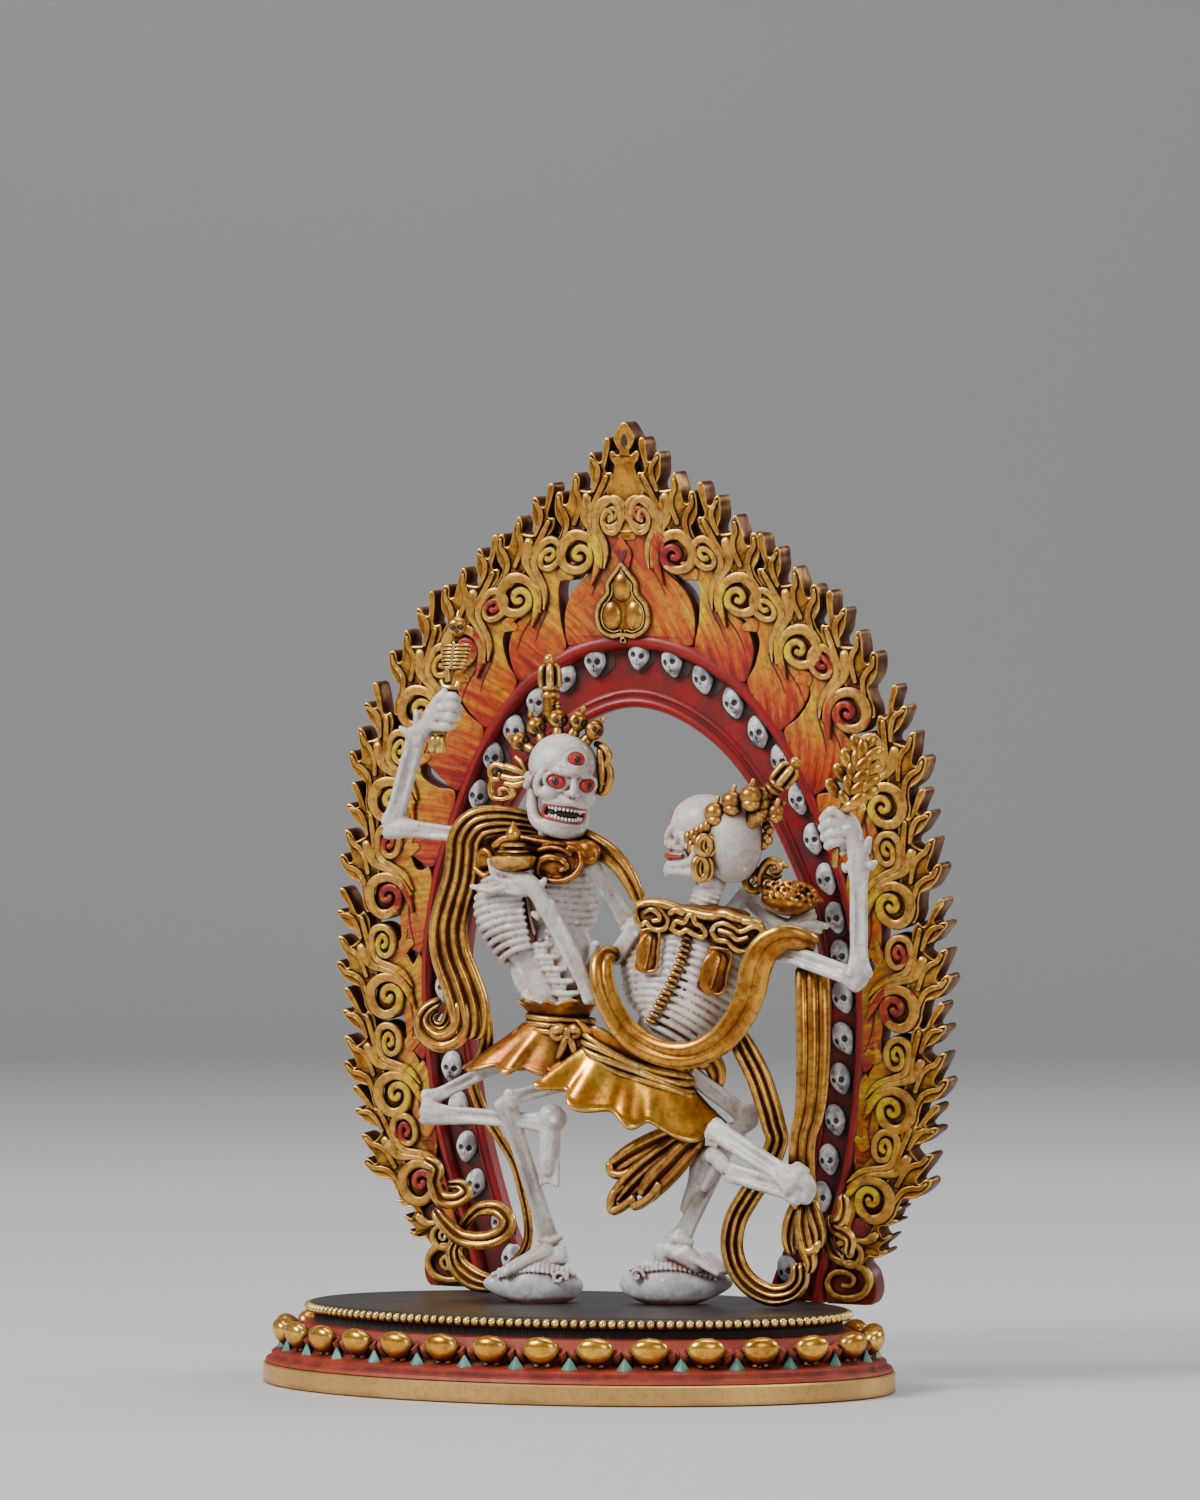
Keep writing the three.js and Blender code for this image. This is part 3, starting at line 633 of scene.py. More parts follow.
class Casting:
    """Gathers the points, faces and paint of one casting, in millimetres of U, W and depth."""

    def __init__(self, frame_matrix):
        self.matrix = frame_matrix
        self.points, self.faces, self.paint = [], [], []

    def ring(self, points, paint):
        first = len(self.points)
        self.points += [self.matrix @ (Vector(point) / 1000) for point in points]
        self.paint += [paint(point) if callable(paint) else paint for point in points]
        return list(range(first, first + len(points)))

    def bridge(self, first, second, closed=True):
        count = len(first)
        for i in range(count if closed else count - 1):
            j = (i + 1) % count
            self.faces.append([first[i], first[j], second[j], second[i]])

    def tube(self, rings, cap=None):
        for first, second in zip(rings, rings[1:]):
            self.bridge(first, second)
        if cap:
            self.faces += [[rings[0][i] for i in reversed(corner)] for corner in cap]
            self.faces += [[rings[-1][i] for i in corner] for corner in cap]
        else:
            self.faces.append(list(reversed(rings[0])))
            self.faces.append(list(rings[-1]))

    def finish(self, name, material, nodes, angle=42):
        made = new_piece(self.points, self.faces)
        values = made.data.attributes.new("paint", "FLOAT_VECTOR", "POINT")
        for entry, value in zip(values.data, self.paint):
            entry.vector = value
        return finish_piece(made, name, material, nodes, angle)


RIDGE = [(-1, 0.0), (-1, 0.86), (-0.84, 0.96), (-0.5, 1.0), (0.5, 1.0), (0.84, 0.96), (1, 0.86), (1, 0.0)]
GROOVED = [(-1, 0.0), (-1, 0.8), (-0.8, 0.96), (-0.5, 1.0), (-0.14, 0.93), (0, 0.82), (0.14, 0.93), (0.5, 1.0),
           (0.8, 0.96), (1, 0.8), (1, 0.0)]


def strand(casting, path, back, front, paint, turn=None, section=RIDGE, steps=4, round_start=True, round_end=True):
    """A raised strand along (u, w, half width) points, with a carved section between two depths."""
    stations = path_through(path, steps)
    flat = [(s[0], s[1]) for s in stations]
    rings = []
    ends = []
    if round_start:
        ends += [(0, -math.cos(a), math.sin(a)) for a in (0.25, 0.75, 1.2)]
    ends += [(i, 0, 1) for i in range(len(stations))]
    if round_end:
        ends += [(len(stations) - 1, math.cos(a), math.sin(a)) for a in (1.2, 0.75, 0.25)]
    for i, beyond, narrow in ends:
        u, w, half = stations[i][:3]
        before, after = flat[max(i - 1, 0)], flat[min(i + 1, len(flat) - 1)]
        du, dw = after[0] - before[0], after[1] - before[1]
        length = math.hypot(du, dw) or 1
        du, dw = du / length, dw / length
        points = []
        for side, high in section:
            low = 1 - 0.16 * (1 - narrow)
            points.append((
                u + du * beyond * half - dw * side * half * narrow,
                w + dw * beyond * half + du * side * half * narrow,
                back + (front - back) * high * (low if high else 1),
            ))
        if turn:
            points = [(*turn(p[0], p[1]), p[2]) for p in points]
        points = [(p[0], max(p[1], FLOOR), p[2]) for p in points]
        rings.append(casting.ring(points, paint))
    casting.tube(rings)


def smooth_outline(points, steps):
    """A closed smooth outline through the points."""
    looped = [points[-1]] + list(points) + [points[0], points[1]]
    found = []
    for i in range(len(points)):
        a, b, c, d = looped[i : i + 4]
        for step in range(steps):
            t = step / steps
            found.append(tuple(
                0.5 * (2 * q + (r - p) * t + (2 * p - 5 * q + 4 * r - s) * t**2 + (3 * q - p - 3 * r + s) * t**3)
                for p, q, r, s in zip(a, b, c, d)
            ))
    return found


def inset(outline, amount):
    """The outline moved inwards by an amount, for a bevel that is small beside its curves."""
    area = sum(a[0] * b[1] - b[0] * a[1] for a, b in zip(outline, outline[1:] + outline[:1]))
    sign = 1 if area > 0 else -1
    found = []
    for i, (u, w) in enumerate(outline):
        before, after = outline[i - 1], outline[(i + 1) % len(outline)]
        du, dw = after[0] - before[0], after[1] - before[1]
        length = math.hypot(du, dw) or 1
        found.append((u - sign * dw / length * amount, w + sign * du / length * amount))
    return found


def widened(path, by):
    return [(u, w, half * by) for u, w, half in path]


def slab(casting, outline, back, front, bevel, paint, side_paint, turn=None, steps=3, dish=0.0, grow=0.0):
    """A flat plate with a rounded front edge and, if it is dished, a slightly sunk face."""
    edge = inset(smooth_outline(outline, steps), -grow)
    cap = tessellate_polygon([[Vector((u, w, 0)) for u, w in edge]])
    rings = []
    # The walls take side_paint; on the aureole it turns them brown, partly brown wash and partly painted shade.
    for amount, depth, colours in (
        (0, back, side_paint), (0, front - bevel, side_paint), (bevel * 0.3, front - bevel * 0.3, paint),
        (bevel, front, paint), (bevel + (0.2 if dish else 0.02), front - dish, paint),
    ):
        points = [(u, w, depth) for u, w in inset(edge, amount)]
        if turn:
            points = [(*turn(p[0], p[1]), p[2]) for p in points]
        points = [(p[0], max(p[1], FLOOR), p[2]) for p in points]
        rings.append(casting.ring(points, colours))
    casting.tube(rings, cap)


# The band: a horseshoe with a rolled outer moulding, a sunk red track for the skulls, and a stepped lip
# round the opening. It is painted a deep red all over; the orange of the flames on its outer edge is only
# set in its points' paint values, which its red paint doesn't read.
BAND_INSIDE = [(0, 104), (13, 98.5), (23, 85), (29.6, 66), (28.6, 45), (24.8, 27), (19.5, 12.7)]
BAND_OUTSIDE = [
    (0, 115.9), (8, 114.7), (14.5, 111.6), (19.5, 107.9), (25.5, 100.4), (30.3, 90.5), (35, 78), (37.6, 62),
    (36.2, 40), (31.5, 22), (29.5, 12.7),
]
BAND_SECTION = [
    (0, 0), (0, 2.3), (0.03, 2.75), (0.07, 2.9), (0.11, 2.75), (0.135, 2.35), (0.16, 2.3), (0.19, 2.5),
    (0.22, 2.42), (0.245, 2.05), (0.5, 1.95), (0.75, 2.05), (0.765, 2.8), (0.79, 3.5), (0.84, 3.95), (0.9, 3.95),
    (0.95, 3.6), (1, 3.0), (1, 0),
]


def mirrored_line(half):
    return [(-u, w) for u, w in reversed(half[1:])] + [tuple(p) for p in half]


def even_line(points, count):
    """The smooth line through the points, cut into count equal steps."""
    fine = path_through(points, 24)
    lengths = [0.0]
    for first, second in zip(fine, fine[1:]):
        lengths.append(lengths[-1] + math.dist(first[:2], second[:2]))
    found, k = [], 0
    for i in range(count + 1):
        target = lengths[-1] * i / count
        while k < len(fine) - 2 and lengths[k + 1] < target:
            k += 1
        share = (target - lengths[k]) / max(lengths[k + 1] - lengths[k], 1e-9)
        found.append(tuple(a + (b - a) * share for a, b in zip(fine[k], fine[k + 1])))
    return found


band = Casting(plate)
BAND_STEPS = 260
inner_line = even_line(mirrored_line(BAND_INSIDE), BAND_STEPS)
outer_line = even_line(mirrored_line(BAND_OUTSIDE), BAND_STEPS)
rings = []
for (iu, iw), (ou, ow) in zip(inner_line, outer_line):
    points = []
    for share, depth in BAND_SECTION:
        u, w = iu + (ou - iu) * share, iw + (ow - iw) * share
        points.append((u, max(w, FLOOR), depth))
    first = len(band.points)
    band.points += [plate @ (Vector(p) / 1000) for p in points]
    band.paint += [(0, 0.42 if share > 0.9 and depth < 3.2 else 0.12, 0) for share, depth in BAND_SECTION]
    rings.append(list(range(first, first + len(points))))
band.tube(rings)
band_red = paint(
    "band_red", (0.27, 0.0015, 0.0015), (0.19, 0.001, 0.001), (0.03, 0.0005, 0.0005), (0.5, 0.012, 0.004),
    smooth=0.33, rough=0.52, recess_reach=0.0014, patch_size=160, edge_strength=0.5, wash_strength=0.8,
)
band.finish("aureole_band", band_red, ["aureole"])


# Nine scrolling flame units climb each side. In each a painted stem rises from the band, splits into two
# scrolls and a club-headed bar, and ends in a plate of gilt flames with two forked tongues.
UNITS = [
    (38.3, 29, 14), (42.1, 42.9, 4), (43, 58.4, 2), (42.7, 74.2, -6), (41.7, 89.3, -16), (36.2, 103.7, -31),
    (28.4, 113.3, -42), (18.7, 121.2, -42), (8.2, 127.8, -45),
]
TONGUES = [
    (2.35, 11.7), (2.75, 12.8), (3.17, 13.3), (3.77, 12.8), (4.29, 12.9), (4.66, 13.3), (5.16, 14.5), (5.76, 15.8),
    (6.4, 16.9), (7.0, 17.1), (7.0, 16.4), (6.4, 15.5), (5.85, 14.6), (5.5, 13.8), (5.8, 13.3), (6.4, 13.25),
    (7.1, 13.6), (7.7, 13.6), (7.5, 13.0), (6.95, 12.4), (6.45, 11.7), (5.6, 10.9), (4.6, 10.4), (4.05, 9.7),
    (4.1, 9.0), (4.9, 8.35), (5.77, 7.9), (6.21, 8.2), (6.5, 8.7), (7.03, 9.3), (7.8, 9.5), (7.55, 8.7), (7.15, 7.7),
    (6.65, 6.7), (6.2, 5.8), (6.0, 5.1), (6.33, 4.5), (6.87, 4.55), (7.35, 5.2), (8.0, 5.6), (8.35, 5.1), (7.85, 4.1),
    (7.2, 3.2), (6.35, 2.4), (5.4, 2.0), (4.5, 1.7), (4.15, 0.9), (3.9, -0.2), (3.7, -1.5), (2.6, -2.6), (1.5, 3.4),
    (2.6, 5.2), (2.3, 8.0),
]
LARGE_SCROLL = [
    (-4.9, -1.8, 0.12), (-4.0, 0.2, 0.42), (-3.09, 1.69, 0.5), (-2.06, 2.6, 0.55), (-0.7, 3.06, 0.55),
    (0.5, 2.98, 0.58), (1.66, 2.47, 0.62), (2.58, 1.43, 0.66), (2.8, 0.05, 0.68), (2.48, -1.28, 0.66),
    (1.71, -2.3, 0.62), (0.52, -2.85, 0.58), (-0.74, -2.6, 0.55), (-1.86, -1.68, 0.54), (-2.3, -0.43, 0.52),
    (-2.2, 0.6, 0.5), (-1.5, 1.35, 0.48), (-0.6, 1.5, 0.46), (0.25, 1.1, 0.44), (0.6, 0.25, 0.42),
    (0.25, -0.5, 0.4), (-0.45, -0.55, 0.42), (-0.75, -0.1, 0.42),
]
SMALL_SCROLL = [
    (-4.7, 1.6, 0.1), (-3.49, 3.18, 0.34), (-2.27, 4.16, 0.4), (-0.7, 4.85, 0.42), (0.66, 5.38, 0.44),
    (1.6, 6.31, 0.46), (2.0, 7.8, 0.48), (2.05, 9.32, 0.48), (1.5, 10.5, 0.46), (0.45, 10.95, 0.44),
    (-0.67, 10.7, 0.42), (-1.5, 9.7, 0.4), (-1.62, 8.3, 0.4), (-1.2, 7.0, 0.38), (-0.25, 6.4, 0.36),
    (0.68, 6.85, 0.36), (1.0, 7.9, 0.35), (0.75, 9.0, 0.34), (0.1, 9.6, 0.34), (-0.5, 9.1, 0.33), (-0.45, 8.2, 0.33),
    (0.05, 7.9, 0.34),
]
CLUB_BAR = [
    (-4.3, 0.9, 0.3), (-3.0, 2.53, 0.38), (-1.38, 3.72, 0.42), (0.36, 4.31, 0.46), (2.0, 4.85, 0.6),
    (3.05, 5.9, 0.74), (3.6, 6.95, 0.8), (3.95, 7.7, 0.66),
]
BUD = [(-3.7, 6.6), (-2.6, 7.2), (-2.3, 8.2), (-2.9, 9.2), (-3.2, 10.2), (-4.1, 10.7), (-4.2, 9.7), (-3.9, 9.0),
       (-4.9, 9.1), (-5.3, 8.2), (-4.5, 7.4)]


def unit_turn(side, u, w, lean):
    angle = math.radians(lean)

    def turned(out, up):
        return (
            side * (u + out * math.cos(angle) + up * math.sin(angle)),
            w - out * math.sin(angle) + up * math.cos(angle),
        )

    return turned


# Where two stems meet on the band's outer edge, from the floor up.
FEET = [
    (31.5, 18), (35.6, 33), (37.2, 48.5), (37.3, 65.3), (35.2, 78.9), (30.5, 91.0), (25.3, 101.0), (19.3, 108.4),
    (10.7, 113.6),
]

flames = Casting(plate)
for side in (-1, 1):
    for rank, (u, w, lean) in enumerate(UNITS):
        turn = unit_turn(side, u, w, lean)
        leafy = unit_turn(side, u, w, lean + (6 if rank == 8 else 0))
        upper = rank > 4
        noise_seed = Vector((rank * 3.1, side * 7.7, 0.5))
        warm = 0.5 + 0.25 * noise.noise(noise_seed)
        inner_heat = 0.95 if (rank + (side > 0)) % 3 else 0.35

        def scroll_paint(point, centre=turn(-0.3, 0.2), inner=inner_heat):
            near = math.dist(point[:2], centre)
            gilt_here = min(1.0, max(0.0, (near - 1.6) / 0.9)) * (0.35 if point[0] * side < centre[0] * side - 1.6 else 1)
            fading = min(1.0, max(0.0, (near - 3.0) / 2.0))
            return (gilt_here * (1 - fading), inner + (0.55 - inner) * fading, 0.0)

        def small_paint(point, centre=turn(0.2, 8.4), up=turn(0, 30), inner=inner_heat, upper=upper):
            near = math.dist(point[:2], centre)
            far_left = point[0] * side < centre[0] * side - 2.2
            gilt_here = 0.15 if far_left and not upper else min(1.0, max(0.0, (near - 1.0) / 1.0))
            return (gilt_here, 0.85 if far_left else inner, 0.0)

        def bar_paint(point, foot=turn(-4.3, 0.9)):
            along = math.dist(point[:2], foot)
            return (min(1.0, max(0.0, (along - 2.5) / 2.5)), 0.8, 0.0)

        def face_paint(point):
            return (1.0, 0.6, 0.06)

        # The ground behind the scrolls goes dark brown, most at the back: partly brown wash, partly painted shade.
        def ground_paint(point):
            return (0.75, 0.3, 0.4) if point[2] > 3 else (0.0, 0.2, 0.75)

        def petal_paint(point, head=turn(-3.2, 2.5)):
            far = math.dist(point[:2], head)
            return (0.0, min(0.95, max(0.2, 1.02 - far * 0.06)), 0.0)

        slab(
            flames, TONGUES, 0, 4.15, 0.24, face_paint, (0.9, 0.5, 0.8), leafy, steps=3, dish=0.1, grow=0.2
        )
        strand(flames, widened(LARGE_SCROLL, 1.45), 0.6, 4.45, scroll_paint, turn, steps=4)
        strand(flames, widened(SMALL_SCROLL, 1.55), 0.6, 4.4, small_paint, turn, steps=4)
        strand(flames, widened(CLUB_BAR, 1.3), 0.6, 4.4, bar_paint, leafy, steps=5)
        for line in (
            [(2.5, 4.8, 0.35), (2.6, 8.0, 0.42), (3.1, 10.6, 0.45), (3.5, 12.4, 0.35)],
            [(3.9, 9.4, 0.3), (4.5, 11.3, 0.42), (5.4, 12.6, 0.42), (6.5, 13.0, 0.35), (7.2, 13.1, 0.2)],
            [(3.3, 3.4, 0.35), (4.1, 5.9, 0.42), (5.1, 7.1, 0.42), (6.2, 7.7, 0.4), (7.1, 8.8, 0.25)],
            [(3.3, 0.6, 0.35), (4.3, 2.7, 0.42), (5.6, 3.6, 0.42), (6.9, 4.0, 0.36), (7.8, 4.9, 0.22)],
        ):
            strand(flames, line, 3.6, 4.42, face_paint, leafy, steps=4)
        strand(flames, [(0.1, 0.1, 2.7), (0.1, -0.1, 2.7)], 0.5, 3.7, ground_paint, turn, steps=3)
        strand(flames, [(0.2, 8.2, 1.9), (0.3, 9.0, 1.9)], 0.5, 3.6, ground_paint, turn, steps=3)
        slab(flames, BUD, 0, 4.0, 0.4, (0.35, 0.72, 0.22), (0.0, 0.4, 0.5), turn, steps=2)
        if rank == 8:
            continue
        foot, above = FEET[rank], FEET[rank + 1]

        def at(out, up):
            return turn(out, up)

        def inward(point, amount=0.9):
            middle = Vector((0, 62)) - Vector((abs(point[0]), point[1]))
            middle = middle.normalized() * amount
            return (side * (abs(point[0]) + middle.x), point[1] + middle.y)

        low, high = (side * foot[0], foot[1]), (side * above[0], above[1])
        hip = at(-2.75, -4.9)
        waist_point = at(-4.6, 5.2)
        slab(
            flames,
            [low,
             (low[0] + (hip[0] - low[0]) * 0.6 + side * 0.9, low[1] + (hip[1] - low[1]) * 0.6 - 0.3),
             hip, at(-2.45, -2.6), at(-2.7, -0.1), at(-1.2, 2.4), at(0.4, 5), at(-0.4, 9), at(-2.9, 8.6),
             at(-3.7, 7.0), waist_point,
             ((waist_point[0] + high[0]) / 2 + side * 0.25, (waist_point[1] + high[1]) / 2 - 0.5),
             high,
             *(inward((high[0] + (low[0] - high[0]) * t, high[1] + (low[1] - high[1]) * t)) for t in (0.15, 0.38, 0.62, 0.85))],
            0, 3.75, 0.3, petal_paint, (0.0, 0.12, 0.45), None, steps=5,
        )
        # Dark red lines on the petal stand for its carved grooves: partly their dark red paint, partly painted shade in
        # them.
        for line in (
            [(-3.5, 2.0, 0.1), (-3.9, -0.8, 0.17), (-4.3, -3.8, 0.15), (-5.3, -6.6, 0.05)],
            [(-4.5, 3.0, 0.1), (-5.3, 1.0, 0.16), (-5.9, -1.4, 0.14), (-6.7, -3.2, 0.05)],
        ):
            if rank > 4 or line[0][0] > -4:
                strand(flames, line, 3.5, 3.81, (0.0, -0.1, 0.3), turn, steps=4)
flames.finish("aureole_flames", aureole_paint, ["aureole"])


# The crown of the aureole: a broad red petal at the middle that opens into two small scrolls, a gilt field
# above them and the pierced finial on its neck.
crown = Casting(plate)
CROWN_FIELD = [(0, 114.9), (3, 114.7), (6, 114.2), (8.6, 113.7), (10.2, 113.6), (10.8, 114.8), (11.0, 116.9), (10.8, 119.0), (9.8, 121.6), (8.2, 123.4), (6.2, 125.2),
               (5.0, 127.0), (4.5, 129.2), (4.6, 131.5), (3.6, 134)]
FINIAL = [(0.0, 148.0), (0.55, 147.7), (1.25, 146.7), (1.75, 145.5), (1.35, 144.4), (0.85, 143.6), (1.1, 143.0),
          (1.9, 143.6), (2.5, 143.3), (2.3, 142.3), (1.7, 141.4), (1.9, 140.3), (2.4, 139.0), (3.1, 137.8),
          (2.9, 135.5), (1.6, 131.5)]
TOP_SCROLL = [
    (4.6, 127.2, 0.45), (4.9, 129.2, 0.5), (5.1, 131.3, 0.5), (5.1, 133.6, 0.52), (4.4, 135.5, 0.52),
    (2.9, 136.3, 0.5), (1.5, 135.6, 0.48), (0.85, 133.9, 0.46), (1.1, 132.1, 0.44), (2.2, 131.0, 0.42),
    (3.4, 131.5, 0.4), (3.9, 133.0, 0.38), (3.3, 134.5, 0.36), (2.4, 134.2, 0.34), (2.2, 133.2, 0.34),
    (2.7, 132.9, 0.34),
]
TOP_BAR = [(5.7, 126.8, 0.12), (5.9, 127.8, 0.35), (6.2, 130.2, 0.45), (6.0, 132.6, 0.55), (6.1, 134.8, 0.75), (6.6, 136.6, 0.75)]


def both_ways(half):
    return [tuple(p) for p in half] + [(-u, w) for u, w in reversed(half)]


def crown_paint(point):
    red = max(0.0, 1 - abs(point[0]) / 6.5) + max(0.0, (117 - point[1]) / 8)
    return (1.0 if point[1] > 131.5 else 0.0, max(0.12, 0.62 - 0.42 * red), 0.0)


slab(crown, both_ways(CROWN_FIELD)[1:], 0, 3.75, 0.3, crown_paint, (0.0, 0.12, 0.45), None, steps=5)
slab(crown, both_ways(FINIAL)[1:], 0, 4.15, 0.2, (1.0, 0.6, 0.1), (0.9, 0.5, 0.8), None, steps=4, dish=0.08)
for side in (-1, 1):
    def mirror(u, w, side=side):
        return side * u, w

    def top_paint(point):
        return (1.0 if point[1] > 130.8 else 0.1, 0.85 if side < 0 else 0.5, 0.0)

    strand(crown, widened(TOP_SCROLL, 1.3), 0.6, 4.5, top_paint, mirror, steps=4)
    strand(crown, TOP_BAR, 0.6, 4.4, top_paint, mirror, steps=4)
    strand(crown, [(2.7, 133.4, 1.9), (2.7, 133.7, 1.9)], 0.5, 3.6, ground_paint, mirror, steps=2)
    # Dark red lines on the petal stand for its carved grooves: partly their dark red paint, partly painted shade in
    # them.
    for line in (
        [(3.6, 128.4, 0.1), (4.0, 125.8, 0.2), (5.2, 123.6, 0.16), (6.2, 121.4, 0.05)],
        [(5.6, 127.2, 0.1), (6.6, 125.4, 0.18), (8.2, 123.8, 0.05)],
    ):
        strand(crown, line, 3.5, 3.82, (0.0, -0.1, 0.3), mirror, steps=4)
    # The volute at the foot of each side, a flat scroll lying on the plinth, and the strut behind it.
    slab(
        crown,
        [(30.0, 12.4), (36.4, 12.4), (38.2, 14.5), (37.8, 17.6), (36.6, 19.6), (38.4, 22.5), (37.2, 25.5),
         (33.6, 26.0), (31.4, 21.0)],
        0, 3.3, 0.3, (0.1, 0.25, 0.3), (0.1, 0.1, 0.7), mirror, steps=4,
    )
    strand(
        crown,
        [(30.6, 20.6, 0.5), (32.4, 19.4, 0.6), (34.6, 19.2, 0.65), (36.5, 18.2, 0.65), (37.2, 16.4, 0.62),
         (36.2, 14.6, 0.6), (33.8, 13.8, 0.58), (31.3, 14.3, 0.55), (30.4, 16.0, 0.52), (31.4, 17.6, 0.5),
         (33.4, 17.8, 0.48), (34.8, 16.9, 0.46), (34.3, 15.8, 0.44), (33.0, 15.8, 0.42)],
        0.6, 4.2, lambda p: (0.75, 0.25, 0.1), mirror, steps=4,
    )
    small_turn = unit_turn(side, 34.4, 20.6, 26)
    slab(
        crown, [(u * 0.62, w * 0.62) for u, w in TONGUES], 0, 4.1, 0.16, (1.0, 0.6, 0.12), (0.9, 0.5, 0.8),
        small_turn, steps=3, dish=0.1,
    )
    strand(crown, [(u * 0.6, w * 0.6, half * 0.9) for u, w, half in LARGE_SCROLL], 0.6, 4.4, (0.9, 0.4, 0.1), small_turn)
    strand(crown, [(u * 0.6, w * 0.6, half) for u, w, half in CLUB_BAR], 0.6, 4.4, (0.9, 0.4, 0.1), small_turn)
slab(
    crown,
    [(-0.9 + u, w) for u, w in both_ways([(0.0, 130.6), (0.9, 129.3), (1.7, 128.2), (1.5, 126.6), (0.9, 125.4)])[1:]],
    3.2, 4.15, 0.2, (0.0, 0.42, 0.1), (0.0, 0.1, 0.4), None, steps=4,
)
slab(
    crown, [(-0.9 + u, w) for u, w in both_ways([(0, 128.0), (0.55, 128.5), (0.95, 128.0), (0.5, 127.0), (0.0, 126.3)])[1:]],
    3.6, 4.3, 0.12, (0.0, -0.2, 0.5), (0.0, -0.2, 0.6), None, steps=3,
)
crown.finish("aureole_crown_and_foot", aureole_paint, ["aureole"])


# The finial is pierced by a drop-shaped hollow, drawn as a dark patch on its face that paints the shade in it.
hollow_dark = paint(
    "hollow_dark", (0.05, 0.016, 0.008), (0.035, 0.012, 0.006), (0.01, 0.003, 0.002), (0.12, 0.05, 0.02),
    smooth=0.4, rough=0.6,
)
pit = Casting(plate)
slab(
    pit, both_ways([(0, 146.2), (0.42, 145.6), (0.55, 144.9), (0.35, 144.3), (0, 144.0)])[1:], 3.6, 4.12, 0.05,
    (0, 0, 0), (0, 0, 0), None, steps=3,
)
pit.finish("aureole_finial_hollow", hollow_dark, ["aureole"])


# Three ribbed jewels sit in a trefoil frame over the middle of the band, all gilt.
jewels = Casting(plate)
JEWEL_U = -0.9
TREFOIL = [(0.0, 126.6), (1.1, 125.4), (2.6, 123.4), (2.7, 121.9), (4.1, 120.2), (4.6, 118.0), (3.9, 115.9), (1.9, 114.8),
           (0.0, 115.1)]
frame_line = [(JEWEL_U + u, w) for u, w in both_ways(TREFOIL)[1:]]
slab(jewels, frame_line, 0.5, 4.0, 0.25, (1, 0.5, 0.5), (1, 0.5, 0.5), None, steps=4)
closed_line = smooth_outline(frame_line, 3)
strand(
    jewels, [(*p, 0.42) for p in inset(closed_line, 0.35)] + [(*inset(closed_line, 0.35)[0], 0.42)], 0.5, 4.55,
    (1, 0.5, 0), None, steps=1, round_start=False, round_end=False,
)
strand(
    jewels, [(*p, 0.2) for p in inset(closed_line, 1.05)] + [(*inset(closed_line, 1.05)[0], 0.2)], 0.5, 4.3,
    (1, 0.5, 0), None, steps=1, round_start=False, round_end=False,
)
for u, w in ((JEWEL_U - 0.1, 122.7), (JEWEL_U - 1.9, 118.3), (JEWEL_U + 1.9, 118.3)):
    rings = []
    for k in range(13):
        angle = math.pi * (k + 0.15) / 12.3
        high = 2.4 * math.cos(angle)
        across_jewel = 1.8 * math.sin(angle) ** 0.75 * (1.0 if k not in (3, 4) else 0.94)
        rings.append(jewels.ring(
            [(u + across_jewel * math.sin(t * math.pi / 9), w + high, 3.6 + 1.2 * math.sin(angle) ** 0.8 * max(0, math.cos(t * math.pi / 9)))
             for t in range(-9, 9)],
            (1, 0.5, 0),
        ))
    jewels.tube(rings)
jewels.finish("aureole_jewels", gold_paint, ["aureole"])


# Thirty-five small skulls sit in the band's track, white with dark hollows, partly black paint and partly painted
# shade, each on a black patch that is partly black paint and partly its painted shadow.
def moulded(piece, touches):
    """Pushes the surface in or out round points. A touch is (x, y, z, reach, push, dark), in millimetres; dark marks
    the points for black paint and painted shade.
    """
    mesh = piece.data
    black_and_shade = mesh.attributes.new("black_and_shade", "FLOAT", "POINT")
    marks = [0.0] * len(mesh.vertices)
    for vertex in mesh.vertices:
        start = vertex.co.copy()
        for x, y, z, reach, push, mark in touches:
            away_by = (start - Vector((x, y, z)) / 1000).length * 1000 / reach
            if away_by < 1:
                strength = (1 - away_by * away_by) ** 2
                vertex.co += vertex.normal * (push * strength / 1000)
                marks[vertex.index] = max(marks[vertex.index], min(1, mark * strength * 1.6))
    black_and_shade.data.foreach_set("value", marks)
    return piece


def repeated_marked(model, turns):
    """Copies of a model as in repeated, which keep the dark marks on it, its black paint and painted shade."""
    marks = [entry.value for entry in model.data.attributes["black_and_shade"].data]
    made = repeated(model, turns)
    black_and_shade = made.data.attributes.new("black_and_shade", "FLOAT", "POINT")
    black_and_shade.data.foreach_set("value", marks * len(turns))
    return made


SKULL_LINE = [
    (0, 112.1), (6.5, 111.1), (11.6, 108.5), (16.6, 104.8), (20.6, 100.3), (24.3, 96.0), (27, 90.1), (29.3, 84),
    (31.3, 77.9), (32.6, 72), (33.4, 66.2), (33.5, 59.8), (33.5, 53.5), (32.8, 47.3), (31.8, 40.9), (30.6, 34.8),
    (29.3, 29), (25.0, 23), (23.4, 17.4),
]
bpy.ops.mesh.primitive_uv_sphere_add(segments=26, ring_count=20, radius=0.001)
small_skull = bpy.context.object
for vertex in small_skull.data.vertices:
    x, y, z = vertex.co * 1000
    jaw = max(0.0, -y - 0.15)
    vertex.co = Vector((x * (1.7 - 0.75 * jaw), y * 2.5 + 0.1, z * (1.25 - 0.25 * jaw) + 0.15)) / 1000
small_skull.data.update()
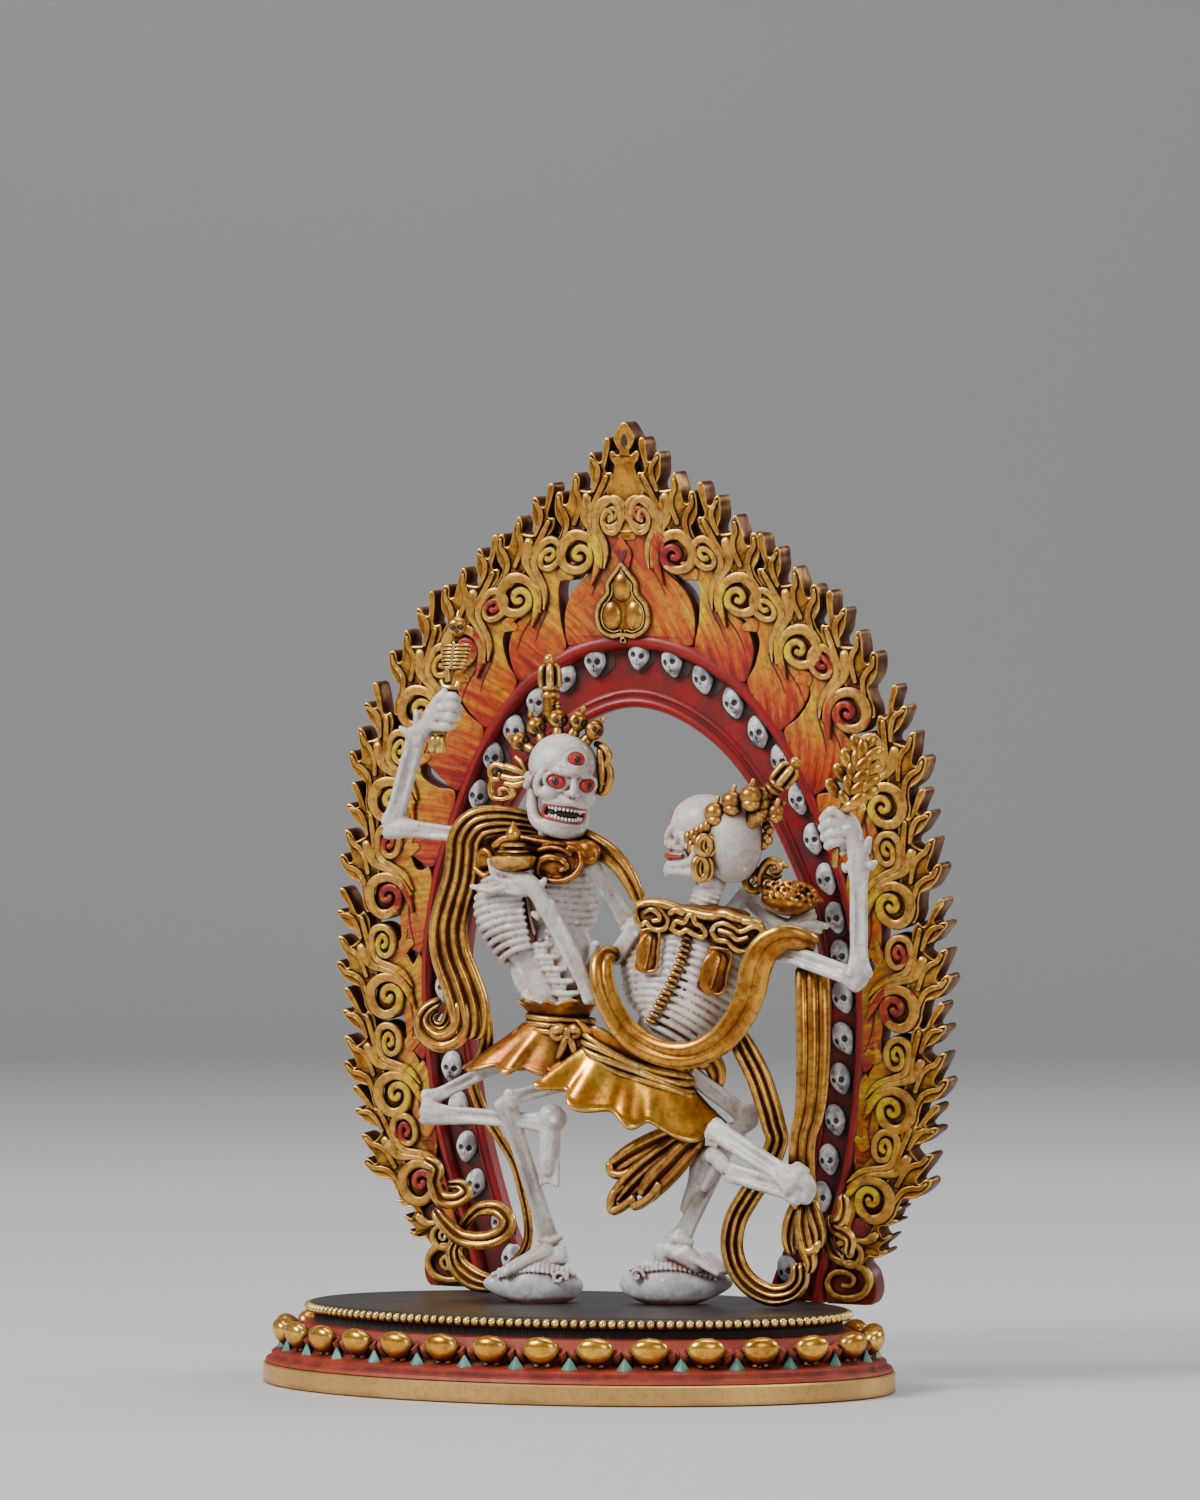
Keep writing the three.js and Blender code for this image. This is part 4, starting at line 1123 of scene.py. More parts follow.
moulded(small_skull, [
    (-0.66, 0.05, 1.2, 0.6, -0.5, 1.15), (0.66, 0.05, 1.2, 0.6, -0.5, 1.15), (0, -0.85, 1.35, 0.34, -0.22, 0.9),
    (0, -0.3, 1.45, 0.4, 0.1, 0), (-0.85, -0.75, 0.9, 0.5, 0.16, 0), (0.85, -0.75, 0.9, 0.5, 0.16, 0),
    (0, 0.55, 1.35, 0.9, 0.1, 0), (0, -1.35, 1.1, 0.3, -0.1, 0.5), (-0.4, -1.35, 1.0, 0.3, -0.08, 0.45),
    (0.4, -1.35, 1.0, 0.3, -0.08, 0.45), (0, -1.9, 0.9, 0.5, 0.12, 0), (-1.45, 0.3, 0.1, 0.7, 0.0, 0.4),
    (1.45, 0.3, 0.1, 0.7, 0.0, 0.4),
])
skull_turns, black_and_shadow_turns = [], []
for side in (-1, 1):
    for rank, (u, w) in enumerate(SKULL_LINE):
        if rank == 0:
            if side > 0:
                continue
            u = -0.9
        ahead = SKULL_LINE[min(rank + 1, len(SKULL_LINE) - 1)]
        behind = SKULL_LINE[max(rank - 1, 0)]
        tip = math.degrees(math.atan2(ahead[0] - behind[0], behind[1] - ahead[1]))
        tip = side * (28 * math.sin(math.radians(min(tip, 90)) * 1) if rank > 5 else 12)
        wobble = noise.noise(Vector((rank * 1.7, side * 3.3, 1.0)))
        at_skull = plate @ Matrix.Translation(Vector((side * u, w, 2.3)) / 1000)
        spin = Matrix.Rotation(math.radians(side * (6 if rank < 6 else 12) + 16 * wobble), 4, "Z")
        size = Matrix.Scale(1.0 + 0.08 * wobble, 4)
        skull_turns.append(at_skull @ spin @ Matrix.Rotation(math.radians(side * -8), 4, "Y") @ size)
        # The black patch sits to the skull's right and below, where its painted shadow falls.
        black_and_shadow_turns.append(
            plate @ Matrix.Translation(Vector((side * u + 0.5 + wobble * 0.6, w - 0.3, 2.0)) / 1000)
            @ Matrix.Rotation(wobble * 6, 4, "Z") @ size
        )

small_bone = bpy.data.materials.new("small_skull_paint")
small_bone.use_nodes = True
tree = small_bone.node_tree
black_and_shade = node(tree, "ShaderNodeAttribute", attribute_name="black_and_shade", attribute_type="GEOMETRY").outputs["Fac"]
spot = node(tree, "ShaderNodeTexCoord").outputs["Object"]
greys = node(tree, "ShaderNodeTexNoise", (("Vector", spot), ("Scale", 420.0), ("Detail", 4.0))).outputs["Fac"]
# Marked points go near black: partly the black paint of eyes, nose and teeth, partly painted shade in those hollows and
# on the flanks.
clouded = node(tree, "ShaderNodeMath", ((0, greys), (1, 0.9), (2, black_and_shade)), operation="MULTIPLY_ADD").outputs[0]
chalk = blend_colours(tree, between(tree, greys, 0.44, 0.62), (0.66, 0.64, 0.63, 1), (0.22, 0.21, 0.22, 1))
chalk = blend_colours(tree, between(tree, clouded, 0.72, 1.0), chalk, (0.012, 0.010, 0.011, 1))
group = node(tree, "ShaderNodeGroup", (("Coat", chalk), ("Second Coat", chalk)), node_tree=hand_paint)
group.inputs["Wash"].default_value = (0.03, 0.026, 0.028, 1)
group.inputs["Edge"].default_value = (0.85, 0.84, 0.84, 1)
group.inputs["Recess Reach"].default_value = 0.0007
finish_paint(small_bone, group.outputs["Color"], group, 0.0, 0.3, 0.5)
band_skulls = repeated_marked(small_skull, skull_turns)
finish_piece(band_skulls, "aureole_band_skulls", small_bone, ["aureole"], angle=0)

# A black patch behind each skull: partly the black painted round it, partly its painted shadow.
bpy.ops.mesh.primitive_cylinder_add(vertices=28, radius=0.001, depth=0.00016, end_fill_type="TRIFAN")
black_and_shadow_patch = bpy.context.object
for vertex in black_and_shadow_patch.data.vertices:
    x, y, z = vertex.co * 1000
    ragged = 1 + 0.22 * noise.noise(Vector((x * 2.1, y * 2.1, 4.0)))
    vertex.co = Vector((x * 1.95 * ragged, y * 2.55 * ragged, z)) / 1000
black_and_shadow_patches = repeated(black_and_shadow_patch, black_and_shadow_turns)
finish_piece(black_and_shadow_patches, "aureole_skull_black_and_shadow_patches", black_paint, ["aureole"])


# The dancers. Their bones are modelled as rods with swollen ends, run together as in a wax model, and
# painted white with a warm wash in the hollows, which also paints the shade there.
LOOK = Vector((-math.sin(math.radians(AZIMUTH)), math.cos(math.radians(AZIMUTH)), 0))
bone_white = paint(
    "bone_white", (0.63, 0.605, 0.565), (0.51, 0.46, 0.41), (0.24, 0.12, 0.07), (0.88, 0.87, 0.84),
    smooth=0.3, rough=0.48, recess_reach=0.0015, wash_strength=0.95, patch_size=190, mottle=0.3, grain=0.6,
)


def rounded_rods(paths, sides=10, steps=5):
    """Rods as before, with their ends drawn out round."""
    drawn = []
    for path in paths:
        first, second = Vector(path[0][:3]), Vector(path[1][:3])
        last, before = Vector(path[-1][:3]), Vector(path[-2][:3])
        head = (first - second).normalized()
        tail = (last - before).normalized()
        r0, r1 = path[0][3], path[-1][3]
        drawn.append(
            [(*(first + head * r0 * 0.92), r0 * 0.3), (*(first + head * r0 * 0.6), r0 * 0.8)]
            + [tuple(p) for p in path]
            + [(*(last + tail * r1 * 0.6), r1 * 0.8), (*(last + tail * r1 * 0.92), r1 * 0.3)]
        )
    return rods(drawn, sides, steps)


def long_bone(start, end, thick, head, foot):
    """Paths of a long bone: a slim shaft, two ridges along it and a knob made of two lobes at each end."""
    a, b = Vector(start), Vector(end)
    side_way = (b - a).cross(LOOK).normalized()
    near_way = side_way.cross(b - a).normalized()
    if near_way.dot(LOOK) > 0:
        near_way = -near_way

    def along(share, aside, radius, near=0.0):
        return (*(a + (b - a) * share + side_way * aside + near_way * near), radius)

    paths = [[
        along(0, 0, head * 0.8), along(0.1, 0, head * 0.75), along(0.22, 0, thick * 0.72),
        along(0.5, 0, thick * 0.6), along(0.78, 0, thick * 0.72), along(0.9, 0, foot * 0.75), along(1, 0, foot * 0.8),
    ]]
    for side in (-1, 1):
        paths.append([
            along(0.0, side * head * 0.5, head * 0.62, head * 0.15), along(0.16, side * thick * 0.58, thick * 0.46, thick * 0.35),
            along(0.5, side * thick * 0.6, thick * 0.42, thick * 0.42), along(0.84, side * thick * 0.58, thick * 0.46, thick * 0.35),
            along(1.0, side * foot * 0.5, foot * 0.62, foot * 0.15),
        ])
    return paths


def cast_together(pieces, voxel, rounds=2, limit=150000):
    """Runs pieces together into one skin, as one casting, and smooths it a little."""
    made = joined(pieces)
    bpy.ops.object.transform_apply(location=True, rotation=True, scale=True)
    bpy.ops.object.modifier_add(type="REMESH")
    made.modifiers[-1].mode = "VOXEL"
    made.modifiers[-1].voxel_size = voxel / 1000
    bpy.ops.object.modifier_apply(modifier=made.modifiers[-1].name)
    bpy.ops.object.modifier_add(type="SMOOTH")
    made.modifiers[-1].factor = 0.5
    made.modifiers[-1].iterations = rounds
    bpy.ops.object.modifier_apply(modifier=made.modifiers[-1].name)
    triangles = 2 * len(made.data.polygons)
    if triangles > limit:
        bpy.ops.object.modifier_add(type="DECIMATE")
        made.modifiers[-1].ratio = limit / triangles
        bpy.ops.object.modifier_apply(modifier=made.modifiers[-1].name)
    return made


def set_in_place(piece):
    """Carries a piece modelled about the plinth's middle to where the plinth is."""
    for vertex in piece.data.vertices:
        vertex.co += MIDDLE
    return piece


def rib_paths(centre, facing, tilt, half_width, half_depth, rows, rise, radius, front=32, back=172, sag=0.9, drop=2.6):
    """Ribs round a cage. A row is (height above the centre, width share); they rise towards the front."""
    turn = (
        Matrix.Translation(Vector(centre)) @ Matrix.Rotation(math.radians(facing), 4, "Z")
        @ Matrix.Rotation(math.radians(tilt), 4, "Y")
    )
    paths = []
    for row, (height, share) in enumerate(rows):
        for side in (-1, 1):
            path = []
            for step in range(9):
                angle = math.radians(front + (back - front) * step / 8)
                path.append((*(turn @ Vector((
                    side * half_width * share * math.sin(angle) ** 0.8,
                    -half_depth * (0.4 + 0.6 * share) * math.cos(angle),
                    height + rise * (math.cos(angle) - 0.1)
                    - (sag * math.sin(2 * angle) if side > 0 else drop * row / len(rows) * math.sin(angle) ** 2),
                ))), radius))
            paths.append(path)
    return paths


def put(piece, matrix):
    """Turns and moves a mesh by a matrix in millimetres."""
    scaled = Matrix.Scale(0.001, 4) @ matrix @ Matrix.Scale(1000, 4)
    piece.data.transform(scaled)
    return piece


def turned_profile(profile, segments=24):
    """A lathe-turned shape along Z from (radius, height) points in millimetres."""
    points, faces = [], []
    for radius, height in profile:
        for k in range(segments):
            angle = 2 * math.pi * k / segments
            points.append(Vector((radius * math.cos(angle), radius * math.sin(angle), height)) / 1000)
    for level in range(len(profile) - 1):
        for k in range(segments):
            j = (k + 1) % segments
            faces.append([level * segments + k, level * segments + j, (level + 1) * segments + j, (level + 1) * segments + k])
    faces.append(list(range(segments))[::-1])
    faces.append([len(points) - segments + k for k in range(segments)])
    return new_piece(points, faces)


def ribbon(path, ridges, thick, steps=6, deep=0.58, open_end=False):
    """A band of cloth that faces the viewer, with rounded ridges along it. Path: (x, y, z, half width, twist)."""
    stations = path_through([tuple(p) + ((0,) if len(p) == 4 else ()) for p in path], steps)
    spots = [Vector(s[:3]) for s in stations]
    count = 5 * ridges
    section = []
    for k in range(count + 1):
        a = -1 + 2 * k / count
        wave = abs(math.sin(math.pi * ridges * (a + 1) / 2)) ** 0.6
        section.append((a, (1 - deep + deep * wave) * math.sqrt(max(0.0, 1 - 0.45 * a * a))))
    section += [(0.92, -0.35), (0.3, -0.5), (-0.3, -0.5), (-0.92, -0.35)]
    points, faces = [], []
    for i, spot in enumerate(spots):
        way = (spots[min(i + 1, len(spots) - 1)] - spots[max(i - 1, 0)]).normalized()
        across_way = way.cross(LOOK).normalized()
        out_way = across_way.cross(way).normalized()
        if out_way.dot(LOOK) > 0:
            out_way = -out_way
        twist = Matrix.Rotation(math.radians(stations[i][4]), 3, way)
        across_way, out_way = twist @ across_way, twist @ out_way
        half = stations[i][3]
        ease = min(1, (i + 0.6) / 2, 1 if open_end else (len(spots) - i - 0.4) / 2)
        for a, high in section:
            points.append((spot + across_way * a * half * ease ** 0.5 + out_way * high * thick * ease ** 0.5) / 1000)
    ring = len(section)
    for i in range(len(spots) - 1):
        for k in range(ring):
            j = (k + 1) % ring
            faces.append([i * ring + k, i * ring + j, (i + 1) * ring + j, (i + 1) * ring + k])
    faces.append(list(range(ring)))
    faces.append([(len(spots) - 1) * ring + k for k in range(ring)][::-1])
    return new_piece(points, faces)


def skirt_shell(waist, hem, folds, depth, flare, wave=0.8, around=144, rows=26, thickness=0.9, dip=0.0):
    """A skirt between two slanted ovals: (centre, half width, half depth, slant). Its folds deepen to the hem."""
    (c0, w0, d0, s0), (c1, w1, d1, s1) = waist, hem
    c0, c1 = Vector(c0), Vector(c1)

    def at(share, angle, inward_by):
        opened = share ** flare
        centre = c0.lerp(c1, share)
        fold = math.cos(folds * angle + 1.3 * math.sin(2 * angle + 0.7) + 0.6 * math.sin(5 * angle))
        grown = 1 + depth * fold * share ** 1.3
        half_w = (w0 + (w1 - w0) * opened) * grown - inward_by
        half_d = (d0 + (d1 - d0) * opened) * grown - inward_by
        slant = s0 + (s1 - s0) * share
        x = half_w * math.sin(angle)
        drop = wave * (0.5 + 0.5 * fold) * share ** 3 + dip * share * math.cos(angle)
        return centre + Vector((x, -half_d * math.cos(angle), x * slant - drop))

    points, faces = [], []
    loops = []
    for share, inward_by in (
        [(i / rows, 0) for i in range(rows + 1)]
        + [(1.012, 0.1), (1.02, 0.45), (1.0, thickness)]
        + [(1 - i / 6, thickness) for i in range(1, 7)]
    ):
        first = len(points)
        extra = 0.35 * math.exp(-((share - 0.965) / 0.025) ** 2) if not inward_by else 0
        points += [at(share, 2 * math.pi * k / around, inward_by - extra) / 1000 for k in range(around)]
        loops.append(first)
    for first, second in zip(loops, loops[1:]):
        for k in range(around):
            j = (k + 1) % around
            faces.append([first + k, first + j, second + j, second + k])
    for k in range(around):
        j = (k + 1) % around
        faces.append([loops[-1] + k, loops[-1] + j, loops[0] + j, loops[0] + k])
    return new_piece(points, faces)


# The male's skeleton: arms, the two baskets of ribs, the hollow belly with its row of lumps, and the legs.
male_bones = []
male_bones += long_bone((0.2, 1.5, 81.5), (-32.1, 2.5, 85.2), 1.25, 1.5, 1.9)
male_bones += long_bone((-31.8, 2.5, 85.9), (-26.5, 0, 99.6), 1.5, 1.8, 1.5)
male_bones += [
    # The flared horns at the wrist, the heel of the fist, and its four rolled fingers.
    [(-26.3, 0, 98.5, 1.2), (-28.2, 0, 99.6, 0.7), (-29.4, 0, 100.4, 0.35)], [(-26.1, 0, 100, 1.1), (-26.3, -0.5, 102.1, 0.7), (-26.6, -0.5, 102.9, 0.4)],
    [(-25.2, 0, 100, 1.3), (-22.6, -1, 102.3, 2.0), (-20.9, -1, 103.8, 1.6)], [(-24.6, 0.5, 101.5, 1.6), (-22.7, 0.5, 104.2, 1.5)],
    [(-21.4, -2.2, 104.7, 0.8), (-19.3, -3, 105, 0.85), (-18.8, -2.2, 104.5, 0.75)], [(-21.5, -2.4, 103.5, 0.8), (-19.2, -3.3, 103.5, 0.85), (-18.4, -2.4, 103.3, 0.75)],
    [(-21.9, -2.2, 102.1, 0.8), (-19.5, -3.2, 102, 0.85), (-18.7, -2.3, 101.9, 0.72)], [(-22.6, -2, 100.5, 0.75), (-20.5, -2.8, 100.5, 0.8), (-19.7, -2, 100.6, 0.65)],
    [(-23.4, -2, 102.3, 0.7), (-21.9, -2.6, 104.5, 0.7), (-20.8, -2.2, 105.9, 0.6)],
]
male_bones += long_bone((2.3, 1.5, 79), (8, 3.5, 69.3), 1.3, 1.5, 1.3)
male_bones += long_bone((3.9, -2.2, 59.3), (-2.5, -5, 73), 1.3, 1.55, 1.35)
male_bones += [
    # The wrist and the upturned palm with its thumb and long fingers.
    [(-2.7, -5, 72.8, 1.3), (-3.6, -5.4, 74.7, 1.35), (-4.9, -5.8, 76.4, 1.5), (-6.4, -6, 77.2, 1.4)],
    [(-3.4, -5.4, 76.1, 0.7), (-2.6, -5.4, 77, 0.45)], [(-3.8, -5, 71.5, 0.7), (-4.6, -5, 71.9, 0.5)],
    [(-6.4, -6.2, 77.6, 0.9), (-8.5, -6.6, 78.3, 0.62), (-10.6, -6.6, 78.7, 0.5)],
    [(-6.4, -6, 76.6, 0.9), (-8.6, -6.4, 76.8, 0.62), (-10.4, -6.6, 77.6, 0.5), (-11.3, -6.6, 79.9, 0.36)],
    [(-6.2, -6, 75.9, 0.9), (-8.4, -6.2, 76.2, 0.62), (-11.2, -6.2, 75.4, 0.55), (-14.2, -6.2, 76, 0.42)],
    [(-5.7, -5.8, 75.3, 0.9), (-7.7, -6, 75.3, 0.6), (-10.7, -5.8, 75.8, 0.5), (-13.2, -5.8, 76.1, 0.4)],
    # The neck's rings.
    [(-4.5, -0.5, 85.9, 1.1), (-4.8, -0.3, 84.2, 1.2), (-4.9, 0, 82.7, 1.3)],
    # The spine behind, from the shoulders to the waist.
    [(-6, 4, 81.5, 1.8), (-6.4, 5, 74.6, 1.6), (-5.8, 4.5, 66.9, 1.6), (-5, 3.5, 58.5, 1.8)],
    [(-16, 2, 82.7, 1.6), (-8.2, 2.4, 81.9, 2.0), (1.6, 2, 80, 1.5)],
]
belly = [
    dome((3.0, 1.5, 6.2), (-8.2, 0.4, 65.3), 24, 16), dome((4.2, 1.6, 7.0), (-2.7, 0.4, 64.4), 24, 16),
    dome((8.7, 3.3, 5.9), (-7.8, 2, 73.5), 32, 20), dome((6.3, 3.2, 6.0), (-4.2, 1.8, 66.2), 32, 20),
    dome((5.0, 3.1, 5.6), (-4.3, 1.6, 60.9), 32, 20), dome((4.4, 3.0, 3.4), (-4.2, 1.4, 57.1), 28, 16),
]
RIB_ROWS = [(5.2 - 1.08 * i, share) for i, share in enumerate((0.86, 0.93, 0.98, 1.0, 1.0, 0.97, 0.93, 0.87, 0.8, 0.72, 0.63))]
male_bones += rib_paths((-7, 1.6, 71.9), 22, -3, 9.3, 4.7, RIB_ROWS, 0.9, 0.53, front=10, drop=1.4)
for row in range(5):
    left, right = Vector((-6.6, -2, 66.9)), Vector((-3.5, -2, 67.2))
    step = Vector((1.05, 0, -1.85)) * row
    middle = (left + right) / 2 + step
    for side in (-1, 1):
        inner, outer = middle + Vector((0.35 * side, 0, 0)), middle + Vector(((1.7 + 0.12 * row) * side, 0.3, 0.1))
        male_bones.append([(*(inner + Vector((0, 0.35, 0))), 0.5), (*((inner + outer) / 2 + Vector((0, 0.35, 0))), 0.55), (*(outer + Vector((0, 0.35, 0))), 0.42)])
    low = middle + Vector((0, 0.2, -0.9))
    male_bones.append([(*(low + Vector((-0.9, 0.3, 0))), 0.4), (*(low + Vector((0.9, 0.3, 0))), 0.4)])
male_bones += [
    # The rims of the hollow belly, down to the frill of the hip bones.
    [(-13.2, -0.5, 67.4, 0.8), (-10, -0.6, 65.3, 0.9), (-8.2, -0.4, 62.8, 0.8), (-7.4, 0, 59.7, 0.9), (-8.2, 0, 58.9, 0.6)],
    [(3.6, -0.5, 67.1, 0.8), (3.1, -0.4, 64.8, 0.9), (1.7, -0.2, 61.7, 0.9), (0.8, 0, 58.7, 0.9)],
    [(-8.1, -0.6, 59.4, 0.7), (-5.7, -1.4, 58.1, 0.7), (-2.6, -1.6, 57.7, 0.7), (0.6, -1.4, 58.1, 0.7)],
]
# The raised leg crosses in front of the standing one; its foot hangs from the ankle.
male_bones += long_bone((-12.9, 0.5, 48.8), (-23, -3.5, 43.3), 1.05, 1.3, 1.6)
male_bones += long_bone((-22.9, -4.2, 41.5), (-3.2, -3.6, 40.1), 1.25, 1.75, 1.6)
male_bones += [
    [(-2.4, -3.6, 41.1, 2.0), (-1.7, -3.7, 40.7, 1.9)],
    [(-2.6, -3.6, 39.4, 1.6), (-2.5, -3.9, 36.7, 1.65), (-2.6, -4.1, 34.1, 1.55), (-2.6, -4.2, 32.9, 1.45)],
    [(-14.8, -4.4, 40.1, 0.4), (-22.8, -4.6, 40.2, 0.8)],
]
for toe in range(5):
    male_bones.append([
        tuple(Vector((-3.6, -4.6, 34.1)) + Vector((0.62 * toe, 0.1 * toe, 0))) + (0.42,),
        tuple(Vector((-3.4, -5, 31.4)) + Vector((0.6 * toe, 0.1 * toe, 0.1 - 0.25 * abs(toe - 1.6)))) + (0.4,),
    ])
male_bones += long_bone((-2.4, 0.5, 45.9), (-8.4, -5.5, 43.7), 1.15, 1.3, 1.5)
male_bones += long_bone((-9.3, -5, 43.1), (-5.1, 1, 22.7), 1.35, 1.7, 1.35)
male_bones += [
    [(-6.3, 0.6, 22.2, 0.6), (-4.4, 0.2, 21.8, 0.75), (-3, 0.8, 22.4, 0.55)],
    [(-4.8, 1, 21.2, 1.5), (-4.7, 0.9, 19.5, 1.9)], [(-2.9, 0.6, 20.3, 1.1), (-2.7, 0.5, 19.2, 1.2)],
    [(-4.9, 0.4, 19.9, 1.7), (-6.5, -0.8, 19.1, 1.35), (-8.3, -2.4, 18.1, 1.0), (-10.1, -3.4, 17.1, 0.75)],
    [(-6.2, 0.4, 20, 1.2), (-8, -1.2, 19.1, 0.8), (-9.6, -3.2, 18.1, 0.6)],
    [(-3.7, 0.6, 18.9, 1.6), (-5.7, -0.6, 18, 1.2)],
]
male_skeleton = cast_together([rounded_rods(male_bones, 10, 5)] + belly, 0.18, 1, 118000)


def finish_figure(piece, name, material, node_name, angle=0):
    return finish_piece(set_in_place(piece), name, material, [node_name], angle)


finish_figure(male_skeleton, "male_skeleton", bone_white, "male_dancer")

# Between the ribs of the chest is a narrow hollow, painted rust brown.
rust = paint(
    "rust", (0.20, 0.055, 0.02), (0.12, 0.03, 0.012), (0.02, 0.006, 0.004), (0.42, 0.26, 0.18),
    smooth=0.35, rough=0.6, recess_reach=0.0012,
)
breast_hollow = put(dome((1.15, 1.0, 4.2), (0, 0, 0), 24, 20), Matrix.Translation(Vector((-7.4, -1.6, 70.9))) @ Matrix.Rotation(math.radians(-12), 4, "Y"))
breast_strips = rounded_rods([
    [(-8.3, -2.5, 74.1, 0.3), (-7.6, -2.7, 71.6, 0.32), (-6.8, -2.6, 69, 0.28)], [(-7, -2.6, 74.7, 0.28), (-6.3, -2.7, 71.6, 0.3), (-5.6, -2.6, 69, 0.25)],
], 8, 4)
finish_figure(joined([breast_hollow, breast_strips]), "male_breast_hollow", rust, "male_dancer")


# The conch shells under the standing feet, white and dotted with rust, with a row of teeth along the top.
def conch(centre, length, high, deep, facing, tip_side, tooth_row):
    """A spindle with a swollen middle, lying on the plinth, and ridged towards its pointed end."""
    bpy.ops.mesh.primitive_uv_sphere_add(segments=64, ring_count=40, radius=1)
    made = bpy.context.object
    for vertex in made.data.vertices:
        x, y, z = vertex.co
        along_shell = z * tip_side
        slim = 1 - 0.42 * max(0, along_shell) ** 1.5 - 0.12 * max(0, -along_shell) ** 2
        wrinkle = 1 + 0.02 * noise.noise(Vector((x * 3, y * 3, z * 9)))
        up = y * high * slim * wrinkle
        vertex.co = Vector((z * length, x * deep * slim * wrinkle, max(up, -high * 0.86) + 0.15 * along_shell)) / 1000
    row = []
    for k in range(tooth_row):
        share = -0.62 + 1.35 * k / (tooth_row - 1)
        slim = 1 - 0.42 * max(0, share * tip_side) ** 1.5
        level = math.sqrt(max(0.05, 1 - share * share))
        x, z = share * length, high * slim * level * 0.86
        row.append([(x, -deep * 0.6 * level, z + 0.4, 0.36), (x + 0.1, -deep * 0.9 * level, z - 0.75, 0.28)])
    lip = [(share * length, -deep * 0.55 * math.sqrt(1 - share * share), high * (1 - 0.42 * max(0, share * tip_side) ** 1.5) * math.sqrt(1 - share * share) * 0.9, 0.42)
           for share in (-0.75, -0.45, -0.1, 0.25, 0.6, 0.85)]
    curl = [(-0.62 * length * tip_side + 1.2 * math.cos(t * 0.9) * (1 - t / 9), -deep * 0.93, high * 0.35 + 1.1 * math.sin(t * 0.9) * (1 - t / 9), 0.3)
            for t in range(8)]
    made = cast_together([made, rounded_rods(row + [lip, curl], 8, 3)], 0.16, 1, 25000)
    place_at = Matrix.Translation(Vector(centre)) @ Matrix.Rotation(math.radians(facing), 4, "Z")
    return put(made, place_at)


conch_paint = paint(
    "conch_paint", (0.60, 0.595, 0.58), (0.46, 0.46, 0.465), (0.24, 0.055, 0.02), (0.84, 0.83, 0.82),
    smooth=0.3, rough=0.5, recess_reach=0.0012, wash_strength=0.9, patch_size=300, mottle=0.25, grain=0.5,
)
male_conch = conch((-7.3, 0.3, 15.1), 7.9, 3.55, 3.4, 10, -1, 16)
finish_figure(male_conch, "male_conch", conch_paint, "male_dancer")


# The male's head is a wrathful skull with three bulging eyes and an open mouth. It is modelled looking
# along minus Y and then turned and tipped into place.
HEAD_SPOT = (-2.1, 0.4, 94.4)
male_head = (
    Matrix.Translation(Vector(HEAD_SPOT)) @ Matrix.Rotation(math.radians(45), 4, "Z")
    @ Matrix.Rotation(math.radians(7), 4, "Y") @ Matrix.Rotation(math.radians(4), 4, "X")
)
skull_domes = [
    dome((5.3, 5.4, 5.0), (0, 0, 0), 48, 32), dome((4.3, 3.6, 3.6), (0, -1.6, -2.6), 32, 20),
    dome((1.6, 1.3, 1.2), (-3.1, -3.9, -4.3), 20, 14), dome((1.6, 1.3, 1.2), (3.1, -3.9, -4.3), 20, 14),
    dome((2.7, 1.8, 1.3), (0, -3.9, -5.0), 24, 14), dome((3.2, 2.6, 1.7), (0, -2.2, -9.4), 28, 16),
    dome((3.0, 2.0, 1.3), (0, -3.4, -9.5), 28, 16),
]
skull_rods = [
    [(-2.6, -4.3, -0.9, 0.7), (-1.2, -5.3, -0.9, 0.65), (0, -5.5, -0.5, 0.6), (1.2, -5.3, -0.9, 0.65), (2.6, -4.3, -0.9, 0.7)],
    [(-2.2, -4.9, 0.1, 0.35), (-1.1, -5.55, -0.35, 0.35), (0, -5.75, -0.5, 0.35), (1.1, -5.55, -0.35, 0.35), (2.2, -4.9, 0.1, 0.35)],
    [(-1.6, -5.2, 0.6, 0.28), (0, -5.75, 0.1, 0.3), (1.6, -5.2, 0.6, 0.28)],
    [(-4.3, -3.0, -1.5, 0.75), (-4.6, -2.4, -3.0, 0.8), (-4.2, -2.6, -4.4, 0.8)],
    [(4.3, -3.0, -1.5, 0.75), (4.6, -2.4, -3.0, 0.8), (4.2, -2.6, -4.4, 0.8)],
    [(0, -5.3, -1.6, 0.55), (0, -5.9, -2.9, 0.6), (0, -6.1, -3.8, 0.75)],
    [(-0.8, -5.7, -4.0, 0.5), (-0.7, -5.6, -4.2, 0.45)], [(0.8, -5.7, -4.0, 0.5), (0.7, -5.6, -4.2, 0.45)],
    [(-3.3, -3.4, -5.6, 0.6), (-1.9, -4.9, -5.5, 0.65), (0, -5.5, -5.3, 0.65), (1.9, -4.9, -5.5, 0.65), (3.3, -3.4, -5.6, 0.6)],
    [(-4.2, 0.2, -4.6, 0.9), (-4.2, -0.6, -7.0, 0.95), (-3.6, -1.8, -8.8, 1.1), (-2.2, -3.6, -9.6, 1.1), (0, -4.4, -9.9, 1.1),
     (2.2, -3.6, -9.6, 1.1), (3.6, -1.8, -8.8, 1.1), (4.2, -0.6, -7.0, 0.95), (4.2, 0.2, -4.6, 0.9)],
    [(-3.0, -3.3, -8.6, 0.5), (-1.6, -4.6, -8.9, 0.5), (0, -5.0, -9.0, 0.5), (1.6, -4.6, -8.9, 0.5), (3.0, -3.3, -8.6, 0.5)],
    [(-4.9, -0.6, -2.6, 0.8), (-5.2, 0.4, -3.6, 0.7)], [(4.9, -0.6, -2.6, 0.8), (5.2, 0.4, -3.6, 0.7)],
]
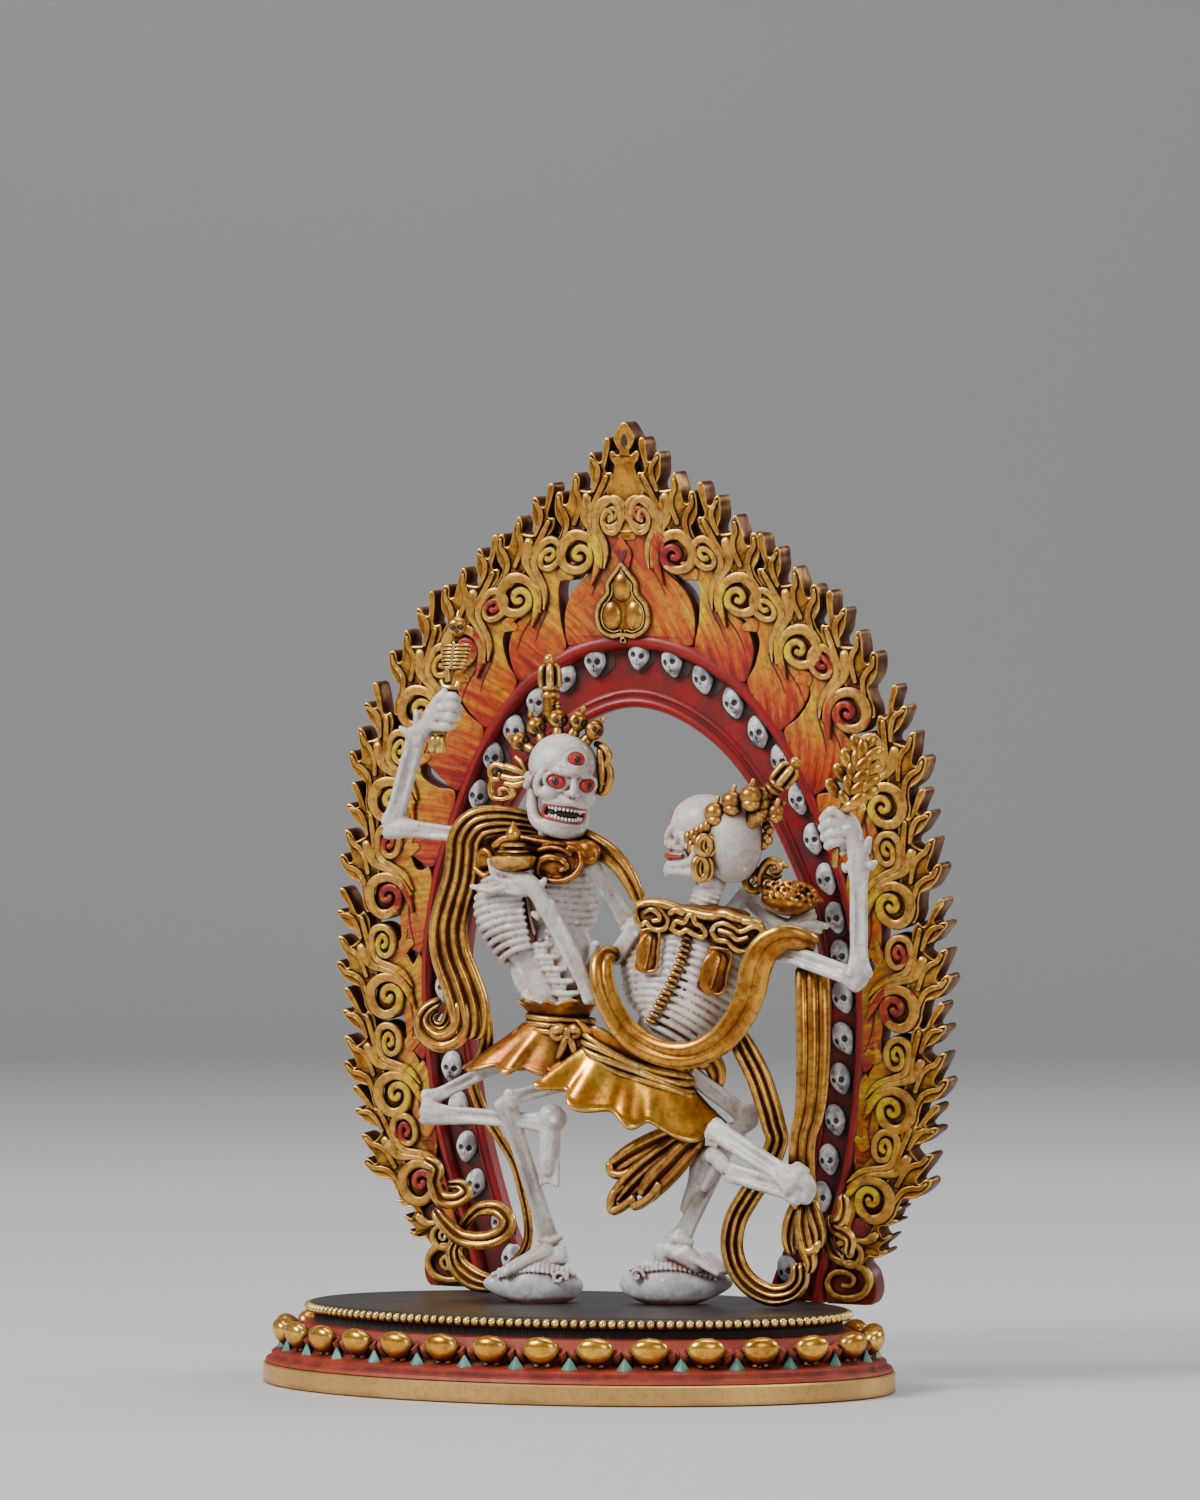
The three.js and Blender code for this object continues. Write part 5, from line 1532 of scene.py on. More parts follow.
for side in (-1, 1):
    # Lids round each eye.
    ring = []
    for step in range(9):
        angle = 2 * math.pi * step / 8
        ring.append((side * 2.45 + 1.75 * math.cos(angle), -4.95 + 0.32 * abs(side * 2.45 + 1.75 * math.cos(angle)) ** 1.3 * 0.42,
                     -2.45 + 1.35 * math.sin(angle) + side * 0.15 * math.cos(angle), 0.36))
    skull_rods.append(ring)
ring = [(1.6 * math.cos(2 * math.pi * k / 8), -5.2, 1.3 + 1.3 * math.sin(2 * math.pi * k / 8), 0.3) for k in range(9)]
skull_rods.append(ring)
male_skull = put(cast_together(skull_domes + [rounded_rods(skull_rods, 10, 4)], 0.17, 2, 45000), male_head)
finish_figure(male_skull, "male_skull", bone_white, "male_dancer")

eye_red = paint(
    "eye_red", (0.62, 0.030, 0.018), (0.50, 0.018, 0.012), (0.2, 0.01, 0.006), (0.75, 0.10, 0.06),
    smooth=0.22, rough=0.35, edge_strength=0.4,
)
pupil_black = paint(
    "pupil_black", (0.012, 0.010, 0.010), (0.02, 0.015, 0.013), (0.004, 0.004, 0.004), (0.05, 0.035, 0.03),
    smooth=0.18, rough=0.3,
)
gum_red = paint(
    "gum_red", (0.42, 0.016, 0.012), (0.32, 0.010, 0.008), (0.12, 0.004, 0.004), (0.6, 0.08, 0.05),
    smooth=0.2, rough=0.35,
)
tooth_white = paint(
    "tooth_white", (0.86, 0.84, 0.79), (0.80, 0.77, 0.70), (0.4, 0.14, 0.08), (0.92, 0.91, 0.88),
    smooth=0.2, rough=0.32, recess_reach=0.0004, wash_strength=0.6,
)
EYES = ((-2.45, -4.35, -2.45, -24), (2.45, -4.35, -2.45, 24), (0, -5.0, 1.3, 0))
whites, reds, pupils = [], [], []
for x, y, z, swing in EYES:
    turn = Matrix.Translation(Vector((x, y, z))) @ Matrix.Rotation(math.radians(swing), 4, "Z")
    reds.append(put(dome((1.55, 0.85, 1.15), (0, 0, 0), 28, 16), turn))
    pupils.append(put(dome((0.55, 0.3, 0.58), (0, -0.7, 0), 20, 12), turn))
finish_figure(put(joined(reds), male_head), "male_eyes", eye_red, "male_dancer")
finish_figure(put(joined(pupils), male_head), "male_pupils", pupil_black, "male_dancer")


def gum_line(front, height, half, drop, radius):
    return [
        (half * math.sin(t), front + (abs(front) * 0.42) * (1 - math.cos(t)), height + drop * (1 - math.cos(t)), radius)
        for t in [math.radians(-72 + 18 * k) for k in range(9)]
    ]


gums = rounded_rods([
    gum_line(-5.15, -6.15, 3.2, 0.15, 0.42), gum_line(-4.75, -8.35, 3.0, 0.6, 0.42),
    [(-3.1, -3.2, -6.2, 0.35), (-3.3, -2.9, -7.2, 0.35), (-3.0, -3.1, -8.1, 0.35)],
    [(3.1, -3.2, -6.2, 0.35), (3.3, -2.9, -7.2, 0.35), (3.0, -3.1, -8.1, 0.35)],
], 10, 4)
finish_figure(put(gums, male_head), "male_gums", gum_red, "male_dancer")
teeth = []
for front, height, half, drop, count, long_tooth in ((-5.4, -6.35, 3.15, 0.15, 12, 0.32), (-5.05, -8.1, 2.9, 0.55, 12, -0.32)):
    for k in range(count):
        t = math.radians(-62 + 124 * k / (count - 1))
        x, y, z = half * math.sin(t), front + abs(front) * 0.42 * (1 - math.cos(t)), height + drop * (1 - math.cos(t))
        big = 1.5 if k in (2, 9) else 1.0
        teeth.append(dome((0.26, 0.24, 0.3 * big), (x, y, z - long_tooth * 0.4 * big), 10, 8))
finish_figure(put(joined(teeth), male_head), "male_teeth", tooth_white, "male_dancer")
# A dark dome fills the open mouth behind the teeth: partly its dark paint, partly painted shade inside it.
mouth = dome((2.9, 2.2, 1.35), (0, -2.6, -7.2), 24, 16)
finish_figure(put(mouth, male_head), "male_mouth", hollow_dark, "male_dancer")


# The male's long scarf lies round the neck, falls in four ridges at the viewer's left, hooks up at its end,
# and a thinner length of it runs on behind the legs and rolls into loops on the plinth.
male_scarf = [
    ribbon([
        (-5, 0.6, 85.1, 1.7), (-8.1, -0.6, 85.8, 1.9), (-11.8, -1.6, 86.2, 2.2), (-15.2, -2.4, 85.6, 2.5), (-17.2, -2.6, 83.4, 2.7),
        (-17.6, -2.6, 80.4, 2.7), (-18.3, -2.2, 76.9, 2.8), (-19.7, -1.6, 73.3, 2.9), (-20.8, -1.2, 69.6, 3.0), (-20.5, -0.8, 65.4, 3.1),
        (-18.9, -0.6, 61.2, 3.2), (-17.8, -0.5, 57.7, 3.3), (-17.5, -0.4, 54.9, 3.0), (-18, -0.2, 52.7, 2.3)], 4, 1.5),
    ribbon([
        (-18.8, -0.9, 58.5, 1.4), (-18.5, -1.1, 55.4, 1.6), (-19.6, -1.3, 53.1, 1.8), (-22.1, -1.4, 52.2, 1.75), (-24.4, -1.3, 53.3, 1.5),
        (-25.5, -1, 55.2, 1.25), (-24.7, -0.6, 57, 1.1), (-22.5, -0.1, 58.4, 0.9)], 2, 1.3),
    ribbon([
        (-20.8, -0.2, 59.2, 0.8), (-21, -0.4, 56.6, 0.9), (-21.9, -0.5, 54.7, 0.9), (-23.3, -0.5, 54.6, 0.8), (-24, -0.4, 55.8, 0.7), (-23.1, -0.2, 56.9, 0.6)], 2, 0.9),
    ribbon([
        (-16.1, 0.2, 58.1, 1.3), (-15.3, 0.4, 54.3, 1.2), (-15.7, 1, 50.4, 1.1), (-18.2, 2, 46.5, 0.95), (-17, 3, 41.5, 0.85),
        (-14.3, 3.4, 37.3, 0.8), (-12, 3.6, 33.5, 0.75), (-10.6, 3.6, 28.9, 0.7), (-9.6, 3.4, 24.7, 0.7), (-9.4, 3, 21.7, 0.75),
        (-10.5, 2.6, 19, 0.85), (-12.4, 2, 17.1, 0.9)], 2, 0.8),
    ribbon([
        (-2.4, 1.6, 84.6, 1.4), (1.3, 0.9, 83.2, 1.6), (4.8, 0.6, 81.3, 1.7), (7.2, 0.8, 79.2, 1.5), (8.9, 1.6, 76.2, 1.3),
        (9.7, 2.6, 73.5, 1.1)], 2, 1.1),
    ribbon([
        (-25.9, 1, 33.9, 0.85), (-23.7, 0.6, 32.6, 1.1), (-23.9, 0.4, 30.3, 1.25), (-22.7, 0.4, 28, 1.35), (-20.3, 0.6, 27.8, 1.3),
        (-18.9, 0.9, 28.9, 1.15), (-19.9, 1.2, 30, 0.95), (-22.1, 1.5, 30.1, 0.7)], 2, 1.2),
    ribbon([
        (-24, 0.6, 26.1, 0.9), (-21.9, 0.2, 23.9, 1.2), (-19.1, 0, 22, 1.35), (-15.3, 0, 21.7, 1.4), (-12.4, 0.2, 22.9, 1.4),
        (-11.6, 0.4, 24.9, 1.35), (-13.5, 0.8, 26.5, 1.25), (-16.6, 1.2, 26.4, 1.1), (-19, 1.6, 24.6, 0.9), (-20.4, 2, 22.3, 0.7)], 2, 1.2),
    ribbon([
        (-20.1, 0.8, 21.6, 0.9), (-20.7, 0.4, 19.7, 1.3), (-19.8, 0.2, 17.6, 1.6), (-17.4, 0, 15.9, 1.8), (-14.6, 0, 15.2, 1.5),
        (-12.9, 0.3, 15.7, 1.0)], 3, 1.3),
]
finish_figure(joined(male_scarf), "male_scarf", gold_paint, "male_dancer", angle=0)

# The skirt hangs from a frilled waist, tied with a cord and a bow.
copper_gold = paint(
    "copper_gold", (0.56, 0.23, 0.035), (0.32, 0.09, 0.010), (0.045, 0.009, 0.002), (1.0, 0.58, 0.15),
    metal=0.8, smooth=0.24, rough=0.42, recess_reach=0.0022, patch_size=200, wash_strength=1.1, mottle=0.45,
)
male_skirt = [
    skirt_shell(
        ((-3.9, 0.6, 55), 4.9, 3.6, -0.04), ((-8.5, 0.2, 48.4), 9.6, 5.6, -0.06), 7, 0.1, 1.15, wave=1.0
    ),
    skirt_shell(
        ((-2.8, 0.6, 55.6), 4.4, 3.2, -0.02), ((-2.4, 0.2, 58), 6.6, 4.6, 0.02), 9, 0.09, 1.5, wave=-0.8, rows=12
    ),
]
sash = []
for drop in (0.0, 0.95, 1.9):
    loop = []
    for step in range(13):
        angle = 2 * math.pi * step / 12
        loop.append(tuple(
            Vector((-2.7, 0.6, 53.9)) + Vector((5.2 * math.sin(angle), -3.9 * math.cos(angle), drop - 0.25 * math.sin(angle) * 1.6))
        ) + (0.52,))
    sash.append(loop)
bow = [
    [(0.3, -3.6, 53.8, 0.8), (-0.6, -4.2, 54.4, 0.9), (-1.7, -4.2, 53.8, 0.8), (-0.9, -4.1, 53, 0.6), (0.4, -4, 53.5, 0.5)],
    [(0.4, -3.6, 53.8, 0.8), (1.9, -4.2, 54.4, 0.9), (2.6, -4, 53.8, 0.7), (1.7, -4.1, 53.2, 0.6), (0.7, -4, 53.6, 0.5)],
    [(0.6, -4.2, 53.5, 0.6), (0.1, -4.4, 51.8, 0.7), (-0.6, -4.3, 50.2, 0.6)], [(0.8, -4.2, 53.5, 0.6), (1.6, -4.4, 52, 0.7), (1.9, -4.2, 50.8, 0.6)],
    [(0.8, -4.5, 54.2, 0.7), (0.8, -4.5, 53.3, 0.7)],
]
male_skirt.append(rounded_rods(sash + bow, 10, 4))
finish_figure(joined(male_skirt), "male_skirt", copper_gold, "male_dancer", angle=0)

# The cloud collar over the chest, with a C scroll, and the lidded bowl in the upturned hand.
collar = [
    dome((10.0, 3.0, 2.6), (-7.2, 0.6, 81.9), 40, 20), dome((4.0, 1.6, 2.3), (-1.3, -2.6, 78.9), 28, 16),
    dome((3.2, 1.5, 2.2), (-14.9, -1.4, 80.4), 24, 14), dome((2.6, 1.4, 2.0), (2.4, -1.6, 81.2), 24, 14),
    rounded_rods([
        [(-4.8, -4, 77.9, 0.45), (-3, -4.3, 77.1, 0.5), (-0.5, -4.4, 76.8, 0.5), (1.6, -4, 77.6, 0.5), (2.6, -3.4, 79.3, 0.5), (2.2, -3, 81.2, 0.45)],
        [(-4.4, -4.2, 78.2, 0.5), (-3.9, -4.3, 79.8, 0.55), (-2.2, -4.4, 80.5, 0.55), (-0.1, -4.3, 80, 0.5), (0.7, -4.1, 78.9, 0.45), (-0.4, -4.2, 78.5, 0.4)],
        [(-15.5, -2.6, 78.7, 0.5), (-13.7, -2.9, 77.6, 0.5), (-12.5, -2.9, 78.7, 0.5), (-12.7, -2.9, 80.4, 0.55), (-13.8, -2.7, 81.5, 0.5), (-14.9, -2.6, 80.8, 0.45)],
        [(-12.2, -2.6, 82.3, 0.6), (-10.5, -2.6, 83.3, 0.6), (-8, -2.6, 83.4, 0.6), (-5.1, -2.6, 82.9, 0.6), (-2.1, -2.6, 82.7, 0.6), (1.1, -2.4, 82.5, 0.6), (3.8, -1.8, 81.5, 0.6)],
        [(0.5, -2.9, 81.9, 0.6), (2.1, -2.8, 81.4, 0.6), (2.5, -2.8, 80, 0.55), (4, -2.3, 79.8, 0.6), (4.4, -1.9, 81, 0.5)],
        [(-4.4, -3.2, 81.5, 0.5), (-2.6, -3.3, 81.9, 0.5), (-0.6, -3.3, 81.6, 0.5), (0.7, -3.3, 80.8, 0.45)],
    ], 10, 4),
]
male_collar = cast_together(collar, 0.2, 1, 25000)
finish_figure(male_collar, "male_cloud_collar", copper_gold, "male_dancer")
bowl = put(turned_profile([
    (0.9, -1.1), (2.2, -0.9), (3.2, -0.2), (3.55, 0.7), (3.6, 1.15), (3.3, 1.35), (2.4, 1.45), (2.3, 1.7), (2.45, 1.95),
    (2.2, 2.2), (1.5, 2.3), (1.4, 2.55), (1.95, 2.8), (1.95, 3.1), (1.5, 3.35), (0.85, 3.45), (0.8, 3.7), (1.05, 4.1),
    (1.2, 4.6), (1.05, 5.2), (0.6, 5.8), (0.25, 6.3), (0.08, 6.6)], 40), Matrix.Translation(Vector((-7.7, -5.6, 79.3))))
finish_figure(bowl, "male_lidded_bowl", gold_paint, "male_dancer", angle=50)


# Five little gilt skulls stand in the crown, with a leaf over each, before a topknot like a thunderbolt.
def gilt_skull(size):
    """A small gilt skull that looks along minus Y, about its own middle."""
    bpy.ops.mesh.primitive_uv_sphere_add(segments=24, ring_count=18, radius=0.001)
    made = bpy.context.object
    for vertex in made.data.vertices:
        x, y, z = vertex.co * 1000
        jaw = max(0.0, -z - 0.1)
        vertex.co = Vector((x * (1.4 - 0.65 * jaw), y * (1.2 - 0.2 * jaw), z * 1.55)) * size / 1000
    made.data.update()
    return moulded(made, [
        (-0.55 * size, -1.15 * size, 0.0, 0.55 * size, -0.5 * size, 1.0), (0.55 * size, -1.15 * size, 0.0, 0.55 * size, -0.5 * size, 1.0),
        (0, -1.2 * size, -0.6 * size, 0.32 * size, -0.25 * size, 0.9), (0, -1.0 * size, -1.1 * size, 0.3 * size, -0.15 * size, 0.5),
        (-0.4 * size, -0.95 * size, -1.05 * size, 0.25 * size, -0.12 * size, 0.5), (0.4 * size, -0.95 * size, -1.05 * size, 0.25 * size, -0.12 * size, 0.5),
        (-0.85 * size, -0.8 * size, -0.5 * size, 0.4 * size, 0.15 * size, 0.0), (0.85 * size, -0.8 * size, -0.5 * size, 0.4 * size, 0.15 * size, 0.0),
    ])


dark_dots = []


def socket_dots(turn, size):
    """The dark fill of the eyes and the nose of a gilt skull: partly a dark wash, partly painted shade."""
    return [
        put(dome((wide * size, 0.22 * size, tall * size), (x * size, y * size, z * size), 12, 8), turn)
        for x, y, z, wide, tall in ((-0.56, -0.84, 0.0, 0.4, 0.42), (0.56, -0.84, 0.0, 0.4, 0.42), (0, -1.02, -0.62, 0.18, 0.28))
    ]


def crown_skull(spot, tip, facing, lean, size=1.12):
    turn = (
        Matrix.Translation(Vector(spot)) @ Matrix.Rotation(math.radians(facing), 4, "Z")
        @ Matrix.Rotation(math.radians(lean), 4, "Y")
    )
    root_spot, point = Vector(spot), Vector(tip)
    way = (point - root_spot).normalized()
    leaf = rounded_rods([[
        (*(root_spot + way * 1.3 * size), 0.3), (*(root_spot + way * 2.1 * size), 0.45), (*(point), 0.4),
        (*(point + way * 0.5), 0.12),
    ], [(*(root_spot - way * 1.5), 0.9), (*(root_spot - way * 2.4), 1.0)]], 10, 4)
    dark_dots.extend(socket_dots(turn, size))
    return [put(gilt_skull(size), turn), leaf]


def thunderbolt(foot, way, size=1.0):
    """A ribbed shaft with a ring, a lantern of four curved prongs, and a ball tip, along a direction."""
    turn = Matrix.Translation(Vector(foot)) @ Vector((0, 0, 1)).rotation_difference(Vector(way)).to_matrix().to_4x4()
    shaft = turned_profile([(r * size, h * size) for r, h in [
        (1.2, -1.0), (1.15, 0.2), (1.3, 0.5), (1.1, 0.8), (1.3, 1.1), (1.1, 1.4), (1.3, 1.7), (1.1, 2.0), (1.35, 2.3), (1.1, 2.6),
        (1.45, 2.9), (1.5, 3.3), (1.35, 3.6), (1.1, 3.8), (1.45, 4.05), (1.5, 4.4), (1.0, 4.7), (0.75, 4.9), (0.75, 7.3),
        (0.75, 7.9), (0.95, 8.4), (0.9, 9.0), (0.6, 9.4), (0.1, 9.6)]], 24)
    prongs = []
    for k in range(4):
        angle = math.radians(24 + 90 * k)
        c, s = math.cos(angle) * size, math.sin(angle) * size
        prongs.append([(0.9 * c, 0.9 * s, 4.5 * size, 0.6 * size), (1.22 * c, 1.22 * s, 5.0 * size, 0.62 * size),
                       (1.22 * c, 1.22 * s, 6.9 * size, 0.6 * size), (1.0 * c, 1.0 * s, 7.5 * size, 0.5 * size), (0.4 * c, 0.4 * s, 7.9 * size, 0.4 * size)])
    return [put(shaft, turn), put(rounded_rods(prongs, 8, 4), turn)]


crown_parts = []
for spot, tip, facing, lean in (
    ((-9.1, 0.2, 97.9), (-11.3, 0.4, 99.1), 40, -32), ((-6.4, 0.2, 100.2), (-7.6, 0.4, 102.4), 40, -16),
    ((-2.8, 0.2, 101.3), (-2.9, 0.4, 103.7), 40, 0), ((0.3, 0.6, 101), (1.2, 0.8, 103.3), 46, 14),
    ((2.7, 1.2, 99.7), (4, 1.4, 101.3), 55, 30),
):
    crown_parts += crown_skull(spot, tip, facing, lean)
crown_parts += thunderbolt((-4.7, 1.6, 102), (-0.03, 0.02, 1), 1.0)
# The ear ornaments: a fan of rods and a double scroll at the viewer's left, leaves at the right.
crown_parts.append(rounded_rods([
    [(-7.2, -1.6, 93.3, 0.5), (-8.1, -1.4, 94.7, 0.6), (-9.1, -1.2, 95.6, 0.5)],
    [(-7.5, -1.8, 93.2, 0.5), (-9.2, -1.8, 93.8, 0.62), (-10.7, -1.6, 94.3, 0.55)],
    [(-7.5, -1.9, 92.6, 0.45), (-9.3, -1.9, 92.4, 0.6), (-11.1, -1.8, 92.8, 0.5)],
    [(-7.5, -1.8, 92, 0.4), (-9.1, -1.8, 91.5, 0.5), (-10.7, -1.7, 91.7, 0.45)],
    [(-11, -1.4, 94.1, 0.5), (-12.6, -1.2, 94.6, 0.5), (-13.6, -1.2, 93.8, 0.5), (-13.2, -1.2, 92.6, 0.48), (-12.1, -1.3, 92.4, 0.42), (-11.9, -1.4, 93.2, 0.35)],
    [(-13.2, -1.1, 92.6, 0.5), (-13.6, -1.1, 91.1, 0.5), (-13.1, -1.1, 89.6, 0.5), (-11.4, -1.2, 89.3, 0.5), (-10, -1.3, 89.9, 0.48),
     (-10.6, -1.4, 90.9, 0.42), (-11.9, -1.4, 90.8, 0.38), (-11.8, -1.5, 90, 0.32)],
    [(-10.2, -1.5, 91.7, 0.45), (-9.6, -1.4, 90.3, 0.4), (-10.3, -1.3, 89.5, 0.4)],
], 10, 4))
finish_figure(joined(crown_parts), "male_crown_and_earrings", gold_paint, "male_dancer", angle=0)
far_earring = rounded_rods([
    [(2.8, 2, 97.7, 0.5), (3.9, 1.8, 97.2, 0.6), (5, 1.6, 96, 0.6), (4.6, 1.6, 94.7, 0.55), (3.9, 1.4, 94.9, 0.5), (4, 1.3, 95.7, 0.4)],
    [(3.6, 1.4, 94.9, 0.6), (5, 1.6, 94.1, 0.6), (5.2, 1.6, 92.2, 0.65), (4.4, 1.6, 90.3, 0.6), (3.6, 1.5, 90.4, 0.5), (3.9, 1.4, 91.4, 0.45), (4.4, 1.4, 91.7, 0.35)],
    [(3.6, 1.6, 96.4, 0.6), (3.9, 1.4, 93.7, 0.8), (3.9, 1.4, 91.8, 0.6)],
], 10, 4)
finish_figure(far_earring, "male_far_earring", copper_gold, "male_dancer", angle=0)
button = dome((0.95, 0.9, 0.95), (-6.3, -2.6, 92.7), 18, 12)
finish_figure(button, "male_ear_button", bone_white, "male_dancer")

# The gilt club in the raised fist is a little skeleton with a pointed cap and a knobbed end.
club_foot, club_head = Vector((-22.2, -1, 100)), Vector((-19.2, -1.2, 115.7))
club_turn = Matrix.Translation(club_head) @ Matrix.Rotation(math.radians(24), 4, "Z")
club_parts = [put(gilt_skull(1.1), club_turn)]
finish_figure(joined(dark_dots + socket_dots(club_turn, 1.1)), "male_gilt_sockets", hollow_dark, "male_dancer", angle=0)
club_rods = [
    [(-19, -1.2, 116.6, 0.6), (-18.9, -1.2, 117.6, 0.45), (-18.9, -1.2, 118.3, 0.15)], [(-19.6, -0.9, 114.1, 0.6), (-20.8, -0.9, 107.1, 0.55)],
    [(-19.4, -1.9, 113.2, 0.3), (-19.9, -1.9, 109.9, 0.3)], [(-20.7, -1.4, 109.2, 0.5), (-20.6, -1.4, 107.6, 0.5)],
    [(-21.7, -1.3, 107.4, 0.45), (-21.2, -1.5, 106.6, 0.6), (-20.2, -1.6, 106.4, 0.6), (-19.3, -1.4, 106.4, 0.55), (-19, -1.2, 107.2, 0.45)],
    [(-22.3, -0.8, 101.5, 0.9), (-22.6, -1, 98.4, 0.85)], [(-23, -1.2, 98.4, 0.95), (-23.3, -1.2, 97.2, 0.9)], [(-22.1, -1.2, 98.4, 0.95), (-22.1, -1.2, 97, 0.9)],
]
for rib in range(7):
    share = rib / 6
    top = Vector((-19.4, -1.8, 112.9)).lerp(Vector((-19.9, -1.8, 109.5)), share)
    for side in (-1, 1):
        w = (2.15, 2.25, 2.25, 2.2, 2.1, 2.0, 1.8)[rib]
        club_rods.append([
            (*top, 0.24), (top.x + side * w * 0.6, top.y + 0.2, top.z + 0.12, 0.24),
            (top.x + side * w, top.y + 1.0, top.z + 0.02, 0.24), (top.x + side * w * 0.7, top.y + 2.0, top.z - 0.05, 0.2),
        ])
club_parts += [rounded_rods(club_rods, 8, 4), dome((1.5, 0.9, 2.1), (-20.2, -0.8, 111.1), 20, 12)]
finish_figure(joined(club_parts), "male_skeleton_club", gold_paint, "male_dancer", angle=0)


# The female's skeleton. Her back is turned, so the beads of the spine show, with ribs to both sides.
SPINE = [(345, 125), (340, 165), (328, 210), (312, 255), (292, 300), (270, 345), (248, 388), (226, 428), (200, 475)]
female_bones = []
female_bones += long_bone((33, -1, 66.9), (47.7, -3, 62.4), 1.45, 1.6, 1.9)
female_bones += long_bone((47.7, -3, 63.3), (47.1, -1.4, 79.3), 1.35, 1.9, 1.7)
female_bones += [
    # The flared ends of the wrist bones, the back of the hand and four rolled fingers round the stalk.
    [(45.2, -1.6, 78.8, 0.7), (44.8, -1.6, 79.3, 0.5)], [(49.2, -1.6, 79.3, 0.8), (49.8, -1.6, 79.7, 0.45)],
    [(47.3, -1.4, 79.3, 1.6), (46.7, -1.3, 81.9, 1.6), (46.1, -1.3, 83.1, 1.4)], [(48.2, -1.2, 81.6, 0.8), (48.7, -1.2, 83.2, 0.5)],
    [(44.6, -1.6, 81.2, 0.7), (44.2, -1.6, 81.7, 0.45)],
    [(46.7, -1.3, 82.7, 1.3), (45.4, -1.2, 84.9, 1.9), (44, -1.2, 86.4, 1.7)], [(44.8, -1.2, 82.7, 1.4), (43.6, -1.2, 84.9, 1.5)],
    [(44.8, -2.2, 86.4, 0.8), (43.5, -2.8, 87.4, 0.85), (42, -2.6, 86.2, 0.8)], [(44.9, -2.4, 85.3, 0.8), (43.4, -3.1, 85.7, 0.85), (41.9, -2.8, 84.9, 0.75)],
    [(44.9, -2.4, 84.1, 0.8), (43.6, -3.1, 84.1, 0.85), (42.2, -2.8, 83.5, 0.75)], [(44.9, -2.3, 82.9, 0.75), (43.7, -2.9, 82.7, 0.8), (42.6, -2.5, 82.2, 0.7)],
    [(45.3, -2.4, 85.7, 0.7), (44.6, -2.7, 87, 0.6), (43, -2.2, 87.6, 0.5)],
]
female_bones += [
    # The left arm goes back from the shoulder and its hand comes under the bowl.
    [(22.5, 2.6, 70.4, 1.4), (24.2, 4.4, 72.4, 1.3), (26, 6, 74.9, 1.4)],
    [(26.2, 6, 74.7, 1.5), (27.6, 5.6, 73, 1.25), (30.2, 4.8, 71.1, 1.2), (33, 4, 70, 1.3), (35.2, 3.6, 69.9, 1.4)],
    [(27.6, 5.2, 73.6, 0.5), (30.4, 4.2, 71.7, 0.5), (32.9, 3.2, 70.7, 0.6)],
    [(34.8, 3.4, 70.4, 1.2), (36.6, 3, 71.2, 0.9), (38.1, 2.8, 71.6, 0.6)], [(35.3, 3.2, 70, 1.1), (37.7, 2.8, 70.4, 0.75), (40.2, 2.6, 70.1, 0.5)],
    [(34.8, 3.4, 70.8, 1.0), (36.4, 3, 72.1, 0.6), (37.9, 2.8, 72.5, 0.5)], [(35.4, 3.4, 69.7, 0.9), (37.4, 3, 69.7, 0.6), (39.1, 2.8, 69.3, 0.4)],
    # The other shoulder and what shows of the arm at the viewer's left.
    [(6, 1.5, 65.2, 1.3), (8, 0.8, 67.5, 1.3), (9.8, 0.4, 69.8, 1.4)], [(6.9, 0.8, 64.8, 0.6), (9.2, 0, 67.3, 0.6), (10.6, -0.4, 69, 0.6)],
    [(9.7, 0.6, 69.8, 1.6), (18.8, 0.6, 70.6, 1.6), (28.9, 0, 68, 1.6), (33.3, -0.8, 66.9, 1.5)],
    # The ringed neck.
    [(22.9, 0.3, 77, 2.0), (22.2, 0.6, 75.5, 1.9), (21.4, 0.9, 73.6, 1.95), (20.6, 1.2, 71.7, 2.0)],
]
for ring_row in range(5):
    share = ring_row / 4
    middle = Vector((22.2, 0.6, 75.8)).lerp(Vector((21, 1, 72.5)), share)
    female_bones.append([(*(middle + Vector((-1.75, -1.0, 0.5))), 0.42), (*(middle + Vector((0, -1.75, 0))), 0.5), (*(middle + Vector((1.85, -1.0, -0.6))), 0.42)])
for row in range(13):
    share = row / 12
    spot = share * (len(SPINE) - 1)
    i = min(int(spot), len(SPINE) - 2)
    sx = SPINE[i][0] + (SPINE[i + 1][0] - SPINE[i][0]) * (spot - i)
    sy = SPINE[i][1] + (SPINE[i + 1][1] - SPINE[i][1]) * (spot - i) + 18
    # A rib leaves the spine, bulges towards the viewer and goes round the side of the cage.
    left_x, right_x = 138 - 48 * math.sin(math.pi * min(1, share * 1.15)) + 45 * max(0, share - 0.8) * 5, 600 - 205 * share ** 1.35
    left_y, right_y = sy + 22 - 30 * share, sy + (right_x - sx) * (0.44 + 0.16 * share)
    for end_x, end_y, near in ((left_x, left_y, -1.2), (right_x, right_y, -1.4)):
        path = []
        for k, (part, depth, swell) in enumerate(((0.02, -2.6, 0.42), (0.3, -2.7, 0.52), (0.6, -2.0, 0.54), (0.86, -0.3, 0.54), (1.0, 2.0, 0.5), (0.9, 4.6, 0.45))):
            px, py = sx + (end_x - sx) * part, sy + (end_y - sy) * part - 10 * math.sin(math.pi * part)
            z = (1385 - (900 + py / 4)) / 6.56
            y = depth + 0.7
            path.append(((600 + px / 4 - 574.5) / 6.0 - 0.445 * y, y, z, swell * 1.04))
        female_bones.append(path)
female_bones.append([(*Vector(((600 + px / 4 - 574.5) / 6.0 + 0.445 * 1.6, -1.6, (1385 - (900 + py / 4)) / 6.56)), 1.1) for px, py in SPINE])
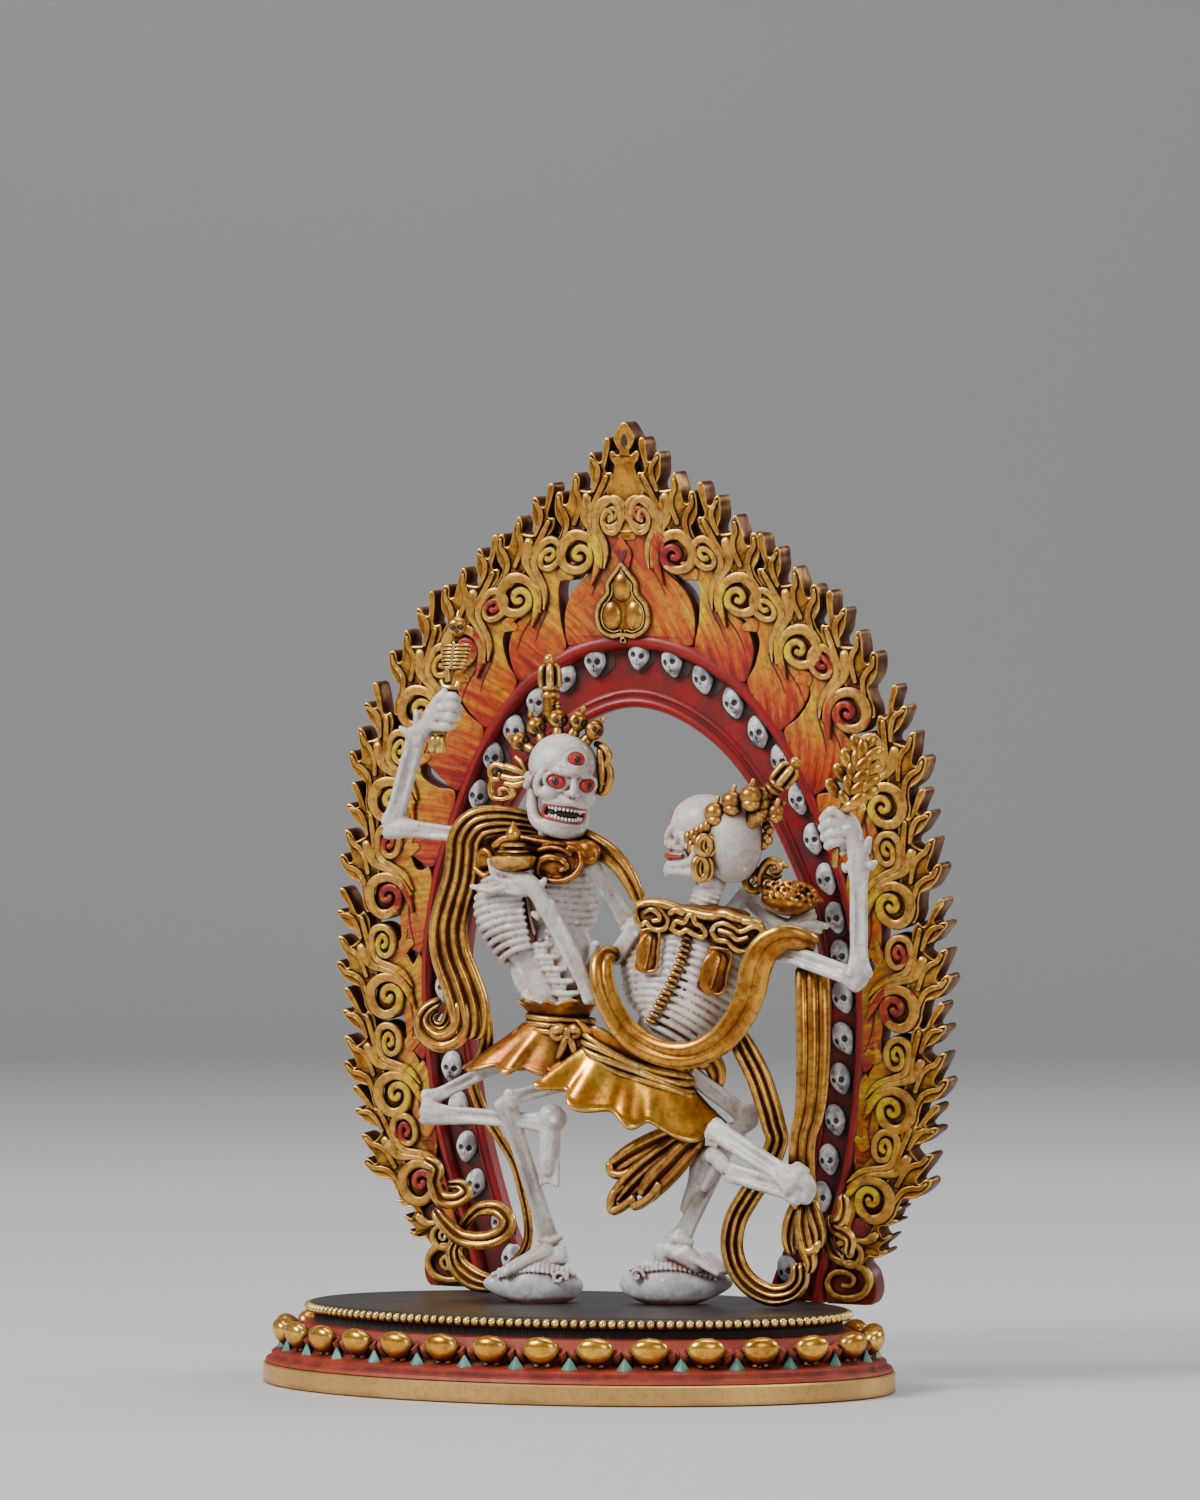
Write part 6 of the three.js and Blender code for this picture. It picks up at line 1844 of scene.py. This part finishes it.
female_trunk = [
    dome((8.1, 3.2, 5.4), (17.1, 1.6, 64.5), 32, 20), dome((6.4, 3.0, 5.4), (15.5, 1.6, 59.2), 32, 20),
    dome((5.0, 2.8, 4.4), (14.5, 1.8, 54.2), 32, 20), dome((4.4, 2.8, 5.2), (12.6, 1.4, 49.6), 28, 18),
]
# The legs: the standing one at the back on the conch, the other raised and folded in front of it.
female_bones += long_bone((18.1, 3, 47.4), (25.5, 6, 41.3), 1.35, 1.4, 1.7)
female_bones += [
    [(25.9, 5.6, 41.7, 1.8), (26.2, 5.4, 40.6, 1.7)], [(25.7, 5, 41.4, 1.4), (26, 5.2, 39.8, 1.2)],
    [(25.3, 5.2, 40.2, 1.3), (25, 5.2, 38.7, 1.0)],
]
female_bones += long_bone((24, 5.4, 39), (16.3, 3.2, 22.9), 1.3, 1.6, 1.4)
female_bones += long_bone((23.5, -1, 39.4), (38.3, -5.2, 32.1), 1.55, 1.7, 2.3)
female_bones += long_bone((38.6, -5, 30.5), (27.3, -3.2, 33.1), 1.5, 1.9, 1.5)
female_bones += [
    [(39.9, -5.2, 32, 1.4), (40.4, -5, 31.1, 1.2), (39.7, -4.8, 29.9, 1.3)], [(38.5, -4.8, 34, 1.1), (39.6, -4.6, 33.6, 0.8)],
    # The sole of the folded foot, seen past the standing shin.
    [(25.9, -2.4, 33.8, 1.2), (23, 0.2, 35.3, 1.3), (20.2, 2, 35.5, 1.3), (19.2, 2.4, 33.8, 1.2), (18.5, 2.6, 31.1, 1.0), (17.4, 2.6, 28.4, 0.8), (16.8, 2.6, 27.1, 0.6)],
    [(21.2, 2.6, 35, 1.3), (20.2, 2.8, 32.7, 1.3), (19, 2.8, 30.4, 1.0)], [(22.4, 2.2, 34.6, 0.9), (21.6, 2.4, 32.3, 0.9), (20.3, 2.6, 30.4, 0.7)],
    # The standing foot: the ankle's knobs, the heel and the toes towards the viewer's right.
    [(16.2, 3, 23.3, 1.3), (15.2, 3, 22.3, 1.5), (13.9, 3, 21.5, 1.3)], [(17.8, 2.6, 22, 0.7), (16.3, 2.2, 22.4, 0.9), (14.6, 2.4, 22.9, 0.7)],
    [(13.2, 3.2, 20.7, 1.7), (13.4, 3.2, 19.8, 1.6)], [(14.5, 2.6, 20.8, 1.4), (17.1, 2.4, 20.1, 1.6), (19.1, 2.4, 18.8, 1.3)],
    [(13.5, 2.2, 21.4, 0.5), (14.5, 1.6, 20.9, 0.5), (14.2, 1.8, 20.1, 0.45), (13.3, 2.1, 20.2, 0.4)],
]
for toe in range(5):
    female_bones.append([
        tuple(Vector((19, 1.4, 19.5)) + Vector((0.25 * toe, 0.85 * toe, 0.1 * toe))) + (0.6,),
        tuple(Vector((21.5, 1.1, 18.3)) + Vector((0.2 * toe, 0.85 * toe, 0.05 * toe))) + (0.5,),
        tuple(Vector((23.1, 0.9, 17.6)) + Vector((0.1 * toe - 0.1 * abs(toe - 1), 0.85 * toe, 0))) + (0.46,),
    ])
female_skeleton = cast_together([rounded_rods(female_bones, 10, 5)] + female_trunk, 0.18, 1, 118000)
finish_figure(female_skeleton, "female_skeleton", bone_white, "female_dancer")
female_conch = conch((14.6, 4.7, 15.6), 8.8, 3.7, 3.4, 12, 1, 17)
finish_figure(female_conch, "female_conch", conch_paint, "female_dancer")

# Her skull is seen from the side and looks to the viewer's left, with the mouth open.
female_domes = [
    dome((4.7, 4.5, 6.5), (26.1, 0, 83), 44, 32), dome((5.3, 4.2, 4.7), (21.5, 0, 85.3), 44, 28),
    dome((2.5, 3.3, 3.2), (20.9, 0.2, 82.5), 28, 18), dome((1.9, 2.6, 1.2), (18.4, 0, 79), 24, 14),
    dome((1.7, 2.4, 0.9), (17.4, 0.1, 82.7), 20, 12),
]
female_rods = [
    [(17.1, -2.2, 84.9, 0.6), (16.3, -1.2, 83.9, 0.8), (15.6, 0.4, 83.6, 0.85), (15, 2, 83.9, 0.7)],
    [(16.2, -0.4, 83.4, 0.8), (15.6, 0, 82.7, 0.75), (16.3, 0, 82.3, 0.7)], [(16.8, -1.2, 82.1, 0.6), (16, 0.2, 81.8, 0.65), (15.6, 1.6, 82.1, 0.6)],
    [(18.6, -3.2, 84.1, 0.6), (19.8, -3.6, 83.3, 0.7), (19.2, -3.2, 82, 0.6), (17.6, -2.2, 82, 0.5)],
    [(19.7, -3.2, 82.6, 0.7), (21.1, -3.8, 82.1, 0.8), (22.5, -4, 81.2, 0.7)],
    [(16.1, -1, 79.6, 0.5), (15.5, -0.2, 78.7, 0.7), (15.4, 0.2, 77.9, 0.6)], [(15.6, 0.4, 79.6, 0.6), (15.2, 0.6, 78.5, 0.7)],
    [(16.6, -1.6, 79.4, 0.6), (18.7, -2.8, 79.4, 0.65), (20.9, -3.6, 79.9, 0.8), (22, -3.8, 81.4, 0.9)],
    [(16.3, -1.2, 78.4, 0.7), (18.7, -2.4, 78.5, 0.8), (21.1, -3.2, 78.4, 0.9), (22.3, -3.6, 79.3, 0.9)],
    [(15, 1.8, 79.1, 0.8), (16.5, 2.8, 79, 0.9), (18.4, 3.6, 79.6, 1.0), (19.1, 3.8, 81.1, 0.9)],
    [(22.4, -1, 77, 1.5), (22.8, 0.4, 76.6, 1.9)],
]
female_skull = cast_together(female_domes + [rounded_rods(female_rods, 10, 4)], 0.18, 2, 45000)
finish_figure(female_skull, "female_skull", bone_white, "female_dancer")
female_gums = rounded_rods([
    [(19.1, -3, 80.6, 0.36), (17.5, -2, 80.5, 0.4), (16.1, -1, 80.6, 0.42), (15.2, 0.2, 80.7, 0.45), (14.9, 1.6, 80.6, 0.4)],
    [(19.3, -3.2, 81.9, 0.25), (17.8, -2.1, 81.8, 0.28), (16.5, -1.2, 81.7, 0.3), (15.6, 0.2, 81.7, 0.3), (15.3, 1.5, 81.7, 0.3)],
], 10, 4)
finish_figure(female_gums, "female_gums", gum_red, "female_dancer")
female_teeth = []
for k in range(7):
    share = k / 6
    for height, way in ((459, 1), (442, -1)):
        low = Vector((18.9, -2.9, 80.8)).lerp(Vector((15.7, -0.3, 80.9)), share)
        high = Vector((18.9, -2.9, 81.6)).lerp(Vector((15.9, -0.3, 81.5)), share)
        female_teeth.append(dome((0.24, 0.26, 0.28), low if way == 1 else high, 10, 8))
finish_figure(joined(female_teeth), "female_teeth", tooth_white, "female_dancer")
female_eyes = dome((0.5, 1.1, 1.0), (17, -0.9, 86.5), 20, 14)
finish_figure(female_eyes, "female_eyes", eye_red, "female_dancer")

# The crown seen from behind, with its strap, the thunderbolt, the ear hoops and an ornament at the back.
crown_back = []
for px, py, size in ((375, 292, 1.7), (440, 248, 1.7), (512, 228, 1.75), (560, 262, 1.6), (612, 288, 1.3)):
    spot = Vector(((620 + px / 4 - 574.5) / 6.0 + 0.445 * 3.0, -3.0, (1385 - (740 + py / 4)) / 6.56))
    if px > 540:
        spot = Vector(((620 + px / 4 - 574.5) / 6.0 + 0.445 * 1.0, -1.0, (1385 - (740 + py / 4)) / 6.56))
    crown_back += [dome((size, size * 0.9, size * 0.95), spot, 20, 14), dome((size * 0.85, size * 0.8, size * 0.6), spot + Vector((0.2, -0.3, -0.7 * size)), 18, 12)]
    crown_back.append(rounded_rods([[(*(spot + Vector((0.3, -0.2, size * 0.8))), 0.5), (*(spot + Vector((0.55, -0.2, size * 1.35))), 0.35)]], 8, 3))
crown_back += [
    rounded_rods([
        [(30.6, -1.4, 86.8, 1.5), (29.8, -1.6, 85.7, 1.1)], [(31.6, -1, 90, 1.2), (30.2, -1, 87.2, 1.5)],
        [(32.2, -0.4, 86.8, 1.0), (33.4, 0, 87.9, 0.6), (34.5, 0, 88.7, 0.35)],
    ], 10, 4),
]
for k in range(5):
    share = k / 4
    spot = Vector((20.5, -3.7, 83.4)).lerp(Vector((23.6, -3.7, 85.1)), share)
    crown_back.append(dome((0.75, 0.8, 1.15), spot, 16, 12))
crown_back += [dome((0.9, 0.8, 1.3), (21.1, -3.8, 82.1), 16, 12), dome((0.8, 0.7, 1.0), (21.8, -3.9, 83.1), 16, 12)]
for px, py in ((578, 345), (588, 362), (575, 388), (585, 400), (566, 420)):
    crown_back.append(dome((0.75, 0.7, 0.8), ((620 + px / 4 - 574.5) / 6.0 - 0.445 * 0.6, 0.6, (1385 - (740 + py / 4)) / 6.56), 14, 10))
crown_back += thunderbolt((30.8, -0.6, 88.2), (0.64, 0.1, 0.76), 0.98)
finish_figure(joined(crown_back), "female_crown", copper_gold, "female_dancer")
hoops = []
for px, py, wide, high in ((336, 422, 1.0, 1.6), (322, 512, 1.0, 2.0)):
    middle = Vector(((620 + px / 4 - 574.5) / 6.0 + 0.445 * 4.8, -4.8, (1385 - (740 + py / 4)) / 6.56))
    for aside, thick in ((-0.2, 0.58), (0.4, 0.48)):
        hoops.append([(*(middle + Vector((wide * 0.8 * math.cos(t) + aside, 0.5 * math.cos(t) + aside, high * 0.82 * math.sin(t)))), thick)
                      for t in [2 * math.pi * k / 14 for k in range(15)]])
finish_figure(rounded_rods(hoops, 10, 3), "female_ear_hoops", gold_paint, "female_dancer")

# The bead row of the spine, the cloud collar over her shoulders, and two tongues that hang from it.
spine_beads = []
spots = path_through([(*Vector(((600 + px / 4 - 574.5) / 6.0 + 0.445 * 2.5, -2.5, (1385 - (900 + py / 4)) / 6.56)),) for px, py in SPINE], 8)
for k in range(16):
    spot = Vector(spots[min(len(spots) - 1, round(k * (len(spots) - 1) / 15))][:3])
    bead = put(dome((0.95, 0.75, 0.46), (0, 0, 0), 18, 12), Matrix.Translation(spot) @ Matrix.Rotation(math.radians(23), 4, "Y"))
    spine_beads.append(bead)
finish_figure(joined(spine_beads), "female_spine_beads", copper_gold, "female_dancer")


def cloud_lobe(outline, depth, radius, scale=4, origin=(620, 740)):
    """The points of a raised rim that follows a closed outline, read in quarter pixels of the photo."""
    places = []
    for px, py, more in [tuple(p) + ((0,) if len(p) == 2 else ()) for p in outline]:
        y = depth + more
        places.append(((origin[0] + px / scale - 574.5) / 6.0 - 0.445 * y, y, (1385 - (origin[1] + py / scale)) / 6.56, radius))
    return places + [places[0]]


collar_rims = [
    cloud_lobe([(62, 700), (66, 668), (100, 655), (140, 662), (172, 690), (190, 715), (182, 745), (150, 757), (120, 745), (105, 725), (80, 738)], -2.9, 0.5),
    cloud_lobe([(205, 752), (222, 722), (252, 728), (268, 702), (285, 698), (298, 728), (322, 742), (338, 768), (322, 784), (290, 772), (262, 756), (236, 768)], -3.3, 0.48),
    cloud_lobe([(362, 762), (378, 738), (412, 730), (448, 748), (478, 762), (520, 742), (552, 748), (562, 786), (536, 826), (488, 842), (446, 824), (424, 800), (385, 792)], -3.3, 0.52),
]
collar_rims += [
    [(13.1, -3.2, 72.1, 0.4), (14.2, -3.4, 72.6, 0.42), (15.4, -3.4, 71.9, 0.42), (15.6, -3.4, 71.1, 0.4), (14.6, -3.4, 70.9, 0.38)],
    [(24.6, -2.8, 71.8, 0.7), (26.1, -3, 72, 0.8), (28.2, -3.1, 71.3, 0.8), (30.2, -3, 70.9, 0.7), (31.6, -2.6, 70.5, 0.6)],
    [(11.7, -2.4, 73.2, 0.8), (14, -2.6, 73.5, 0.9), (16.5, -2.6, 73.2, 0.9), (18.6, -2.6, 72.5, 0.9), (20.6, -2.6, 72.1, 0.9), (23.1, -2.6, 71.6, 0.9), (25.1, -2.6, 71.6, 0.8)],
    [(17.4, -3.2, 72.1, 0.6), (18.2, -3.3, 72.5, 0.6), (19.3, -3.3, 72.1, 0.6)], [(25.6, -3.7, 69.5, 0.4), (27.3, -3.9, 69, 0.42), (28.5, -3.9, 68.1, 0.4), (30, -3.7, 68.4, 0.4)],
    [(29.5, -3.3, 70.9, 0.7), (31.3, -3.2, 70.5, 0.7), (32.4, -2.9, 69.2, 0.6), (31.7, -2.8, 67.7, 0.5)],
]
collar_body = [
    dome((3.0, 1.2, 2.2), (13.5, -1.8, 71.5), 24, 14), dome((3.2, 1.2, 1.7), (19.4, -2.1, 70.7), 24, 14),
    dome((4.4, 1.3, 2.4), (27.1, -2.1, 69), 24, 14), dome((9.5, 2.6, 1.7), (19.7, -0.4, 71.7), 32, 16),
]
finish_figure(cast_together(collar_body, 0.18, 1, 18000), "female_cloud_collar", copper_gold, "female_dancer")
finish_figure(rounded_rods(collar_rims, 10, 4), "female_collar_rims", gold_paint, "female_dancer")
tongues = []
for outline in (
    [(165, 120), (160, 180), (150, 235), (140, 262), (165, 280), (200, 280), (222, 268), (228, 200), (234, 130), (200, 112)],
    [(432, 185), (420, 250), (400, 300), (384, 338), (420, 362), (468, 368), (492, 350), (500, 290), (520, 205), (476, 188)],
):
    tongues.append(rounded_rods([cloud_lobe(outline, -3.1, 0.28, origin=(600, 900))], 10, 3))
    px, py = sum(p[0] for p in outline) / len(outline), sum(p[1] for p in outline) / len(outline)
    y = -2.9
    turn = Matrix.Translation(Vector(((600 + px / 4 - 574.5) / 6.0 - 0.445 * y, y, (1385 - (900 + py / 4)) / 6.56))) @ Matrix.Rotation(math.radians(24), 4, "Z") @ Matrix.Rotation(math.radians(9 if px < 300 else 14), 4, "Y")
    tongues.append(put(dome((1.75 if px < 300 else 2.25, 0.55, 3.1 if px < 300 else 3.5), (0, 0, 0), 28, 20), turn))
    tongues.append(put(rounded_rods([[(0.15, -0.6, 2.2, 0.25), (0.1, -0.75, 0, 0.3), (0, -0.6, -2.2, 0.25)]], 8, 3), turn))
female_tongues = cast_together(tongues, 0.16, 1, 40000)
finish_figure(female_tongues, "female_collar_tongues", copper_gold, "female_dancer")

# Her scarf hangs in a deep loop across the back, over the arm, and falls in a broad band to a frilled end.
female_scarf = [
    ribbon([
        (6.2, 1, 65.7, 1.0), (5.7, -1.5, 65.5, 1.4), (5.7, -3, 64, 1.7), (6.3, -3.8, 61.1, 1.8), (7.9, -4.2, 57.7, 1.9),
        (10.2, -4.4, 54.5, 1.95), (13.6, -4.5, 52.1, 2.0), (17.7, -4.6, 50.8, 2.0), (21.8, -4.5, 51, 2.05), (25.8, -4.3, 53, 2.15),
        (28.7, -4, 56.4, 2.25), (30.5, -3.8, 60.2, 2.3), (31.3, -3.6, 63.9, 2.4), (33, -3.4, 67, 2.3), (35.8, -3, 68.5, 2.0),
        (38.1, -1.6, 68.1, 1.7), (38.9, 0.4, 67.5, 1.4)], 2, 1.5, deep=0.26),
    ribbon([
        (38.5, 1, 64.2, 2.4), (38.9, 0.2, 61.7, 2.6), (39.3, -0.6, 57.2, 2.6), (39.6, -1.2, 51.6, 2.55), (39.5, -1.6, 45.6, 2.4),
        (39.1, -1.8, 41.9, 2.2), (38.3, -2.2, 38.5, 2.0), (38, -2, 33.7, 2.0), (38.3, -1.8, 29.9, 2.1), (38.6, -1.6, 27.7, 2.2)], 3, 1.2, deep=0.4),
    ribbon([
        (26.8, -1, 54.4, 1.4), (28.1, -0.6, 51.8, 1.8), (30.1, 0, 47.7, 1.9), (31.6, 0.4, 43.2, 1.9), (32.3, 0.8, 40.2, 1.85),
        (32.6, 1.3, 37.5, 1.75), (30.2, 1.6, 32.6, 1.7), (27.7, 1.8, 29.1, 1.75),
        (25.7, 1.8, 25.7, 1.75), (25.1, 1.6, 21.9, 1.75), (26.1, 1.4, 18.5, 1.7), (28.5, 1.2, 15.9, 1.7), (31.8, 1, 14.6, 1.7),
        (34.8, 1, 15.1, 1.6), (36.3, 1.2, 16.9, 1.5), (36.3, 1.4, 19.5, 1.4)], 3, 1.3, deep=0.72),
    ribbon([(19, 2.5, 49.3, 1.3), (20.8, 3.5, 49.7, 1.6), (21.6, 4.5, 47.4, 1.4), (20.8, 5, 44.7, 1.0)], 2, 1.0),
    # The gathered end of the band: three tongues of cloth that turn over.
    ribbon([(37.4, -1.6, 29.1, 1.0), (36.3, -1.9, 26.1, 1.2), (35.9, -2, 23.1, 1.1), (36.4, -1.9, 20.9, 0.7)], 2, 1.1),
    ribbon([(39.1, -1.9, 29.2, 1.2), (40.2, -2.2, 26.6, 1.3), (41, -2.2, 24, 1.1), (40.5, -2, 22.1, 0.7)], 2, 1.1),
    ribbon([(38.4, -2.2, 28.4, 1.0), (38.4, -2.6, 25.5, 1.3), (39, -2.6, 22.5, 1.4), (39.6, -2.4, 19.9, 1.0), (39.2, -2.2, 18.4, 0.5)], 2, 1.2),
    ribbon([(38.1, -2.8, 24, 0.5), (38.9, -3, 21.8, 0.7), (40.3, -3, 21.8, 0.7), (41.3, -2.8, 23.3, 0.5)], 1, 0.8),
    # The bow beyond it, folded like a butterfly.
    ribbon([(43.7, 0.2, 30, 0.7), (44, 0, 28.1, 1.1), (43.4, 0, 26.2, 1.2), (41.7, 0.2, 25.4, 1.0)], 2, 1.1),
    ribbon([(41.6, 0.4, 26.7, 0.6), (42.2, 0, 25, 1.0), (43.8, 0, 24.3, 1.2), (44.8, 0.2, 23.2, 1.0), (44.5, 0.2, 21, 0.9)], 2, 1.1),
    ribbon([(41, 0.4, 25.7, 0.7), (41.2, 0.2, 23.5, 1.0), (42.1, 0.2, 21.6, 1.1), (43.5, 0.2, 20.4, 0.8)], 2, 1.0),
]
finish_figure(joined(female_scarf), "female_scarf", gold_paint, "female_dancer", angle=0)

# Her skirt, its frill and twisted sash, and the pleated cloth that swings out behind the legs.
turn = Matrix.Translation(Vector((10.1, -0.5, 0))) @ Matrix.Rotation(math.radians(24), 4, "Z")
female_skirt = [
    put(skirt_shell(((0.6, 0.3, 49.6), 7.9, 3.2, -0.40), ((0, 0, 44.2), 14.4, 5.8, -0.27), 9, 0.12, 1.25, wave=1.6, dip=3.2, rows=34, around=180), turn),
    put(skirt_shell(((0.6, 0.3, 48.4), 7.6, 3.1, -0.40), ((0.5, 0, 51.8), 8.9, 4.2, -0.36), 8, 0.08, 1.4, wave=-0.7, rows=12), turn),
]
sash = []
for lift in (0.0, 0.85, 1.7, 2.5):
    loop = []
    for step in range(17):
        angle = 2 * math.pi * step / 16
        x, y = 8.4 * math.sin(angle) + 0.6, -3.8 * math.cos(angle) + 0.2
        loop.append((x, y, 48.0 + lift - 0.40 * x - 0.9 * math.cos(angle) + 0.3 * math.sin(3 * angle + 2 * lift), 0.55 + 0.1 * math.sin(2 * angle + 3 * lift)))
    sash.append(put(rods([loop], 10, 4), turn))
finish_figure(joined(female_skirt), "female_skirt", bright_gold, "female_dancer", angle=0)
finish_figure(joined(sash), "female_sash", gold_paint, "female_dancer", angle=0)
cloth = [
    ribbon([(20.5, 1.2, 40.1, 1.5), (17.6, 1.2, 38.9, 1.8), (13.6, 1, 37.4, 1.9), (9.5, 0.8, 35.4, 1.9), (6.2, 0.8, 33.4, 1.5)], 2, 1.3, deep=0.7, open_end=True),
    ribbon([(20.4, 0.6, 39, 1.5), (16.8, 0.4, 36.7, 1.8), (12.7, 0.2, 33.8, 2.0), (9.3, 0, 30.9, 2.0), (7, 0, 28.4, 1.7)], 3, 1.3, deep=0.7, open_end=True),
    ribbon([(20.8, 0.2, 38.5, 1.5), (18.2, 0, 36, 1.9), (15.4, -0.2, 33.1, 2.1), (13.3, -0.3, 31, 2.0), (11.7, -0.3, 29.1, 1.5)], 2, 1.4, deep=0.6, open_end=True),
]
for path in (
    [(5.8, -0.2, 33.6, 0.7), (6.2, -0.3, 32.5, 0.75), (7.8, -0.4, 32.2, 0.7), (9.3, -0.5, 32.8, 0.6)],
    [(7.9, -0.6, 30.5, 0.7), (6.6, -0.8, 29, 0.8), (6.5, -0.9, 26.9, 0.8), (8.2, -1, 27.4, 0.75), (10, -1, 28.7, 0.7)],
    [(10, -1, 28.7, 0.7), (10.4, -1.1, 27.6, 0.75), (12.2, -1.3, 28.4, 0.75), (13.6, -1.3, 29.7, 0.7), (14.3, -1.3, 30.9, 0.6)],
):
    cloth.append(rounded_rods([path], 10, 4))
finish_figure(joined(cloth), "female_pleated_cloth", copper_gold, "female_dancer", angle=0)

# The bowl with the brain in it, a scroll leaf beside it, and the ear of grain in the raised fist.
brain_bowl = [dome((4.6, 3.4, 2.7), (34.4, 2.6, 74.3), 36, 20), rods([[
    (*(Vector((34.5, 2.4, 74.8)) + Vector((4.75 * math.cos(t), 3.4 * math.sin(t), -0.9 * math.cos(t)))), 0.45) for t in [2 * math.pi * k / 20 for k in range(21)]
]], 10, 3)]
lumps = []
for k in range(9):
    for j in range(3):
        px, py = 588 + 20.5 * k, 572 + 22 * j + 3.4 * k - 12 * math.sin(math.pi * k / 8) + (6 if k % 2 else 0)
        y = 0.6 - 1.4 * math.sin(math.pi * k / 8) - 0.35 * j
        x0, z0 = (620 + px / 4 - 574.5) / 6.0 - 0.445 * y, (1385 - (740 + py / 4)) / 6.56
        swing = 1.9 * k + 2.4 * j
        lumps.append([(x0 + 0.62 * math.cos(swing + t), y - 0.15 * t, z0 + 0.42 * math.sin(swing + t), 0.3) for t in (0, 1.2, 2.4, 3.6)])
brain_bowl.append(rounded_rods(lumps, 8, 3))
female_bowl = cast_together(brain_bowl, 0.16, 1, 20000)
finish_figure(female_bowl, "female_brain_bowl", copper_gold, "female_dancer")
leaf = rounded_rods([
    [(30.1, 2.6, 75.5, 0.6), (29.6, 2.4, 77, 0.7), (30.1, 2.2, 78.7, 0.75), (31.2, 2.2, 79.8, 0.72), (32.6, 2.2, 79.6, 0.65), (32.8, 2.2, 78.5, 0.55), (31.8, 2.1, 78.2, 0.45), (31.5, 2, 78.9, 0.35)],
    [(32.5, 2.3, 78.5, 0.5), (33.3, 2.3, 79.3, 0.55), (33.9, 2.3, 79.1, 0.35)],
    [(30, 2.4, 75.9, 0.6), (28.8, 2.2, 75.3, 0.65), (27.7, 2.2, 75.9, 0.68), (27.3, 2.2, 77, 0.62), (28.1, 2.1, 77.8, 0.55), (29.1, 2, 77.2, 0.45), (28.6, 2, 76.5, 0.35)],
    [(28.3, 2.4, 77.6, 0.4), (28.7, 2.4, 78.9, 0.5), (28.5, 2.4, 79.4, 0.3)], [(30.5, 2.2, 77.6, 0.5), (31.7, 2.2, 77.2, 0.5), (32.9, 2.3, 77.6, 0.3)],
], 10, 4)
finish_figure(leaf, "female_scroll_leaf", copper_gold, "female_dancer")
grain = [rounded_rods([
    [(43.6, -2, 79.3, 0.55), (43.8, -2, 81.6, 0.6)], [(44.8, -2, 87.2, 0.6), (45.3, -1.8, 89.8, 0.6), (46.2, -1.4, 93.9, 0.55), (46.9, -1, 97.6, 0.45)],
    [(44.8, -2.2, 87.4, 0.7), (46.1, -2.2, 88.2, 0.9), (47.4, -2.1, 88.5, 0.75), (48.2, -2, 87.7, 0.4)],
], 10, 4)]
for px, py, lean, big in (
    (838, 198, -38, 1.0), (866, 140, -32, 1.0), (890, 84, -25, 1.0), (925, 30, -16, 1.0), (882, 240, -30, 0.9), (896, 190, -14, 1.0),
    (912, 140, -10, 1.0), (930, 88, -6, 1.0), (952, 44, 0, 1.0), (972, 215, 62, 1.05), (978, 172, 66, 1.05), (985, 124, 64, 1.05),
    (990, 68, 58, 1.05), (975, 24, 40, 1.0), (935, 238, 50, 0.95), (940, 192, 52, 1.0), (948, 148, 50, 1.0), (956, 100, 48, 1.0),
):
    y = -1.9 - 0.6 * (1 if 880 < px < 960 else 0) + 0.004 * (240 - py)
    spot = Vector(((620 + px / 4 - 574.5) / 6.0 - 0.445 * y, y, (1385 - (740 + py / 4)) / 6.56))
    husk = moulded(dome((0.95 * big, 0.62, 1.75 * big), (0, 0, 0), 16, 14), [(0, -0.6, 0, 0.25, -0.12, 0.6)])
    grain.append(put(husk, Matrix.Translation(spot) @ Matrix.Rotation(math.radians(24), 4, "Z") @ Matrix.Rotation(math.radians(lean), 4, "Y")))
finish_figure(joined(grain), "female_ear_of_grain", gold_paint, "female_dancer")
